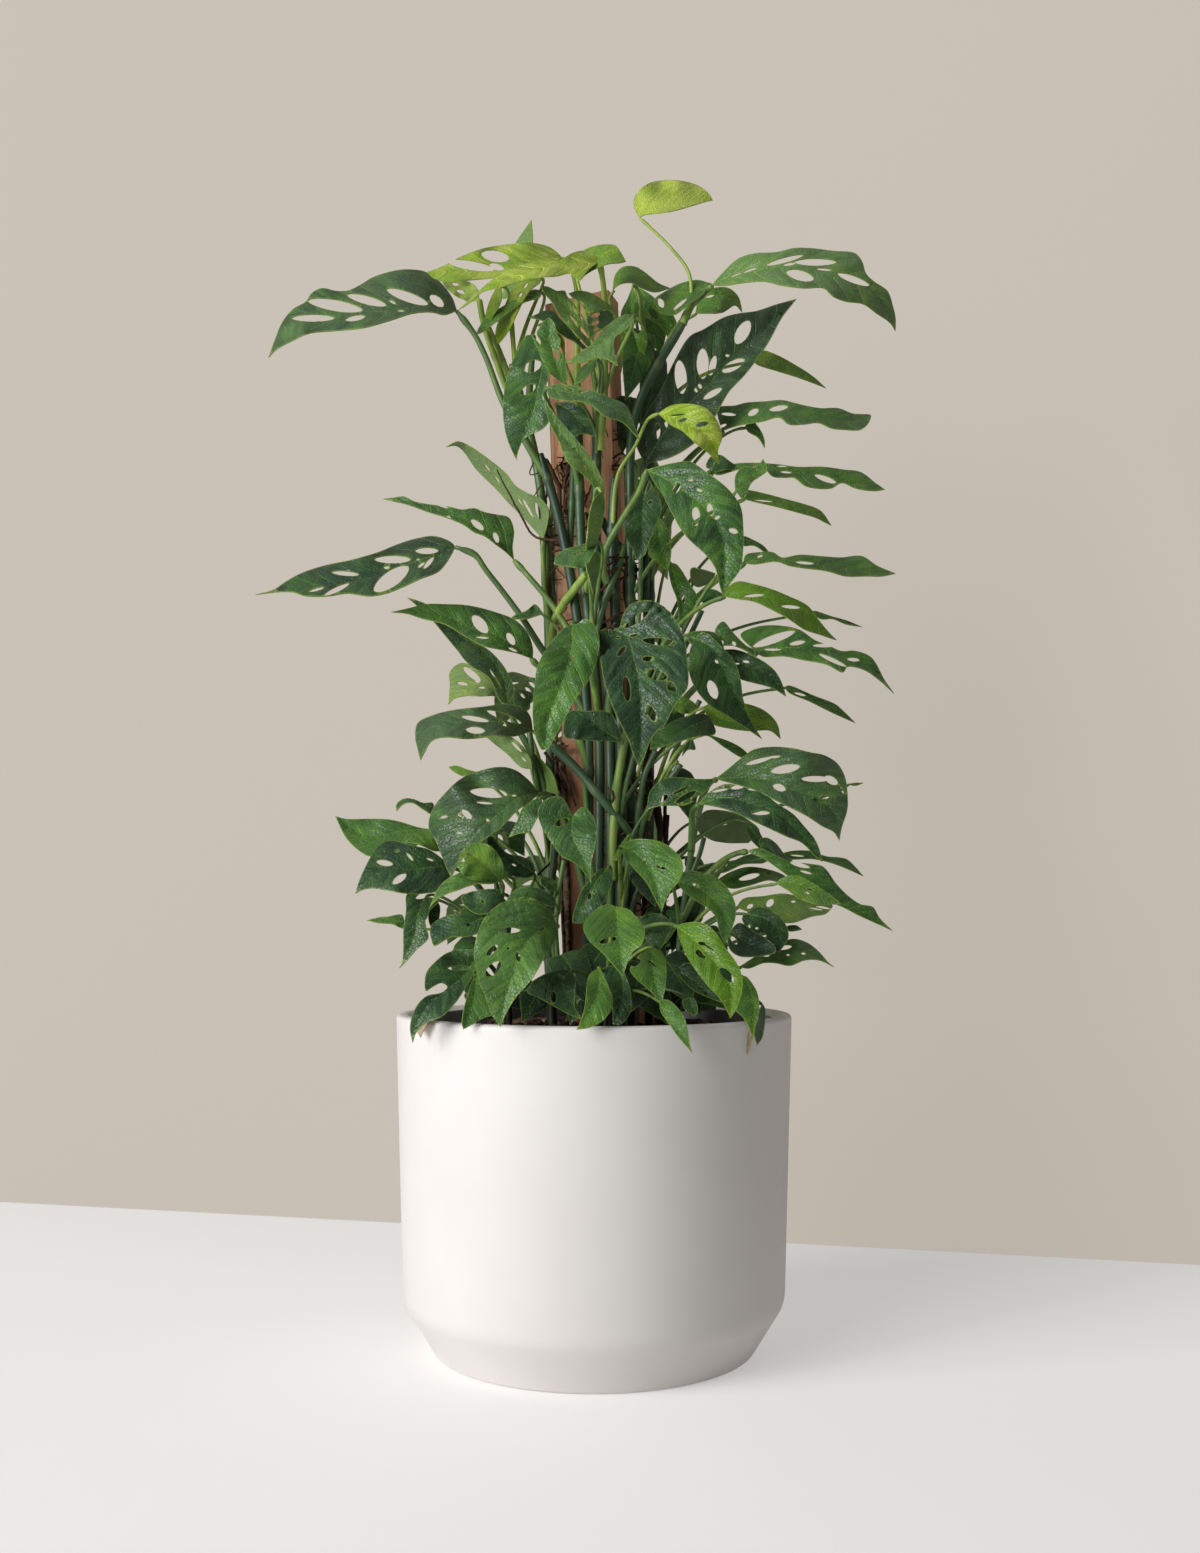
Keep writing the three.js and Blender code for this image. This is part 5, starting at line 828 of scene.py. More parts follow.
EXTRA_LEAVES = {
    "vine_left_front": [
        {"leaf": [430, -40, -44, 60, 0.05], "tone": 0.3, "rib": [-38, 548, -46, 546, -53, 546, -63, 544],
            "up": [-44, 555, -51, 550, -59, 547], "down": [-44, 546, -51, 544]},
    ],
    "vine_left": [
        {"leaf": [715, -18, -30, 60, 0.05], "tone": 0.55, "rib": [-40, 790, -50, 786, -62, 779, -75, 770,
            -88, 758], "up": [-45, 791, -56, 785, -69, 778, -80, 770, -86, 763], "down": [-40, 786, -53,
            781, -66, 772, -77, 764, -86, 758]},
        {"leaf": [720, -20, -26, 60, 0.05], "tone": 0.85, "rib": [-70, 794, -74, 784, -78, 775, -81, 764],
            "up": [-73, 792, -78, 783, -81, 773, -82, 766], "down": [-69, 789, -70, 781, -75, 772, -79,
            766]},
        {"leaf": [345, -26, 0, 110, 0.05], "tone": 0.6, "rib": [-26, 412, -34, 425, -40, 436, -46, 442],
            "up": [-31, 428, -39, 438, -44, 442], "down": [-37, 416, -42, 427, -46, 436]},
        {"leaf": [400, -2, 2, 60, 0.05], "tone": 0.2, "rib": [-60, 480, -53, 482, -48, 480], "up": [-60,
            490, -51, 490, -46, 488], "down": [-59, 477, -51, 475, -48, 477], "holes": [[-54, 486.5, 7,
            2.5, -50]]},
    ],
    "vine_left_back": [
        {"leaf": [350, 20, 30, 60, 0.05], "tone": 0.5, "rib": [-88, 429, -99, 432, -109, 433], "up": [-95,
            431, -103, 434], "down": [-97, 426, -106, 430]},
        {"leaf": [330, 8, 14, 60, 0.1], "tone": 0.2, "rib": [-120, 403, -128, 405, -136, 408, -144, 406,
            -148, 400], "up": [-121, 406, -128, 406, -136, 409, -143, 409, -148, 405], "down": [-122, 398,
            -128, 401, -136, 406, -143, 405, -147, 401]},
        {"leaf": [285, 0, 4, 70, 0.05], "tone": 0.4, "rib": [-142, 316, -151, 318, -170, 318], "up": [-144,
            322, -153, 321, -162, 320], "down": [-143, 312, -151, 315, -162, 316]},
    ],
    "vine_low_left": [
        {"leaf": [246, -92, -98, 60, 0.05], "tone": 1, "dry": True, "rib": [-118, 256, -126, 247, -130,
            230], "up": [-124, 256, -132, 251, -136, 242], "down": [-118, 250, -124, 242, -128, 235]},
        {"leaf": [280, -30, -36, 20, 0.05], "tone": 0.15, "rib": [-120, 332, -122, 321, -121, 310], "up":
            [-123, 328, -124, 318], "down": [-116, 330, -116, 320, -119, 311]},
        {"leaf": [280, -60, -66, 40, 0.08], "tone": 0.15, "rib": [-66, 338, -78, 338, -89, 330, -99, 332],
            "up": [-71, 341, -84, 341, -96, 338, -100, 335], "down": [-71, 328, -80, 323, -89, 323, -96,
            328], "holes": [[-83.5, 332, 3, 2, -60]]},
        {"leaf": [300, -40, -50, 30, 0.1], "tone": 0.15, "rib": [-70, 386, -62, 381, -54, 374, -52, 366],
            "up": [-66, 392, -56, 390, -52, 383, -52, 374], "down": [-70, 381, -66, 374, -60, 370, -56,
            368], "holes": [[-68, 381, 14.5, 4.5, -60]]},
        {"leaf": [275, -94, -104, 60, 0.08], "tone": 0.2, "rib": [-28, 330, -42, 338, -51, 340, -66, 332],
            "up": [-31, 336, -42, 342, -53, 343, -62, 338], "down": [-31, 328, -42, 332, -51, 335, -62,
            332]},
        {"leaf": [280, -70, -76, 60, 0.05], "tone": 0.15, "rib": [-28, 341, -34, 346, -40, 350], "up":
            [-28, 345, -33, 350, -38, 351], "down": [-31, 340, -36, 342, -40, 346]},
        {"leaf": [255, -80, -90, 20, 0.05], "tone": 0.12, "rib": [-48, 274, -51, 268, -56, 265], "up":
            [-42, 283, -49, 274], "down": [-46, 268, -51, 265]},
    ],
    "vine_centre_left": [
        {"leaf": [700, -76, -78, 60, 0.05], "tone": 0.8, "rib": [-22, 744, -25, 751, -28, 759], "up": [-22,
            751, -24, 756], "down": [-24, 746, -26, 751]},
        {"leaf": [530, -93, -95, 60, 0.05], "tone": 0.6, "rib": [6, 640, 4, 624, 0, 610, -4, 590], "up":
            [8, 632, 7, 620, 4, 607, -2, 594], "down": [0, 634, -4, 620, -5, 608, -6, 597]},
        {"leaf": [515, -97, -101, 60, 0.05], "tone": 0.5, "rib": [0, 594, 0, 584, 0, 574, -1, 563], "up":
            [-6, 586, -4, 576], "down": [4, 594, 4, 580]},
        {"leaf": [335, -100, -108, 20, 0.1], "tone": 0.22, "rib": [-41, 410, -51, 403, -56, 392, -64, 380],
            "up": [-46, 408, -53, 403, -58, 392], "down": [-38, 405, -44, 392, -49, 384, -56, 383]},
    ],
    "vine_centre": [
        {"leaf": [700, -58, -62, 60, 0.05], "tone": 0.12, "rib": [-4, 751, 0, 759, 5, 766, 15, 770], "up":
            [-4, 758, -5, 766, -5, 772, 0, 775, 7, 776, 13, 774], "down": [-2, 754, 2, 759, 8, 762, 13,
            766], "holes": [[1, 772, 7, 3.5, 15], [1, 766, 6, 3.5, 20], [1.5, 761, 4.5, 2, 30]]},
        {"leaf": [660, -70, -76, 55, 0.05], "tone": 0.3, "rib": [2, 739, -4, 734, -10, 728, -15, 719],
            "up": [-3, 737, -8, 734, -12, 729], "down": [2, 734, -3, 728, -8, 723]},
        {"leaf": [720, -60, -70, 48, 0.1], "tone": 0.8, "rib": [-11, 816, 2, 816, 14, 816, 24, 812], "up":
            [-8, 820, 2, 824, 16, 824, 20, 819], "down": [-10, 801, 0, 806, 10, 810, 20, 811]},
    ],
    "vine_centre_right": [
        {"leaf": [310, -84, -92, 20, 0.05], "tone": 0.5, "rib": [26, 382, 20, 374, 14, 363], "up": [22,
            378, 16, 368], "down": [24, 374, 17, 363]},
    ],
    "vine_right_front": [
        {"leaf": [440, -52, -56, 60, 0.08], "tone": 0.2, "rib": [70, 533, 82, 530, 93, 526, 99, 517], "up":
            [72, 534, 84, 535, 93, 532], "down": [72, 526, 82, 522, 91, 519]},
        {"leaf": [440, -48, -50, 60, 0.1], "tone": 0.3, "rib": [90, 526, 97, 534, 104, 530, 120, 521],
            "up": [90, 530, 92, 538, 97, 542, 104, 534, 114, 524], "down": [93, 524, 104, 524, 116, 519,
            122, 514], "holes": [[105, 525.5, 4, 3, -60], [95.5, 526, 4, 4, 0]]},
        {"leaf": [405, -50, -54, 50, 0.1], "tone": 0.65, "rib": [60, 482, 70, 480, 78, 477], "up": [64,
            486, 74, 482], "down": [62, 475, 70, 473]},
        {"leaf": [735, -30, -26, 60, 0.1], "tone": 0.5, "rib": [86, 796, 70, 788, 58, 781, 49, 773], "up":
            [78, 798, 66, 796, 51, 788, 46, 784], "down": [82, 788, 70, 779, 60, 772], "holes": [[64.5,
            780, 13.5, 3, 40], [50, 780.5, 8.5, 5.5, -70]]},
    ],
    "vine_right": [
        {"leaf": [600, -12, -20, 40, 0.1], "tone": 0.3, "rib": [113, 688, 120, 686, 124, 682, 128, 672],
            "up": [118, 693, 124, 687, 128, 678], "down": [116, 684, 123, 680]},
        {"leaf": [560, -30, -34, 0, 0.05], "tone": 0.5, "rib": [48, 620, 49, 609, 51, 596, 55, 580], "up":
            [44, 616, 42, 605, 41, 592, 48, 586], "down": [51, 618, 57, 607, 58, 598, 57, 586]},
        {"leaf": [585, -22, -26, 30, 0.1], "tone": 0.2, "rib": [88, 656, 93, 664, 99, 666, 108, 658], "up":
            [84, 658, 88, 666, 95, 667, 102, 662], "down": [91, 654, 99, 656, 106, 656]},
        {"leaf": [470, -20, -26, 60, 0.05], "tone": 0.2, "rib": [78, 559, 90, 563, 99, 561], "up": [80,
            565, 90, 566], "down": [84, 555, 91, 558]},
        {"leaf": [470, -14, -14, 105, 0.05], "tone": 0.4, "rib": [73, 570, 82, 576, 91, 578], "up": [73,
            582, 82, 581], "down": [78, 568, 88, 572]},
        {"leaf": [395, -44, -46, 70, 0.05], "tone": 0.5, "rib": [82, 458, 97, 452, 108, 446, 116, 442],
            "up": [90, 456, 104, 451, 112, 446], "down": [88, 455, 99, 447, 112, 440]},
        {"leaf": [390, -40, -40, 0, 0.05], "tone": 0.2, "rib": [74, 455, 71, 448, 66, 441], "up": [76, 446,
            71, 446], "down": [70, 452, 67, 446]},
        {"leaf": [330, -24, -28, 30, 0.05], "tone": 0.2, "rib": [114, 392, 120, 383, 126, 376, 129, 368],
            "up": [120, 390, 126, 381, 129, 374], "down": [114, 386, 118, 378, 124, 372]},
        {"leaf": [330, -40, -44, 60, 0.1], "tone": 0.1, "rib": [128, 366, 126, 374, 131, 378, 149, 363],
            "up": [124, 378, 129, 380, 136, 376, 144, 366], "down": [131, 366, 138, 365, 144, 361]},
    ],
    "vine_right_back": [
        {"leaf": [500, 4, 8, 70, 0.05], "tone": 0.3, "rib": [112, 604, 120, 601, 126, 598, 135, 588], "up":
            [112, 606, 122, 602, 128, 598], "down": [112, 599, 120, 599, 128, 594]},
        {"leaf": [320, -6, 0, 60, 0.05], "tone": 0.3, "rib": [89, 353, 102, 358, 116, 364, 131, 363], "up":
            [98, 358, 112, 366, 124, 368, 132, 365], "down": [98, 354, 112, 360, 127, 361]},
        {"leaf": [310, 10, 12, 100, 0.05], "tone": 0.4, "rib": [68, 366, 76, 361, 84, 356], "up": [71, 366,
            80, 364], "down": [69, 358, 76, 355, 84, 354]},
        {"leaf": [340, 10, 12, 80, 0.02], "tone": 0.3, "rib": [190, 420, 202, 421], "up": [196, 421],
            "down": [196, 419]},
    ],
    "vine_low_right": [
        {"leaf": [246, -99, -103, 0, 0.05], "tone": 1, "dry": True, "rib": [116, 246, 116, 232, 115, 217],
            "up": [113, 244, 112, 233, 113, 224], "down": [121, 244, 120, 232, 117, 223]},
        {"leaf": [265, -48, -50, 70, 0.05], "tone": 0.1, "rib": [144, 313, 150, 313, 156, 311], "up": [146,
            314, 152, 314], "down": [146, 310, 151, 310]},
        {"leaf": [262, -70, -70, 60, 0.05], "tone": 0.15, "rib": [84, 290, 76, 300, 74, 310], "up": [86,
            301, 80, 310], "down": [80, 292, 74, 301]},
    ],
    "vine_low_front": [
        {"leaf": [255, -100, -124, 0, 0.1], "tone": 0.12, "rib": [18, 285, 22, 268, 20, 254, 14, 240],
            "up": [6, 281, 11, 265, 14, 250], "down": [24, 276, 28, 261, 27, 248, 20, 240]},
        {"leaf": [262, -96, -104, 40, 0.08], "tone": 0.12, "rib": [59, 314, 51, 308, 47, 301, 46, 294],
            "up": [54, 320, 46, 323, 36, 321, 31, 320], "down": [54, 303, 51, 298, 47, 293]},
        {"leaf": [250, -118, -124, 30, 0.05], "tone": 0.2, "rib": [72, 260, 74, 252, 76, 246], "up": [76,
            258, 78, 250], "down": [66, 258, 69, 250]},
    ],
}

# ---- Meshes ---------------------------------------------------------------------------------


def mesh_object(name, points, faces, materials, flat=None, slots=None, fields=None):
    """An object from points in millimetres and triangles, shaded smooth except where flat."""
    mesh = bpy.data.meshes.new(name)
    mesh.from_pydata(np.asarray(points, dtype=float) * MM, [], np.asarray(faces, dtype=int))
    smooth = np.ones(len(faces), dtype=bool) if flat is None else ~np.asarray(flat)
    mesh.polygons.foreach_set("use_smooth", smooth)
    if slots is not None:
        mesh.polygons.foreach_set("material_index", np.asarray(slots, dtype=np.int32))
    for key, values in (fields or {}).items():
        layer = mesh.attributes.new(key, "FLOAT", "POINT")
        layer.data.foreach_set("value", np.asarray(values, dtype=np.float32))
    for material in materials:
        mesh.materials.append(material)
    mesh.update()
    made = bpy.data.objects.new(name, mesh)
    bpy.context.scene.collection.objects.link(made)
    return made


def grid_faces(rows, columns, wrap):
    """Triangles of a grid of rows x columns points; wrap joins the last column to the first."""
    r, c = np.meshgrid(np.arange(rows - 1), np.arange(columns if wrap else columns - 1), indexing="ij")
    a = (r * columns + c).ravel()
    b = (r * columns + (c + 1) % columns).ravel()
    return np.vstack([np.column_stack([a, b, b + columns]), np.column_stack([a, b + columns, a + columns])])


def end_fans(rows, sides):
    """Triangles that close both ends of a tube of rows x sides points, whose two centres follow it."""
    turn = np.arange(sides)
    after = (turn + 1) % sides
    last, centre = (rows - 1) * sides, rows * sides
    start = np.column_stack([np.full(sides, centre), after, turn])
    end = np.column_stack([np.full(sides, centre + 1), last + turn, last + after])
    return np.vstack([start, end])


def unit(vectors):
    """Vectors at length one."""
    vectors = np.asarray(vectors, dtype=float)
    return vectors / np.linalg.norm(vectors, axis=-1, keepdims=True)


def turned_about(points, degrees):
    """Points turned about Z."""
    angle = math.radians(degrees)
    turn = np.array([[math.cos(angle), -math.sin(angle), 0], [math.sin(angle), math.cos(angle), 0],
                     [0, 0, 1]])
    return points @ turn.T


class Skin:
    """Surfaces gathered into one piece, with a material slot and point fields for each."""

    KEYS = ("tone", "vein", "rib", "edge", "under", "along", "sheen")

    def __init__(self, degrees=0):
        self.degrees = degrees
        self.points, self.faces, self.flat, self.slots = [], [], [], []
        self.fields = {key: [] for key in self.KEYS}
        self.count = 0

    def add(self, points, faces, slot=0, flat=False, **fields):
        """Adds one surface; a field that isn't given is nought all over it."""
        self.points.append(turned_about(points, self.degrees))
        self.faces.append(np.asarray(faces) + self.count)
        self.flat.append(np.full(len(faces), flat))
        self.slots.append(np.full(len(faces), slot))
        for key in self.KEYS:
            self.fields[key].append(np.broadcast_to(fields.get(key, 0.0), len(points)))
        self.count += len(points)

    def build(self, name, materials):
        """The piece as an object."""
        fields = {key: np.concatenate(values) for key, values in self.fields.items()}
        return mesh_object(name, np.concatenate(self.points), np.concatenate(self.faces), materials,
                           np.concatenate(self.flat), np.concatenate(self.slots), fields)


def place(piece, nodes=()):
    """The piece rides on the one body and stands for CAD nodes."""
    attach(piece, "root")
    if nodes:
        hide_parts(*nodes)
    return piece


# ---- Curves and tubes -----------------------------------------------------------------------


def on_sight_line(x, z, y):
    """A point of the front elevation carried along the sight line to depth y."""
    return EYE + (np.array([x, 0.0, z]) - EYE) * (1 - y / EYE[1])


def spline(points, count):
    """A smooth curve through the points: Catmull-Rom, each stretch the cubic of its neighbours."""
    knots = np.asarray(points, dtype=float)
    padded = np.vstack([2 * knots[0] - knots[1], knots, 2 * knots[-1] - knots[-2]])
    t = np.linspace(0, len(knots) - 1, count)
    i = np.minimum(t.astype(int), len(knots) - 2)
    u = (t - i)[:, None]
    a, b, c, d = padded[i], padded[i + 1], padded[i + 2], padded[i + 3]
    return 0.5 * (2 * b + (c - a) * u + (2 * a - 5 * b + 4 * c - d) * u**2 + (3 * b - a - 3 * c + d) * u**3)


def bezier(a, b, c, d, count):
    """The cubic with end points a and d and handles b and c."""
    t = np.linspace(0, 1, count)[:, None]
    return a * (1 - t)**3 + 3 * b * t * (1 - t)**2 + 3 * c * t**2 * (1 - t) + d * t**3


def frames_along(path):
    """Two unit vectors square to the path at each point, turned as little as it allows."""
    tangents = unit(np.gradient(path, axis=0))
    first = np.cross(tangents[0], [0.31, 0.17, 0.93])
    sides = [unit(first)]
    for tangent in tangents[1:]:
        sides.append(unit(sides[-1] - tangent * np.dot(sides[-1], tangent)))
    sides = np.array(sides)
    return sides, np.cross(tangents, sides)


def tube(path, radii, sides):
    """A round bar: a circle of the given radius carried along the path, its ends closed."""
    across, up = frames_along(path)
    angle = np.linspace(0, 2 * np.pi, sides, endpoint=False)[None, :, None]
    radii = np.broadcast_to(radii, len(path))[:, None, None]
    rings = path[:, None] + radii * (across[:, None] * np.cos(angle) + up[:, None] * np.sin(angle))
    faces = grid_faces(len(path), sides, True)
    points = np.vstack([rings.reshape(-1, 3), path[:1], path[-1:]])
    return points, np.vstack([faces, end_fans(len(path), sides)])


# ---- Leaves ---------------------------------------------------------------------------------


def leaf_from(row, shape=None):
    """A row of the tables as a leaf: its base, the axes of its blade, and its measures.

    The ends of a drawn outline stand in for the row's own base and tip.
    """
    joint, bx, bz, by, tx, tz, ty, width, tilt, arch, holes, tone = row
    if shape:
        (bx, bz), (tx, tz) = pairs(shape["rib"])[[0, -1]]
        tilt = shape.get("tilt", tilt)
    base, tip = on_sight_line(bx, bz, by), on_sight_line(tx, tz, ty)
    length = np.linalg.norm(tip - base)
    along = (tip - base) / length
    to_eye = EYE - (base + tip) / 2
    to_eye = unit(to_eye - along * np.dot(to_eye, along))
    up = np.cross(along, to_eye)
    if up[2] + 0.3 * up[0] < 0:
        up = -up
    normal = to_eye * math.cos(math.radians(tilt)) + up * math.sin(math.radians(tilt))
    return {"joint": joint, "base": base, "along": along, "normal": normal, "across": np.cross(normal, along),
            "length": length, "width": width, "arch": arch, "holes": holes, "tone": tone, "tilt": tilt,
            "depths": (by, ty)}


def blade_profile(s):
    """Half-width at s along the midrib as a share of the widest: 2.7 s^0.5 (1 - s)^1.1."""
    s = np.clip(s, 0, 1)
    return 2.7 * s**0.5 * (1 - s)**1.1


def blade_points(leaf, s, q, lift, shape):
    """Points of the blade at s along the midrib and q to the side, lifted off its middle skin.

    The midrib arches by arch L sin(pi s^0.85), the halves fold up by |q| sin(fold) and droop by
    q^2 / W; shape adds a twist about the midrib, a sideways bend and a wave of the margin.
    """
    fold = math.radians(BLADE["fold"])
    half = leaf["width"] / 2
    along = np.maximum(s, 0)
    rise = leaf["arch"] * leaf["length"] * np.sin(np.pi * along**0.85)
    rise = rise - shape["curl"] * leaf["length"] * np.maximum(s - 0.7, 0)**2 * 4
    reach = np.clip(np.abs(q) / half, 0, 1)
    turns = shape["waves"] * s + np.where(q > 0, 0.31, 0.0)
    wave = shape["wave"] * half * reach**2 * np.sin(2 * np.pi * turns + shape["start"])
    height = np.abs(q) * math.sin(fold) - BLADE["droop"] * q**2 / half + wave + lift
    side = q * math.cos(fold)
    twist = shape["twist"] * (s - 0.25)
    cosine, sine = np.cos(twist), np.sin(twist)
    side, height = side * cosine - height * sine, side * sine + height * cosine
    side = side + shape["bend"] * leaf["length"] * np.sin(np.pi * along)
    return (leaf["base"] + np.outer(leaf["length"] * s, leaf["along"]) + np.outer(rise + height,
                                                                                  leaf["normal"])
            + np.outer(side, leaf["across"]))


def vein_shift(leaf, q):
    """How far towards the tip a side vein has run when it is q from the midrib."""
    slant = math.tan(math.radians(90 - BLADE["vein_angle"]))
    return slant * np.abs(q) + 0.3 * q**2 / (leaf["width"] / 2)


def vein_phase(leaf, pitch, x, q):
    """A number that is whole on every side vein and grows by one from each to the next."""
    along = (x / leaf["length"] - BLADE["first_vein"]) / pitch
    return along - vein_shift(leaf, q) / (pitch * leaf["length"]) + 0.5 - 0.25 * np.tanh(q / 2)


def quilting(leaf, pitch, phase, q, edge):
    """How far the blade stands up between its side veins: (1 - cos) / 2, fading at rib and edge."""
    quilt = BLADE["quilt"] * pitch * leaf["length"] * (0.5 - 0.5 * np.cos(2 * np.pi * phase))
    fade = BLADE["quilt_fade"]
    return quilt * np.clip(np.abs(q) / fade, 0, 1) * np.clip(edge / fade, 0, 1)


def margin_loop(leaf, pitch):
    """The outline, from the heel round the tip and back: the profile with a bulge at the base."""
    u = (np.linspace(0, 1, 46)[1:-1])**1.25
    bulge = 0.09 * np.sin(np.pi * np.minimum(4 * u, 1))
    x, q = (u - bulge) * leaf["length"], blade_profile(u) * leaf["width"] / 2
    q = q * (1 + 0.014 * np.cos(2 * np.pi * vein_phase(leaf, pitch, x, q)))
    heel = PETIOLE["radius"]
    right, left = np.column_stack([x, q]), np.column_stack([x, -q])[::-1]
    return np.vstack([[[0, heel]], right, [[leaf["length"], 0]], left, [[0, -heel]]])


def hole_loops(leaf, pitch, count, draw):
    """The holes of both halves: ovals between two side veins, from near the midrib outwards."""
    loops = []
    for side in (1, -1):
        for i in range(count):
            root = BLADE["first_vein"] + pitch * (i + 0.25 * side)
            if root < 0.09:
                continue
            size = draw.uniform(0.75, 1.1) * (1 - 0.09 * i)
            half = blade_profile(root + 0.04) * leaf["width"] / 2
            outer = blade_profile(root + 0.5 * half / leaf["length"] + 0.05) * leaf["width"] / 2
            near, far = 0.17 * half, 0.17 * half + 0.56 * size * min(half, outer * 1.05)
            if outer < 7:
                continue
            t = (1 - np.cos(np.linspace(0, np.pi, 10))) / 2
            q = near + (far - near) * t
            breadth = 0.3 * size * pitch * leaf["length"] * np.sin(np.pi * t)**0.75 * (1.15 - 0.4 * t)
            middle = root * leaf["length"] + vein_shift(leaf, q)
            lower = np.column_stack([middle - breadth, side * q])
            upper = np.column_stack([middle + breadth, side * q])[1:-1][::-1]
            loops.append(np.vstack([lower, upper]))
    return loops


def inside(points, loop):
    """Which points lie inside a closed loop: an odd count of crossings to their right."""
    x, y = points[:, :1], points[:, 1:]
    ax, ay = loop[:, 0], loop[:, 1]
    bx, by = np.roll(ax, -1), np.roll(ay, -1)
    crosses = ((ay > y) != (by > y)) & (x < (bx - ax) * (y - ay) / (by - ay + 1e-12) + ax)
    return crosses.sum(axis=1) % 2 == 1


def within(points, outline, holes):
    """Which points lie inside the outline and in none of its holes."""
    keep = inside(points, outline)
    for hole in holes:
        keep &= ~inside(points, hole)
    return keep


def distance_to(points, others):
    """The distance of each point to the nearest of the others."""
    return np.linalg.norm(points[:, None] - others[None], axis=2).min(axis=1)


def triangulated(outline, holes, inner, chained=0):
    """Triangles that fill an outline less its holes, and the distance of each point to the edge.

    A constrained Delaunay triangulation joins the outline, the holes and the inner points, the
    first few of which can be chained in a line.
    """
    loops = [outline] + holes
    rim = np.vstack(loops)
    edges, start = [], 0
    for loop in loops:
        edges += [(start + i, start + (i + 1) % len(loop)) for i in range(len(loop))]
        start += len(loop)
    edges += [(start + i, start + i + 1) for i in range(chained - 1)]
    found = delaunay_2d_cdt([tuple(point) for point in np.vstack([rim, inner])], edges, [], 0, 1e-5, False)
    points, triangles = np.array([tuple(point) for point in found[0]]), np.array(found[2])
    triangles = triangles[within(points[triangles].mean(axis=1), outline, holes)]
    return points, triangles, distance_to(points, rim)


def flat_blade(leaf, pitch, holes, mesh_step):
    """The flat blade: points (x, q), triangles, and the distance of each point to the edge.

    Points lie on the outline, on the holes, along the midrib and on a lattice of side veins and
    lines between them.
    """
    outline = margin_loop(leaf, pitch)
    rib_x = np.linspace(0, leaf["length"], 30)[1:-1]
    rib = np.column_stack([rib_x, np.zeros(len(rib_x))])
    lines = np.arange(-2, 1 / pitch + 2, 0.25)
    rows = np.arange(mesh_step, leaf["width"] / 2, mesh_step)
    phase, q = (values.ravel() for values in np.meshgrid(lines, np.concatenate([-rows, rows])))
    share = BLADE["first_vein"] + pitch * (phase - 0.5 + 0.25 * np.tanh(q / 2))
    x = share * leaf["length"] + vein_shift(leaf, q)
    lattice = np.column_stack([x, q])
    lattice = lattice[within(lattice, outline, holes)]
    lattice = lattice[distance_to(lattice, np.vstack([outline] + holes)) > 0.4 * mesh_step]
    return triangulated(outline, holes, np.vstack([rib, lattice]), len(rib))


def open_edges(triangles):
    """Edges that one triangle alone has, in its own direction."""
    edges = np.vstack([triangles[:, [0, 1]], triangles[:, [1, 2]], triangles[:, [2, 0]]])
    size = triangles.max() + 1
    forward, backward = edges[:, 0] * size + edges[:, 1], edges[:, 1] * size + edges[:, 0]
    return edges[~np.isin(forward, backward)]


def pairs(numbers):
    """A flat list x, z, x, z as points."""
    return np.reshape(np.asarray(numbers, dtype=float), (-1, 2))


def smooth_line(points, step):
    """A curve through uneven points: Hermite cubics, each knot's slope taken from its neighbours."""
    points = np.asarray(points, dtype=float)
    gaps = np.maximum(np.linalg.norm(np.diff(points, axis=0), axis=1), 1e-6)
    knots = np.concatenate([[0], np.cumsum(np.sqrt(gaps))])
    if len(points) > 2:
        slopes = np.gradient(points, knots, axis=0)
    else:
        slopes = np.repeat(np.diff(points, axis=0) / knots[-1], 2, 0)
    made = []
    for i, gap in enumerate(gaps):
        u = np.linspace(0, 1, max(3, int(gap / step) + 1), endpoint=False)[:, None]
        h = knots[i + 1] - knots[i]
        made.append(points[i] * (1 + 2 * u) * (1 - u)**2 + points[i + 1] * u**2 * (3 - 2 * u)
                    + slopes[i] * h * u * (1 - u)**2 + slopes[i + 1] * h * u**2 * (u - 1))
    return np.vstack(made + [points[-1:]])


def oval(x, z, length, width, degrees):
    """A hole: an oval of the given length and width, its long axis turned from level."""
    count = max(12, int(length / 1.2))
    t = np.linspace(0, 2 * np.pi, count, endpoint=False)
    u, v = length / 2 * np.cos(t), width / 2 * np.sign(np.sin(t)) * np.abs(np.sin(t))**1.15
    cosine, sine = math.cos(math.radians(degrees)), math.sin(math.radians(degrees))
    return np.column_stack([x + u * cosine - v * sine, z + u * sine + v * cosine])


def nearest(points, line):
    """For each point: the share of the line's length at its nearest place, and its signed distance."""
    steps = np.concatenate([[0], np.cumsum(np.linalg.norm(np.diff(line, axis=0), axis=1))])
    slopes = unit(np.gradient(line, axis=0))
    found = np.argmin(np.linalg.norm(points[:, None] - line[None], axis=2), axis=1)
    gap = points - line[found]
    along = np.sum(gap * slopes[found], axis=1)
    side = slopes[found, 0] * gap[:, 1] - slopes[found, 1] * gap[:, 0]
    inner = (found > 0) & (found < len(line) - 1)
    distance = np.where(inner, side, np.sign(side) * np.linalg.norm(gap, axis=1))
    return np.clip((steps[found] + np.where(inner, along, 0)) / steps[-1], 0, 1), distance


def hex_lattice(low, high, step):
    """Points in rows, every other row shifted, between two corners."""
    x, z = np.meshgrid(np.arange(low[0], high[0], step), np.arange(low[1], high[1], step * 0.87))
    x = x + step / 2 * (np.arange(len(x)) % 2)[:, None]
    return np.column_stack([x.ravel(), z.ravel()])


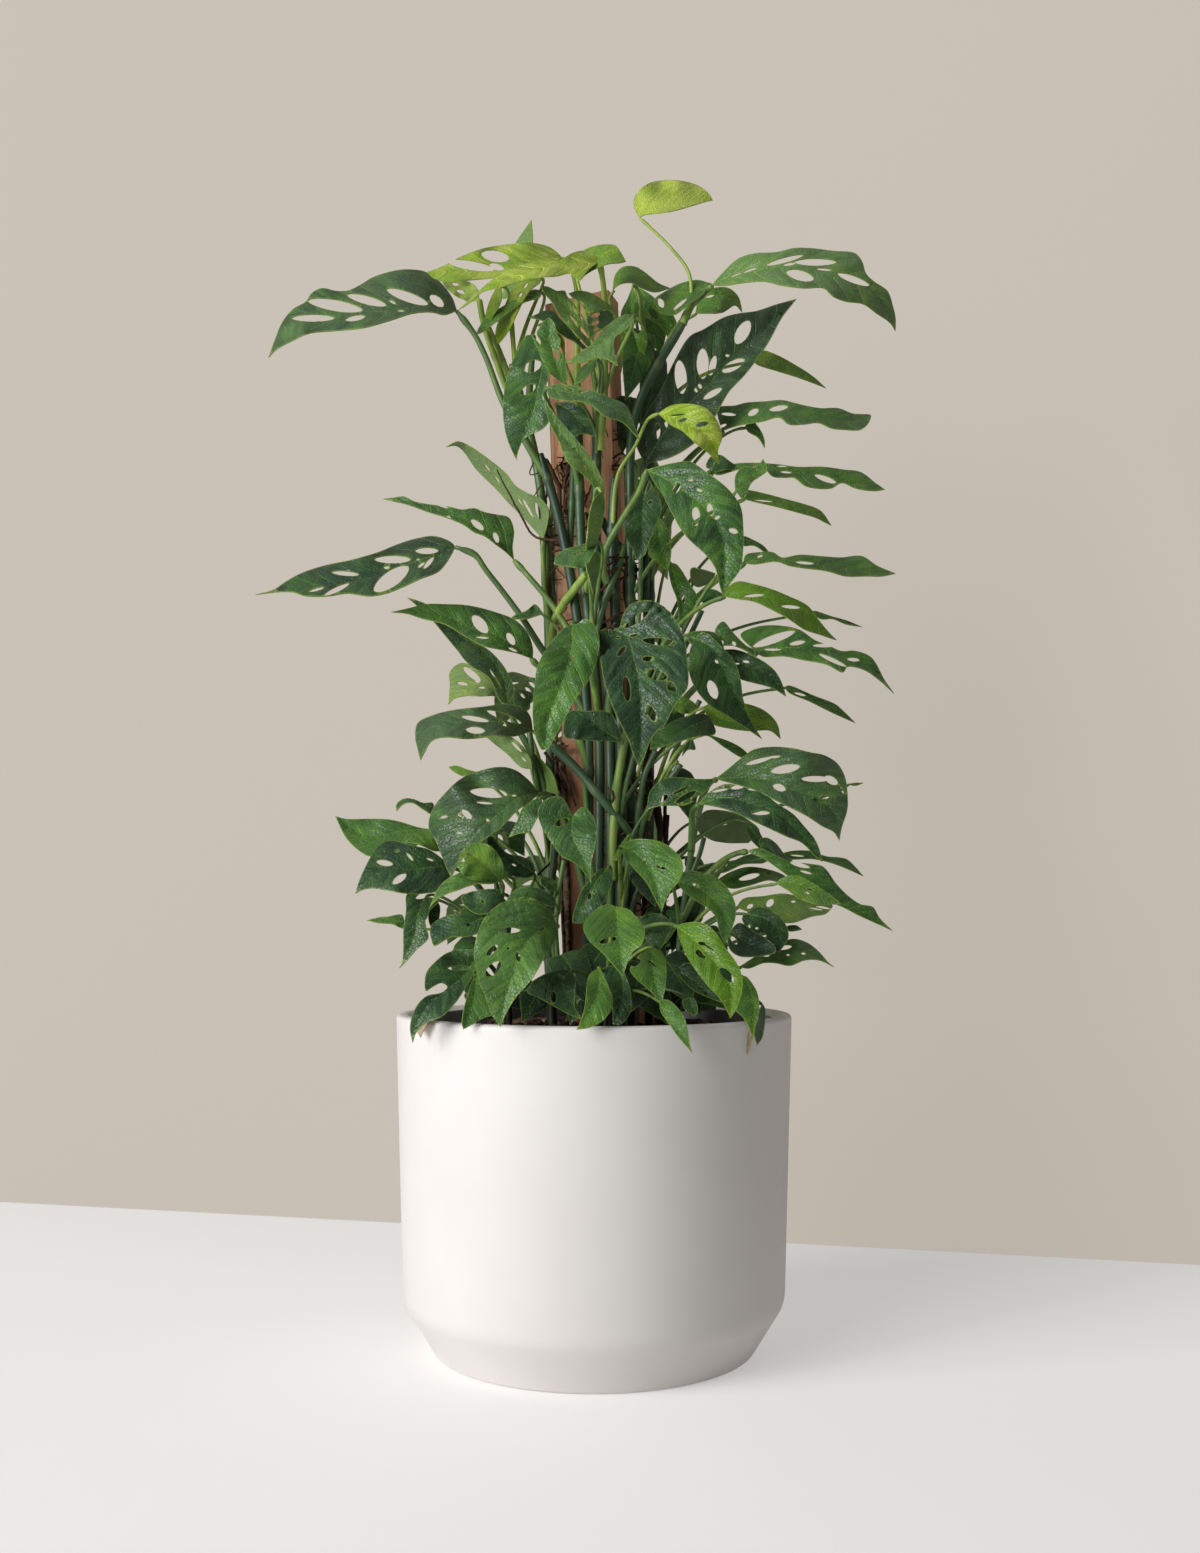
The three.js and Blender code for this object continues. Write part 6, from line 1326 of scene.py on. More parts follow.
def fill_outline(outline, holes, rib, step):
    """Triangles that fill an outline less its holes, with points along the rib and on a lattice."""
    lattice = np.vstack([rib[2:-2:2], hex_lattice(outline.min(axis=0), outline.max(axis=0), step)])
    lattice = lattice[within(lattice, outline, holes)]
    lattice = lattice[distance_to(lattice, np.vstack([outline] + holes)) > 0.45 * step]
    return triangulated(outline, holes, lattice)


def vertex_normals(points, triangles):
    """Unit normals at the points, the mean of the triangles round each."""
    corners = points[triangles]
    normals = np.cross(corners[:, 1] - corners[:, 0], corners[:, 2] - corners[:, 0])
    total = np.zeros_like(points)
    for i in range(3):
        np.add.at(total, triangles[:, i], normals)
    return total / np.maximum(np.linalg.norm(total, axis=1, keepdims=True), 1e-9)


def add_skins(skin, middle, triangles, lift, facing, fields):
    """Adds the upper and lower faces of a thin blade round its middle surface, and the rim between."""
    normals = vertex_normals(middle, triangles)
    if np.dot(normals.sum(axis=0), facing) < 0:
        normals, triangles = -normals, triangles[:, ::-1]
    half = BLADE["thickness"] / 2
    upper = middle + normals * (lift + half)[:, None]
    lower = middle + normals * (lift - half)[:, None]
    skin.add(upper, triangles, **fields)
    skin.add(lower, triangles[:, ::-1], under=1.0, **fields)
    rims = open_edges(triangles)
    names, local = np.unique(rims, return_inverse=True)
    local = local.reshape(rims.shape)
    a, b, size = local[:, 0], local[:, 1], len(names)
    faces = np.vstack([np.column_stack([b, a, a + size]), np.column_stack([b, a + size, b + size])])
    skin.add(np.vstack([upper[names], lower[names]]), faces, flat=True, tone=fields["tone"],
             slot=fields.get("slot", 0))


def add_traced_leaf(skin, leaf, shape, draw):
    """Adds a blade whose outline, midrib and holes are drawn in the front elevation.

    Every point keeps its place in the elevation. Its depth runs from the base to the tip, leans by
    q tan(tilt) with its distance q from the midrib, and follows the fold, droop, arch and wave.
    """
    rib = smooth_line(pairs(shape["rib"]), 1.5)
    ends = rib[:1], rib[-1:]
    up = smooth_line(np.vstack([ends[0], pairs(shape["up"]), ends[1]]), 1.4)
    down = smooth_line(np.vstack([ends[0], pairs(shape["down"]), ends[1]]), 1.4)
    outline = np.vstack([up, down[::-1][1:-1]])
    holes = [oval(*hole) for hole in shape.get("holes", [])]
    reach = np.abs(nearest(outline, rib)[1]).max()
    points, triangles, edge = fill_outline(outline, holes, rib, min(2.2, max(1.3, reach / 4)))
    s, q = nearest(points, rib)
    course = unit(rib[-1] - rib[0])
    if course[0] - 0.3 * course[1] < 0:
        q = -q
    rightward = max(-course[1] * np.sign(course[0]), 0)
    flatter = leaf["tilt"] if leaf["tilt"] > 90 else min(leaf["tilt"], STEEPEST_TILT) * (1 - 0.8 * rightward)
    tilt = math.radians(flatter)
    lean = float(np.clip(math.tan(tilt), -2.2, 2.2))
    facing = math.copysign(max(abs(math.cos(tilt)), 0.45), math.cos(tilt))
    across = q / abs(facing)
    half = reach / abs(facing)
    leaf["width"] = 2 * half
    ease = 1.6 * abs(facing) - 0.6
    fold = math.radians(1.8 * BLADE["fold"] * ease)
    share = np.clip(np.abs(across) / half, 0, 1)
    size, waves, start = draw.uniform(0.09, 0.17), draw.uniform(1.7, 3.0), draw.uniform(0, 6.28)
    wave = size * half * share**1.5 * np.sin(2 * np.pi * (waves * s + np.where(q > 0, 0.37, 0)) + start)
    wave = wave + 0.05 * half * share * np.sin(9 * s + 2.2 * across / half + draw.uniform(0, 6.28))
    height = np.abs(across) * math.sin(fold) - BLADE["droop"] * ease * across**2 / half + wave
    arch = leaf["arch"] * leaf["length"] * np.sin(np.pi * s**0.85)
    near, far = leaf["depths"]
    depth = near + (far - near) * s + lean * q - (height + arch) / facing
    shrink = (1 - depth / EYE[1])[:, None]
    middle = EYE + (np.column_stack([points[:, 0], np.zeros(len(points)), points[:, 1]]) - EYE) * shrink
    pitch = 0.125 if half > 22 else 0.15
    phase = vein_phase(leaf, pitch, s * leaf["length"], across)
    quilt = quilting(leaf, pitch, phase, across, edge)
    fields = {"tone": shape["tone"], "sheen": shape.get("sheen", 0.0), "vein": phase,
              "rib": np.abs(across), "edge": edge, "along": s}
    if "dry" in shape:
        fields["slot"] = 2
    add_skins(skin, middle, triangles, quilt, leaf["normal"], fields)


# Tone of each stem, pitch of the side veins with the count of holes by a row's number of them, and
# tones by name.
STEM_TONES = {"vine_left_front": 0.12, "vine_left": 0.5, "vine_centre_left": 0.3, "vine_centre": 0.2,
              "vine_centre_right": 0.08, "vine_right": 0.36, "vine_low_right": 0.5, "vine_right_front": 0.32}
VEINS_AND_HOLES = [(0.14, 0), (0.16, 2), (0.14, 3), (0.125, 4)]
TONES = {"deep": 0.1, "green": 0.42, "pale": 0.6, "lime": 0.9}
PETIOLE_TONES = {"deep": 0.5, "green": 0.62, "pale": 0.7, "lime": 1.0}


def add_leaf(skin, leaf, draw):
    """Adds a blade: two faces a little apart, quilted between their veins, and the rim between."""
    big = leaf["holes"] >= 3
    pitch, count = VEINS_AND_HOLES[leaf["holes"]]
    shape = {"wave": draw.uniform(0.04, 0.1), "waves": draw.uniform(1.6, 2.8), "start": draw.uniform(0, 6.28),
             "twist": draw.uniform(-0.5, 0.5), "bend": draw.uniform(-0.04, 0.04), "curl": draw.uniform(0,
                                                                                                       0.14)}
    holes = hole_loops(leaf, pitch, count, draw)
    points, triangles, edge = flat_blade(leaf, pitch, holes, 2.6 if big else 2.3)
    x, q = points.T
    s = x / leaf["length"]
    phase = vein_phase(leaf, pitch, x, q)
    quilt = quilting(leaf, pitch, phase, q, edge)
    tone = np.clip(TONES[leaf["tone"]] + draw.uniform(-0.1, 0.1), 0, 1)
    fields = {"tone": tone, "vein": phase, "rib": np.abs(q), "edge": edge, "along": s}
    add_skins(skin, blade_points(leaf, s, q, 0, shape), triangles, quilt, leaf["normal"], fields)


# ---- Stems, petioles and roots --------------------------------------------------------------


def stem_path(vine):
    """The middle line of a stem, from its foot in the soil to its tip."""
    foot = SOIL["edge"] - STEM["foot_depth"]
    knots = [on_sight_line(point[0], point[2] if len(point) > 2 else foot,
                           point[1]) for point in vine["stem"]]
    return spline(knots, 241)


def node_of_stem(vine, path, elevation):
    """The point of a vine's stem that the elevation shows at the given height."""
    height = on_sight_line(0, elevation, vine["stem"][-1][1])[2]
    return path[np.argmin(np.abs(path[:, 2] - height))]


def add_stem(skin, path, joints, vine_name):
    """Adds a stem: a tube that swells into a ring at each node."""
    travelled = path[:, 2]
    swell = sum(np.exp(-((travelled - joint[2]) / 2.6)**2) for joint in joints)
    girth = LOW_GIRTH if "low" in vine_name else 1.0
    thinning = np.interp(travelled, [560, 760], [1.0, 0.82])
    radii = girth * STEM["radius"] * (1 + 0.16 * np.minimum(swell, 1.2)) * thinning
    radii = radii * np.interp(path[-1, 2] - travelled, [0, 12], [0.6, 1.0])
    points, faces = tube(path, radii, STEM["sides"])
    field = np.concatenate([np.repeat(np.minimum(swell, 1), STEM["sides"]), [0, 0]])
    skin.add(points, faces, slot=1, tone=STEM_TONES.get(vine_name, 0.3), vein=field)


def petiole_path(start, leaf, shape):
    """A petiole rises from its stem and comes to the heel of the blade from behind and below.

    Where the shape has a stalk, it passes the stalk's points x, z, at depths between its two ends.
    """
    if shape and "stalk" in shape:
        ends = on_sight_line(0, 0, start[1])[1], leaf["depths"][0]
        points = pairs(shape["stalk"])
        depths = np.linspace(*ends, len(points) + 2)[1:-1]
        middle = [on_sight_line(x, z, y) for (x, z), y in zip(points, depths)]
        return smooth_line([start, *middle, leaf["base"]], 4)
    reach = np.linalg.norm(leaf["base"] - start)
    rising = start + (leaf["base"] - start) * 0.35 + np.array([0, 0, PETIOLE["rise"] * reach])
    arriving = leaf["base"] - PETIOLE["approach"] * reach * (0.55 * leaf["along"] + 0.45 * leaf["normal"])
    return bezier(start, rising, arriving, leaf["base"] + 1.5 * leaf["along"], 28)


def add_petiole(skin, start, leaf, shape):
    """Adds a petiole: a thin tube with a sheath at the stem and a knee before the blade."""
    path = petiole_path(start, leaf, shape)
    t = np.linspace(0, 1, len(path))
    radii = PETIOLE["radius"] * (1 + 0.6 * np.exp(-(t / 0.45)**2) + 0.28 * np.exp(-((t - 0.93) / 0.035)**2))
    radii = radii * np.where(t > 0.97, 0.75, 1) * np.clip(leaf["length"] / 80, 0.7, 1.35)
    points, faces = tube(path, radii, PETIOLE["sides"])
    tone = min(shape["tone"] * 0.5 + 0.52, 1) if shape else PETIOLE_TONES[leaf["tone"]]
    skin.add(points, faces, slot=1, tone=tone)


def add_stalk(skin, points, radius, tone):
    """Adds a free stalk: a tube with a node ring part of the way along."""
    path = spline(points, 10 * len(points))
    t = np.linspace(0, 1, len(path))
    ring = np.exp(-((t - 0.55) / 0.03)**2)
    made, faces = tube(path, radius * (1 + 0.14 * ring), PETIOLE["sides"])
    skin.add(made, faces, slot=1, tone=tone, vein=np.concatenate([np.repeat(ring, PETIOLE["sides"]), [0, 0]]))


def add_tangle(skin, box, draw):
    """Adds short fine roots that wander over the face of the stake within a box."""
    left, right, low, high, count, thickest = box
    for _ in range(count):
        point = draw.uniform((left, low), (right, high))
        heading, course = draw.uniform(0, 2 * np.pi), []
        for _ in range(5):
            x, z = point
            course.append(on_sight_line(x, z, STAKE_FACE[0] + STAKE_FACE[1] * x - draw.uniform(1.5, 8)))
            heading += draw.normal(0, 0.7)
            point = np.clip(point + draw.uniform(3, 8) * np.array([math.cos(heading), math.sin(heading)]),
                            (left, low), (right, high))
        add_root(skin, np.array(course), draw.uniform(0.25, thickest), draw)


def add_root(skin, points, radius, draw, tone=None):
    """Adds an aerial root: a thin tube that wanders a little and tapers to its tip."""
    thick = radius > FINE_ROOT
    path = spline(points, (12 if thick else 6) * len(points))
    wander = np.cumsum(draw.normal(0, 0.12, path.shape), axis=0)
    path = path + wander * np.sin(np.linspace(0, np.pi, len(path)))[:, None]
    radii = radius * (1 - 0.5 * np.linspace(0, 1, len(path))**2)
    made, faces = tube(path, radii, 7 if thick else 5)
    skin.add(made, faces, slot=2, tone=draw.uniform(0, 0.6) if tone is None else tone)


# ---- Shader nodes ---------------------------------------------------------------------------


def add_node(tree, kind, inputs=None, **settings):
    """A node with its settings; each input is a value or the socket that feeds it."""
    made = tree.nodes.new(kind)
    for key, value in settings.items():
        setattr(made, key, value)
    for key, value in (inputs or {}).items():
        if isinstance(value, bpy.types.NodeSocket):
            tree.links.new(value, made.inputs[key])
        else:
            made.inputs[key].default_value = value
    return made


def attribute(tree, name):
    """The value of a point field."""
    return add_node(tree, "ShaderNodeAttribute", attribute_name=name).outputs["Fac"]


def object_place(tree):
    """The Object coordinates."""
    return add_node(tree, "ShaderNodeTexCoord").outputs["Object"]


def along_axis(tree, axis):
    """One of the Object coordinates, by its letter."""
    return add_node(tree, "ShaderNodeSeparateXYZ", {0: object_place(tree)}).outputs[axis]


def maths(tree, operation, a, b=0.0):
    """One sum of two values."""
    return add_node(tree, "ShaderNodeMath", {0: a, 1: b}, operation=operation).outputs[0]


def ranged(tree, value, low, high, to_low=0.0, to_high=1.0):
    """A value carried smoothly from one range to another, and held at its ends."""
    inputs = {"Value": value, "From Min": low, "From Max": high, "To Min": to_low, "To Max": to_high}
    return add_node(tree, "ShaderNodeMapRange", inputs, interpolation_type="SMOOTHSTEP").outputs[0]


def blended(tree, share, a, b, how="MIX"):
    """Two colours mixed by a share."""
    made = add_node(tree, "ShaderNodeMix", data_type="RGBA", blend_type=how)
    for socket, value in zip([made.inputs[0], made.inputs[6], made.inputs[7]], [share, a, b]):
        if isinstance(value, bpy.types.NodeSocket):
            tree.links.new(value, socket)
        else:
            socket.default_value = value
    return made.outputs[2]


def noise(tree, scale, detail=3.0, roughness=0.55, stretch=(1, 1, 1)):
    """Noise on Object coordinates, squeezed along its axes by stretch."""
    place_at = object_place(tree)
    if stretch != (1, 1, 1):
        place_at = add_node(tree, "ShaderNodeMapping", {"Vector": place_at, "Scale": stretch}).outputs[0]
    inputs = {"Vector": place_at, "Scale": scale, "Detail": detail, "Roughness": roughness}
    return add_node(tree, "ShaderNodeTexNoise", inputs).outputs["Fac"]


def ramp(tree, value, stops):
    """A colour for a value, from stops of (place, colour)."""
    made = add_node(tree, "ShaderNodeValToRGB", {"Fac": value})
    elements = made.color_ramp.elements
    while len(elements) < len(stops):
        elements.new(0.5)
    for element, (spot, colour) in zip(elements, stops):
        element.position = spot
        element.color = (*colour, 1)
    return made.outputs["Color"]


def new_material(name, **constants):
    """A material with one Principled shader; constants are values on its own sockets."""
    material = bpy.data.materials.new(name)
    material.use_nodes = True
    tree = material.node_tree
    shader = tree.nodes["Principled BSDF"]
    for key, value in constants.items():
        shader.inputs[key.replace("_", " ").title().replace("Ior", "IOR")].default_value = value
    return material, tree, shader


def feed(tree, shader, **sockets):
    """Links values to the shader's sockets."""
    for key, value in sockets.items():
        tree.links.new(value, shader.inputs[key.replace("_", " ").title()])


def bumped(tree, height, strength, distance):
    """A normal from a height in metres times distance."""
    inputs = {"Height": height, "Strength": strength, "Distance": distance}
    return add_node(tree, "ShaderNodeBump", inputs).outputs["Normal"]


def finish(tree, shader, colour, rough, bump):
    """Links a colour, a roughness ranged from a value, and a bump from a height.

    rough is (value, its low, its high, smoothest, roughest), bump (height, strength, distance).
    """
    feed(tree, shader, base_color=colour, roughness=ranged(tree, *rough), normal=bumped(tree, *bump))


def varied(tree, tone, value, amount):
    """A tone that a value drifting about a half pushes up or down by the amount."""
    return maths(tree, "ADD", tone, ranged(tree, value, 0.3, 0.7, -amount, amount))


def group_of(name, outputs, fill):
    """A shader node group with the named outputs, filled once by a function of its tree."""
    tree = bpy.data.node_groups.new(name, "ShaderNodeTree")
    for key in outputs:
        tree.interface.new_socket(name=key, in_out="OUTPUT", socket_type="NodeSocketFloat")
    last = tree.nodes.new("NodeGroupOutput")
    for key, value in fill(tree).items():
        tree.links.new(value, last.inputs[key])
    return tree


def fill_venation(tree):
    """Masks of the midrib, the side veins, the net between them and the margin."""
    vein, rib, along = attribute(tree, "vein"), attribute(tree, "rib"), attribute(tree, "along")
    off = maths(tree, "SUBTRACT", 0.5, maths(tree, "ABSOLUTE",
                                             maths(tree, "SUBTRACT", maths(tree, "FRACT", vein), 0.5)))
    side = ranged(tree, off, 0.045, 0.01)
    half = ranged(tree, along, 0.0, 0.85, 0.95, 0.16)
    middle = ranged(tree, maths(tree, "DIVIDE", rib, half), 0.95, 0.5)
    cells = add_node(tree, "ShaderNodeTexVoronoi",
                     {"Vector": object_place(tree),
                                                    "Scale": 420.0}, feature="DISTANCE_TO_EDGE")
    net = ranged(tree, cells.outputs["Distance"], 0.09, 0.0)
    margin = ranged(tree, attribute(tree, "edge"), 0.75, 0.25)
    spot = {0: maths(tree, "MULTIPLY", vein, 3.4), 1: maths(tree, "MULTIPLY", rib, 0.09),
            2: maths(tree, "MULTIPLY", attribute(tree, "tone"), 70.0)}
    spot = add_node(tree, "ShaderNodeCombineXYZ", spot).outputs[0]
    streaks = add_node(tree, "ShaderNodeTexNoise",
                       {"Vector": spot, "Scale": 1.0, "Detail": 3.0}).outputs["Fac"]
    return {"Midrib": middle, "Side veins": side, "Net": net, "Margin": margin, "Streaks": streaks}


venation = group_of("venation", ["Midrib", "Side veins", "Net", "Margin", "Streaks"], fill_venation)


# What a leaf's own colour is multiplied by in its veins, and the colours that are mixed into it. The sheen
# colour is a painted sheen.
VEIN_LIGHT = (2.1, 1.95, 1.6, 1)
RIB_GREEN = (0.20, 0.34, 0.04, 1)
# Paler underside, made brighter still as a painted glow of light shining through the leaf.
BENEATH_GREEN_AND_PAINTED_GLOW = (0.24, 0.36, 0.11, 1)
# Painted sheen: grey-green that stands in for light whitening the leaf.
PAINTED_SHEEN_GREY = (0.25, 0.32, 0.18, 1)
MARGIN_GREEN = (0.26, 0.36, 0.06, 1)


def leaf_material(name, stops):
    """Leaf: colour by its tone, paler beneath with a painted glow through it, light veins, a painted sheen, a
    thin light margin and a soft gloss.
    """
    material, tree, shader = new_material(name, specular_ior_level=0.5)
    masks = add_node(tree, "ShaderNodeGroup", node_tree=venation)
    middle, side, net, margin, streaks = (masks.outputs[key] for key in ("Midrib", "Side veins", "Net",
                                                                         "Margin", "Streaks"))
    under = attribute(tree, "under")
    mottle = noise(tree, 38, 4)
    tone = varied(tree, attribute(tree, "tone"), mottle, 0.12)
    # The streaks lighten and darken the tone in bands along the side veins: partly the leaf's own colour,
    # partly painted sheen.
    tone = varied(tree, tone, streaks, 0.11)
    face = ramp(tree, tone, stops)
    lit = blended(tree, 1.0, face, VEIN_LIGHT, "MULTIPLY")
    face = blended(tree, maths(tree, "MULTIPLY", side, 0.7), face, lit)
    face = blended(tree, maths(tree, "MULTIPLY", net, 0.12), face, lit)
    pale_rib = blended(tree, 0.6, lit, RIB_GREEN)
    face = blended(tree, maths(tree, "MULTIPLY", middle, 0.75), face, pale_rib)
    # The underside: its own paler green plus a painted glow of light shining through.
    beneath = blended(tree, 0.5, face, BENEATH_GREEN_AND_PAINTED_GLOW)
    face = blended(tree, under, face, beneath)
    # Painted sheen: grey-green mixed into the colour by the leaf's sheen value, where light would whiten it.
    face = blended(tree, attribute(tree, "sheen"), face, PAINTED_SHEEN_GREY)
    face = blended(tree, maths(tree, "MULTIPLY", margin, 0.6), face, MARGIN_GREEN)
    rough = maths(tree, "ADD", ranged(tree, streaks, 0.3, 0.7, 0.3, 0.46),
                  maths(tree, "MULTIPLY", under, 0.16))
    height = maths(tree, "SUBTRACT", maths(tree, "ADD", noise(tree, 190, 3), streaks),
                   maths(tree, "ADD", side, maths(tree, "MULTIPLY", net, 0.5)))
    feed(tree, shader, base_color=face, roughness=rough, normal=bumped(tree, height, 0.8, 0.0008))
    return material


def stem_material():
    """Stem and petiole: smooth green skin, light at the nodes, with faint streaks along it and painted shade
    low in the pot.
    """
    material, tree, shader = new_material("stem_green", specular_ior_level=0.5)
    streaks = noise(tree, 90, 3, 0.6, (1, 1, 0.12))
    tone = varied(tree, attribute(tree, "tone"), streaks, 0.12)
    skin = ramp(tree, tone, [(0.0, (0.020, 0.045, 0.028)), (0.4, (0.050, 0.105, 0.045)),
                             (0.7, (0.12, 0.22, 0.05)),
                             (1.0, (0.38, 0.52, 0.09))])
    skin = blended(tree, maths(tree, "MULTIPLY", attribute(tree, "vein"), 0.5), skin, (0.13, 0.17, 0.07, 1))
    # Painted shade: the stem's colour turns near black from 285 mm down to 250 mm above the floor, low in the
    # pot.
    painted_shade = ranged(tree, along_axis(tree, "Z"), 0.285, 0.25, 0.0, 0.85)
    skin = blended(tree, painted_shade, skin, (0.012, 0.012, 0.007, 1))
    rough = ranged(tree, noise(tree, 240, 2), 0.3, 0.7, 0.36, 0.5)
    feed(tree, shader, base_color=skin, roughness=rough, normal=bumped(tree, streaks, 0.3, 0.0004))
    return material


def root_material():
    """Aerial root: dry brown bark, darker in patches."""
    material, tree, shader = new_material("root_brown", specular_ior_level=0.25)
    bark = noise(tree, 260, 4)
    tone = varied(tree, attribute(tree, "tone"), bark, 0.2)
    skin = ramp(tree, tone, [(0.0, (0.022, 0.010, 0.006)), (0.3, (0.055, 0.026, 0.014)),
                             (0.6, (0.12, 0.066, 0.036)),
                             (1.0, (0.42, 0.33, 0.21))])
    finish(tree, shader, skin, (bark, 0.3, 0.7, 0.65, 0.9), (bark, 0.6, 0.0006))
    return material


MATURE_STOPS = [(0.0, (0.021, 0.056, 0.023)), (0.22, (0.043, 0.117, 0.028)), (0.5, (0.089, 0.226, 0.030)),
                (0.8, (0.195, 0.36, 0.028)), (1.0, (0.34, 0.48, 0.04))]
NEW_STOPS = [(0.0, (0.05, 0.16, 0.008)), (0.6, (0.15, 0.30, 0.010)), (0.85, (0.27, 0.42, 0.018)),
             (1.0, (0.42, 0.52, 0.07))]

mature_leaf = leaf_material("mature_leaf", MATURE_STOPS)
new_leaf = leaf_material("new_leaf", NEW_STOPS)
stem_green = stem_material()
root_brown = root_material()

# ---- The plant ------------------------------------------------------------------------------


def leaves_of(vine):
    """The leaves of a vine with their drawn outlines: those of its rows, then the small extra ones."""
    shapes = OUTLINES.get(vine["name"], {})
    found = [(leaf_from(row, shapes.get(i)), shapes.get(i)) for i, row in enumerate(vine["leaves"])]
    for shape in EXTRA_LEAVES.get(vine["name"], []):
        joint, base_depth, tip_depth, tilt, arch = shape["leaf"]
        row = [joint, 0, 0, base_depth, 0, 0, tip_depth, 20, tilt, arch, 0, "green"]
        found.append((leaf_from(row, shape), shape))
    for *row, tone in FILL_LEAVES.get(vine["name"], []):
        found.append((leaf_from([*row, FILL_ARCH, 0, tone]), None))
    return found


def rows_of(table, name):
    """What follows the vine's name in each row of a table that is its own."""
    return [row[1:] for row in table if row[0] == name]


def carried(points):
    """Points x, z, y of the front elevation, each carried to its depth."""
    return [on_sight_line(*point) for point in points]


def build_vine(vine, number):
    """The pieces of one vine: its stem with the mature leaves, then each new leaf by itself."""
    draw = np.random.default_rng(100 + number)
    degrees = vine.get("turn", 0)
    path = stem_path(vine)
    leaves = leaves_of(vine)
    joints = [node_of_stem(vine, path, leaf["joint"]) for leaf, _ in leaves]
    body = Skin(degrees)
    add_stem(body, path, joints, vine["name"])
    fresh = 0
    for (leaf, shape), joint in zip(leaves, joints):
        is_new = leaf["tone"] == "lime"
        skin = Skin(degrees) if is_new else body
        if not (shape and "dry" in shape):
            add_petiole(skin, joint, leaf, shape)
        if shape:
            add_traced_leaf(skin, leaf, shape, draw)
        else:
            add_leaf(skin, leaf, draw)
        if is_new:
            fresh += 1
            node = f"{vine['name']}_new_leaf_{fresh}"
            place(skin.build(f"{node}_blade", [new_leaf, stem_green]), [node])
    for height, *points in rows_of(AERIAL_ROOTS, vine["name"]):
        add_root(body, [node_of_stem(vine, path, height)] + carried(points), AERIAL_ROOT, draw)
    for tone, radius, *points in rows_of(STALKS, vine["name"]):
        add_stalk(body, carried(points), radius, tone)
    for radius, *points in rows_of(FINE_ROOTS, vine["name"]):
        add_root(body, carried(points), radius, draw)
    for radius, *points in rows_of(BARK_STRIPS, vine["name"]):
        add_root(body, carried(points), radius, draw, BARK_TONE)
    if vine["name"] == "vine_centre":
        for box in TANGLES:
            add_tangle(body, box, draw)
    place(body.build(f"{vine['name']}_leaves", [mature_leaf, stem_green, root_brown]),
          [vine["name"]])


for number, vine in enumerate(VINES):
    build_vine(vine, number)

# ---- Pots -----------------------------------------------------------------------------------


def lathe(profile, sides):
    """A profile of (radius, height) from the axis round to the axis, turned about Z."""
    radius, height = np.asarray(profile, dtype=float).T
    angle = np.linspace(0, 2 * np.pi, sides, endpoint=False)
    inner = slice(1, -1)
    rings = np.stack([np.outer(radius[inner], np.cos(angle)), np.outer(radius[inner], np.sin(angle)),
                      np.repeat(height[inner, None], sides, 1)], axis=2).reshape(-1, 3)
    rows = len(radius) - 2
    ends = [[0, 0, height[0]], [0, 0, height[-1]]]
    return np.vstack([rings, ends]), np.vstack([grid_faces(rows, sides, True), end_fans(rows, sides)])


def rounded(corners, steps=7):
    """A profile whose corners (radius, height, rounding) are each softened by an arc-like curve."""
    corners = np.asarray(corners, dtype=float)
    made = [corners[0, :2]]
    for before, here, after in zip(corners[:-2], corners[1:-1], corners[2:]):
        point, size = here[:2], here[2]
        if size <= 0:
            made.append(point)
            continue
        enter = point + unit(before[:2] - point) * size
        leave = point + unit(after[:2] - point) * size
        for t in np.linspace(0, 1, steps):
            made.append(enter * (1 - t)**2 + 2 * point * t * (1 - t) + leave * t**2)
    made.append(corners[-1, :2])
    return made


def pot_radius(height):
    """Outer radius of the glazed pot: a bevelled foot, then a wall that widens slightly."""
    heights = [0, POT["shoulder_height"], POT["height"]]
    return float(np.interp(height, heights, [POT["foot"], POT["shoulder"], POT["rim"]]))


def glaze_material():
    """Matte white glaze: faint speckle, slight cloudiness and a soft sheen."""
    material, tree, shader = new_material("glaze", specular_ior_level=0.4)
    cloud = noise(tree, 9, 3)
    speck = noise(tree, 900, 2)
    face = ramp(tree, cloud, [(0.3, (0.80, 0.770, 0.750)), (0.7, (0.84, 0.812, 0.793))])
    face = blended(tree, ranged(tree, speck, 0.66, 0.74, 0.0, 0.25), face, (0.66, 0.64, 0.62, 1))
    finish(tree, shader, face, (cloud, 0.3, 0.7, 0.42, 0.52), (speck, 0.12, 0.0002))
    return material


def glazed_pot():
    """The cover pot: a smooth turned wall with a soft bevel, a rounded rim and a flat foot."""
    rim, height, wall = POT["rim"], POT["height"], POT["wall"]
    shoulder = POT["shoulder_height"]
    corners = [(0, 0, 0), (POT["foot"], 0, 3), (pot_radius(shoulder), shoulder, 7), (rim, height, 4),
               (rim - wall, height, 1.5), (rim - wall - 8, height - 4.5, 3), (pot_radius(shoulder) - wall,
                                                                              shoulder + 3, 8),
               (pot_radius(POT["floor"]) - wall, POT["floor"], 5), (0, POT["floor"], 0)]
    points, faces = lathe(rounded(corners), 192)
    return mesh_object("glazed_pot_wall", points, faces, [glaze_material()])


place(glazed_pot(), ["glazed_pot"])


def plastic_material():
    """Black moulded plastic: fine moulding grain, dull dust in patches."""
    material, tree, shader = new_material("nursery_plastic", specular_ior_level=0.5)
    dust = noise(tree, 60, 5, 0.65)
    face = ramp(tree, dust, [(0.35, (0.012, 0.012, 0.013)), (0.8, (0.05, 0.046, 0.042))])
    grain = noise(tree, 1400, 2)
    finish(tree, shader, face, (dust, 0.3, 0.8, 0.3, 0.6), (grain, 0.2, 0.0002))
    return material


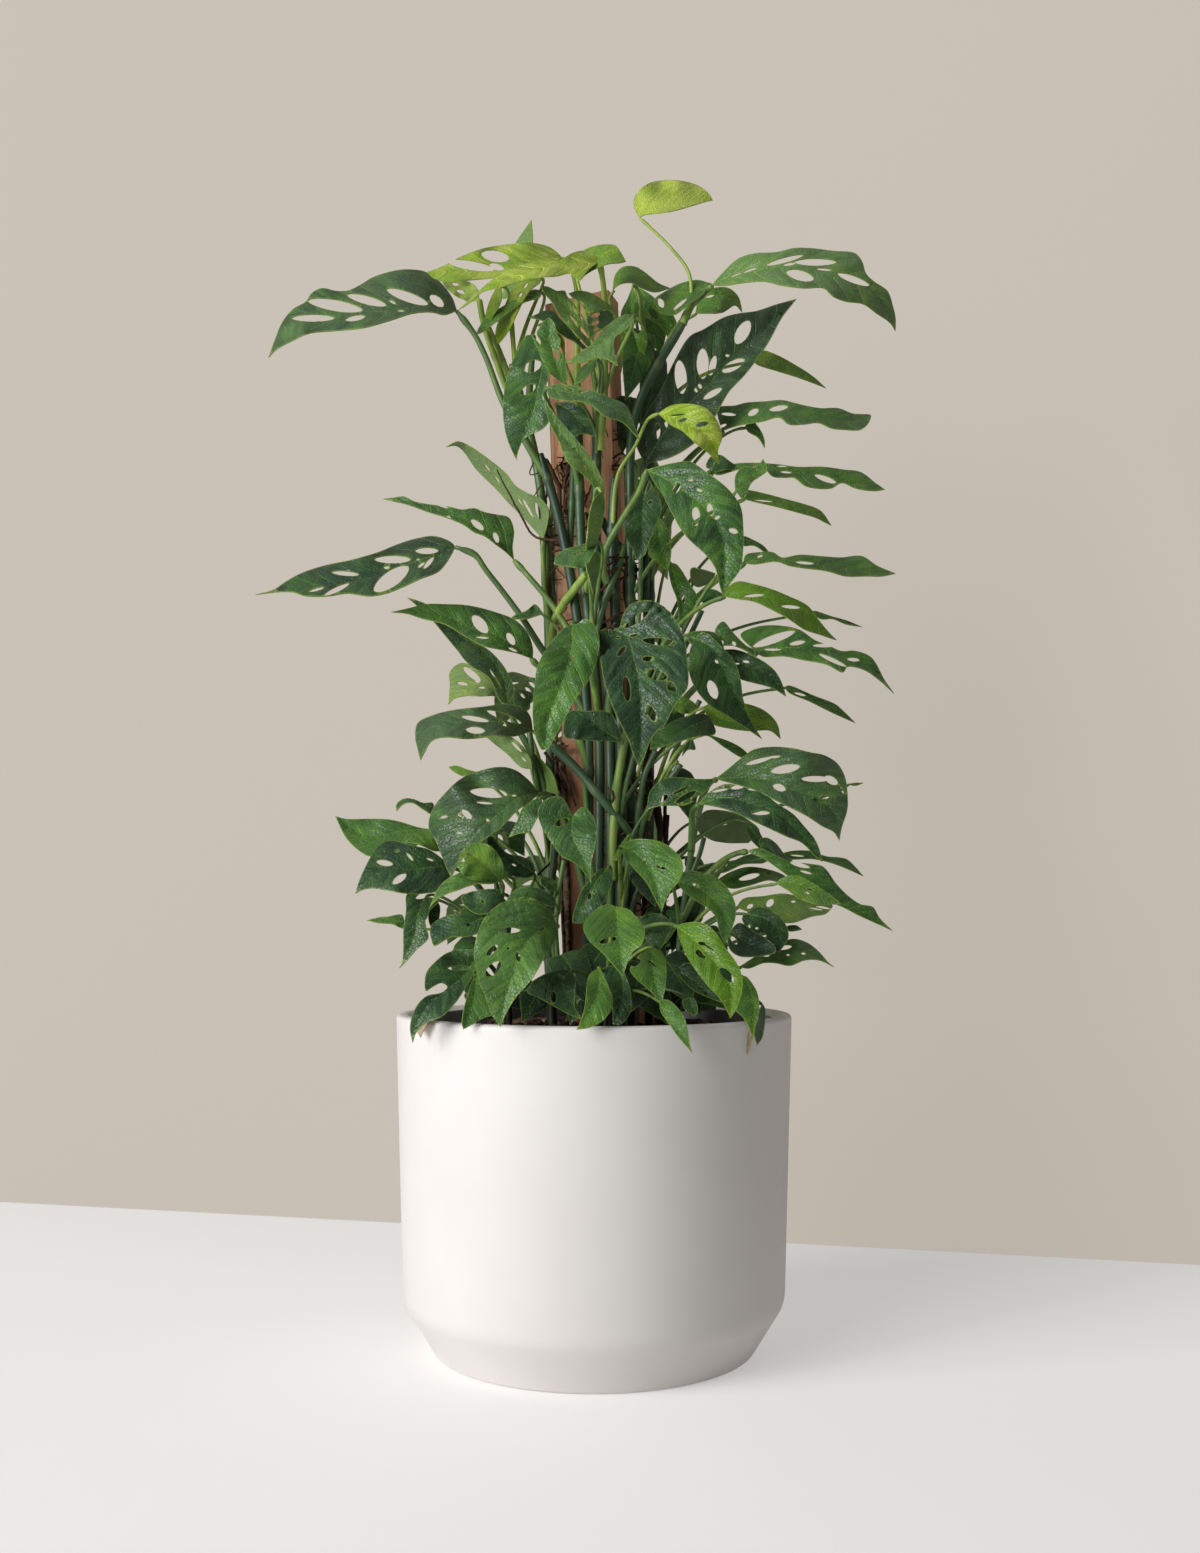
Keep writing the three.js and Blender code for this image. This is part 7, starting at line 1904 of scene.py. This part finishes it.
def nursery_pot():
    """The grower's pot: a thin tapered wall with a stepped lip, standing on the cover pot's floor."""
    foot_height = POT["floor"] + 0.4
    top, lip, wall = NURSERY["top"], NURSERY["lip"], NURSERY["wall"]
    bore = NURSERY["rim"] - lip / 4 - wall
    under = top - lip
    at_lip = np.interp(under, [foot_height, top], [NURSERY["foot"], bore + wall])
    corners = [(0, foot_height, 0), (NURSERY["foot"], foot_height, 1.5), (at_lip, under, 0.8),
               (NURSERY["rim"], under, 1),
               (NURSERY["rim"], top, 1.4), (bore, top, 1), (NURSERY["foot"] - wall, foot_height + wall, 1),
               (0, foot_height + wall, 0)]
    points, faces = lathe(rounded(corners, 4), 144)
    return mesh_object("nursery_pot_wall", points, faces, [plastic_material()])


place(nursery_pot(), ["nursery_pot"])

# ---- Soil -----------------------------------------------------------------------------------


def ripple(x, y, draw, count, longest, shortest):
    """Smooth random relief between -1 and 1: a sum of sine waves in random directions."""
    total = np.zeros(np.broadcast(x, y).shape)
    weight = 0.0
    for length in np.geomspace(longest, shortest, count):
        angle, phase = draw.uniform(0, 2 * np.pi, 2)
        total += length * np.sin(2 * np.pi * (x * np.cos(angle) + y * np.sin(angle)) / length + phase)
        weight += length
    return total / weight


def soil_material():
    """Potting mix: dark brown crumbs with reddish fibre and grey grit."""
    material, tree, shader = new_material("potting_mix", specular_ior_level=0.2)
    crumb = noise(tree, 220, 6, 0.7)
    patch = noise(tree, 70, 3)
    face = ramp(tree, crumb, [(0.3, (0.004, 0.003, 0.002)), (0.5, (0.012, 0.008, 0.006)),
                              (0.68, (0.035, 0.024, 0.017)), (0.8, (0.10, 0.08, 0.06))])
    face = blended(tree, ranged(tree, patch, 0.4, 0.7, 0.0, 0.4), face, (0.022, 0.011, 0.007, 1))
    finish(tree, shader, face, (crumb, 0.2, 0.8, 0.75, 0.98), (crumb, 0.9, 0.002))
    return material


def soil_piece():
    """The soil: a crowned disc whose top is lumpy, closed below by a plain cone."""
    draw = np.random.default_rng(7)
    rings, sides = SOIL["rings"], SOIL["sides"]
    ring = np.linspace(0.01, 1, rings)[:, None]
    angle = np.linspace(0, 2 * np.pi, sides, endpoint=False)[None]
    radius = SOIL["radius"] * ring
    x, y = radius * np.cos(angle), radius * np.sin(angle)
    z = SOIL["edge"] + SOIL["crown"] * (1 - ring**2) - 1.5 + 2.6 * ripple(x, y, draw, 22, 60, 5)
    top = np.stack([x, y, z], axis=2).reshape(-1, 3)
    floor = POT["floor"] + NURSERY["wall"] + 0.8
    low_radius = NURSERY["foot"] - NURSERY["wall"] - 0.4
    low = np.column_stack([low_radius * np.cos(angle[0]), low_radius * np.sin(angle[0]),
                           np.full(sides, floor)])
    points = np.vstack([top, low, [[0, 0, z[0].mean()], [0, 0, floor]]])
    faces = np.vstack([grid_faces(rings + 1, sides, True)[:, ::-1], end_fans(rings + 1, sides)[:, [0, 2, 1]]])
    return mesh_object("soil_crumb", points, faces, [soil_material()])


place(soil_piece(), ["soil"])


def bark_material():
    """Bark chips: reddish to grey-brown, each chip its own tone, with a fibrous grain."""
    material, tree, shader = new_material("bark_chip", specular_ior_level=0.25)
    grain = noise(tree, 320, 4, 0.6)
    tone = varied(tree, attribute(tree, "tone"), grain, 0.2)
    face = ramp(tree, tone, [(0.0, (0.018, 0.010, 0.007)), (0.45, (0.045, 0.022, 0.013)),
                             (0.75, (0.10, 0.052, 0.030)), (1.0, (0.24, 0.17, 0.11))])
    finish(tree, shader, face, (grain, 0.3, 0.7, 0.7, 0.95), (grain, 0.7, 0.0008))
    return material


def bark_chips(count):
    """Chips strewn over the soil: each a flattened ball of 6 x 5 points with its corners pushed about."""
    draw = np.random.default_rng(11)
    skin = Skin()
    rows, sides = 5, 6
    latitude, longitude = np.meshgrid(np.linspace(-1.25, 1.25, rows),
                                      np.linspace(0, 2 * np.pi, sides, endpoint=False), indexing="ij")
    level = np.cos(latitude)
    ball = np.stack([level * np.cos(longitude), level * np.sin(longitude), np.sin(latitude)],
                    axis=2).reshape(-1, 3)
    faces = np.vstack([grid_faces(rows, sides, True), end_fans(rows, sides)])
    ball = np.vstack([ball, [[0, 0, -1], [0, 0, 1]]])
    for _ in range(count):
        distance = SOIL["radius"] * math.sqrt(draw.uniform(0.0, 0.93))
        angle = draw.uniform(0, 2 * np.pi)
        size = draw.uniform(2.2, 7.5) * np.array([1.0, draw.uniform(0.35, 0.8), draw.uniform(0.2, 0.45)])
        chip = ball * (1 + draw.normal(0, 0.14, ball.shape)) * size
        roll = draw.normal(0, 0.45)
        tilt = np.array([[1, 0, 0], [0, math.cos(roll), -math.sin(roll)],
                         [0, math.sin(roll), math.cos(roll)]])
        chip = turned_about(chip @ tilt.T, math.degrees(draw.uniform(0, 2 * np.pi)))
        height = SOIL["edge"] + SOIL["crown"] * (1 - (distance / SOIL["radius"])**2) + draw.uniform(-1.0, 1.8)
        spot = [distance * math.cos(angle), distance * math.sin(angle), height]
        skin.add(chip + spot, faces, flat=True, tone=draw.uniform(0, 1))
    return skin.build("bark_chips", [bark_material()])


place(bark_chips(420))

# ---- Stake ----------------------------------------------------------------------------------


def wood_material():
    """Rough sawn reddish softwood: long grain, pale sapwood streaks, dark patches that gather towards the
    bottom, and fuzz.
    """
    material, tree, shader = new_material("sawn_wood", specular_ior_level=0.2)
    grain = noise(tree, 260, 5, 0.62, (1, 1, 0.035))
    band = noise(tree, 42, 3, 0.5, (1, 1, 0.06))
    weather = noise(tree, 12, 4, 0.6)
    fuzz = noise(tree, 1300, 3, 0.6, (1, 1, 0.25))
    face = ramp(tree, grain, [(0.28, (0.27, 0.115, 0.055)), (0.5, (0.66, 0.34, 0.19)),
                              (0.7, (0.88, 0.55, 0.34))])
    face = blended(tree, ranged(tree, band, 0.42, 0.68, 0.0, 0.5), face, (0.90, 0.55, 0.33, 1))
    # Random dark patches, more of them from 0.7 m down to 0.5 m: the stake darker towards the bottom.
    darker_lower_down = maths(tree, "ADD", ranged(tree, along_axis(tree, "Z"), 0.70, 0.50, -0.14, 0.14), weather)
    face = blended(tree, ranged(tree, darker_lower_down, 0.42, 0.72, 0.0, 0.8), face, (0.20, 0.09, 0.05, 1))
    face = blended(tree, ranged(tree, attribute(tree, "edge"), 2.0, 0.0, 0.0, 0.5), face,
                   (0.09, 0.04, 0.025, 1))
    height = maths(tree, "ADD", grain, maths(tree, "MULTIPLY", fuzz, 0.7))
    finish(tree, shader, face, (fuzz, 0.2, 0.8, 0.72, 0.95), (height, 0.8, 0.0009))
    return material


def stake_piece():
    """The stake: its sawn section carried up its length, each face a little uneven and saw-marked."""
    draw = np.random.default_rng(5)
    half = np.array([STAKE["width"], STAKE["depth"]]) / 2
    sides = [(np.array([-1, -1]), np.array([1, -1])), (np.array([1, -1]), np.array([1, 1])),
             (np.array([1, 1]), np.array([-1, 1])), (np.array([-1, 1]), np.array([-1, -1]))]
    section, outward, near_edge = [], [], []
    for start, end in sides:
        count = 34 if start[1] == end[1] else 18
        t = np.linspace(0, 1, count, endpoint=False)[:, None]
        line = (start + (end - start) * t) * half
        span = np.linalg.norm((end - start) * half)
        corner = np.minimum(t, 1 - t) * span
        normal = np.array([end[1] - start[1], start[0] - end[0]]) / 2
        section.append(line - normal * 1.1 * np.exp(-(corner / 1.2)**2))
        outward.append(np.repeat(normal[None], count, 0))
        near_edge.append(corner[:, 0])
    section, outward, near_edge = np.vstack(section), np.vstack(outward), np.concatenate(near_edge)
    rows = 300
    height = np.linspace(0, 1, rows)[:, None]
    top = STAKE["top"] + STAKE["slope"] * section[:, 0]
    z = STAKE["foot"] + (top[None] - STAKE["foot"]) * height
    girth = np.cumsum(np.r_[0, np.linalg.norm(np.diff(section, axis=0), axis=1)])[None]
    lumps = ripple(girth, z * 0.12, draw, 14, 30, 2.2)
    drift = ripple(girth, z * 0, draw, 3, 50, 20)
    relief = 0.35 * lumps + 0.12 * np.sin(2 * np.pi * z / 2.3 + 3 * drift)
    relief = np.minimum(relief, 0.3) - 0.2
    x = section[None, :, 0] + outward[None, :, 0] * relief
    y = section[None, :, 1] + outward[None, :, 1] * relief
    points = np.stack([x, y, z], axis=2).reshape(-1, 3)
    columns = len(section)
    faces, ends = grid_faces(rows, columns, True), end_fans(rows, columns)
    points = np.vstack([points, [[0, 0, STAKE["foot"]], [0, 0, STAKE["top"]]]])
    points = turned_about(points, STAKE["turn"])
    points[:, 0] += STAKE["lean"] * (points[:, 2] - STAKE["upright"])
    edge = np.concatenate([np.tile(near_edge, rows), [9, 9]])
    flat = np.concatenate([np.zeros(len(faces), bool), np.ones(len(ends), bool)])
    faces = np.vstack([faces, ends])
    return mesh_object("stake_plank", points, faces, [wood_material()], flat, fields={"edge": edge})


place(stake_piece(), ["stake"])

# ---- Stage ----------------------------------------------------------------------------------

WALL_LEFT = np.array([-666.0, 558.0])
WALL_RIGHT = np.array([557.0, 255.0])
STAGE = {"wall_reach": 3500, "wall_height": 4000, "floor": 6000}


def plain_material(name, left, right, glow, see_through_back=False):
    """A plain matte colour that drifts from left to right, over an even glow that lights the rest
    at under half its strength; it can be left out from behind."""
    material, tree, shader = new_material(name, roughness=0.9, specular_ior_level=0.1,
                                          emission_color=(*glow, 1))
    x = along_axis(tree, "X")
    seen = add_node(tree, "ShaderNodeLightPath").outputs["Is Camera Ray"]
    feed(tree, shader, base_color=blended(tree, ranged(tree, x, -0.6, 0.6), (*left, 1), (*right, 1)),
         emission_strength=ranged(tree, seen, 0.0, 1.0, 0.42, 1.0))
    if see_through_back:
        clear = tree.nodes.new("ShaderNodeBsdfTransparent")
        back = add_node(tree, "ShaderNodeNewGeometry").outputs["Backfacing"]
        mix = add_node(tree, "ShaderNodeMixShader", {0: back, 1: shader.outputs[0], 2: clear.outputs[0]})
        tree.links.new(mix.outputs[0], tree.nodes["Material Output"].inputs["Surface"])
    return material


def stage_sheet(name, corners, material):
    """A flat four-cornered sheet."""
    sheet = mesh_object(name, corners, [[0, 1, 2], [0, 2, 3]], [material])


def build_stage():
    """A pale floor and a taupe backdrop that meets it in a straight line behind the plant."""
    step = unit(WALL_RIGHT - WALL_LEFT)
    left, right = WALL_LEFT - step * STAGE["wall_reach"], WALL_RIGHT + step * STAGE["wall_reach"]
    top, side = STAGE["wall_height"], STAGE["floor"]
    floor = plain_material("floor_pale", (0.69, 0.665, 0.652), (0.71, 0.69, 0.66), (0.352, 0.352, 0.356))
    wall = plain_material("backdrop_taupe", (0.116, 0.104, 0.092), (0.146, 0.132, 0.116),
                          (0.455, 0.415, 0.363), True)
    stage_sheet("floor", [[-side, -side, 0], [side, -side, 0], [side, side, 0], [-side, side, 0]], floor)
    stage_sheet("backdrop", [[*left, 0], [*right, 0], [*right, top], [*left, top]], wall)


build_stage()


def area_light(name, place_at, target, size, power, colour=(1, 1, 1)):
    """A soft panel of light at a place, facing a target; metres and watts."""
    data = bpy.data.lights.new(name, "AREA")
    data.shape = "RECTANGLE"
    data.size, data.size_y = size
    data.energy = power
    data.color = colour
    light = bpy.data.objects.new(name, data)
    bpy.context.scene.collection.objects.link(light)
    light.visible_camera = False
    light.location = place_at
    light.rotation_euler = (Vector(target) - Vector(place_at)).to_track_quat("-Z", "Y").to_euler()


def light_studio():
    """Two tall window-like panels at the left, a wide soft one overhead, a thin strip that edges the
    pot at the right, and a dim even room."""
    area_light("window_left", (-2.2, -2.6, 1.5), (0, 0, 0.4), (1.6, 2.2), 52)
    area_light("side_left", (-2.9, -1.7, 1.5), (0, 0, 0.4), (1.6, 2.2), 77)
    area_light("overhead", (-0.2, -0.3, 2.9), (0, 0, 0), (3.0, 3.0), 13, (0.94, 0.98, 1.0))
    area_light("edge_right", (0.66, 0.15, 0.45), (0.0, 0.04, 0.25), (0.12, 0.6), 0.25)
    world = bpy.data.worlds.new("studio")
    world.use_nodes = True
    world.node_tree.nodes["Background"].inputs["Color"].default_value = (1.0, 0.98, 0.95, 1)
    world.node_tree.nodes["Background"].inputs["Strength"].default_value = 0.01
    bpy.context.scene.world = world
    bpy.context.scene.view_settings.view_transform = "Standard"


light_studio()


# The front view, in pixels of a frame of the given height: focal length, and shifts across and up.
VIEW = {"height": 1553, "focal": 1500, "across": 6, "up": 138.5}
SENSOR = 36


def front_camera():
    """The camera at the front: level, at the eye's height, shifted up to frame the whole plant."""
    data = bpy.data.cameras.new("front_camera")
    data.sensor_width = SENSOR
    data.lens = SENSOR * VIEW["focal"] / VIEW["height"]
    data.shift_x = VIEW["across"] / VIEW["height"]
    data.shift_y = VIEW["up"] / VIEW["height"]
    data.clip_end = 50
    camera = bpy.data.objects.new("front_camera", data)
    camera.location = EYE * MM
    camera.rotation_euler = (math.pi / 2, 0, 0)
    bpy.context.scene.collection.objects.link(camera)
    bpy.context.scene.camera = camera


front_camera()
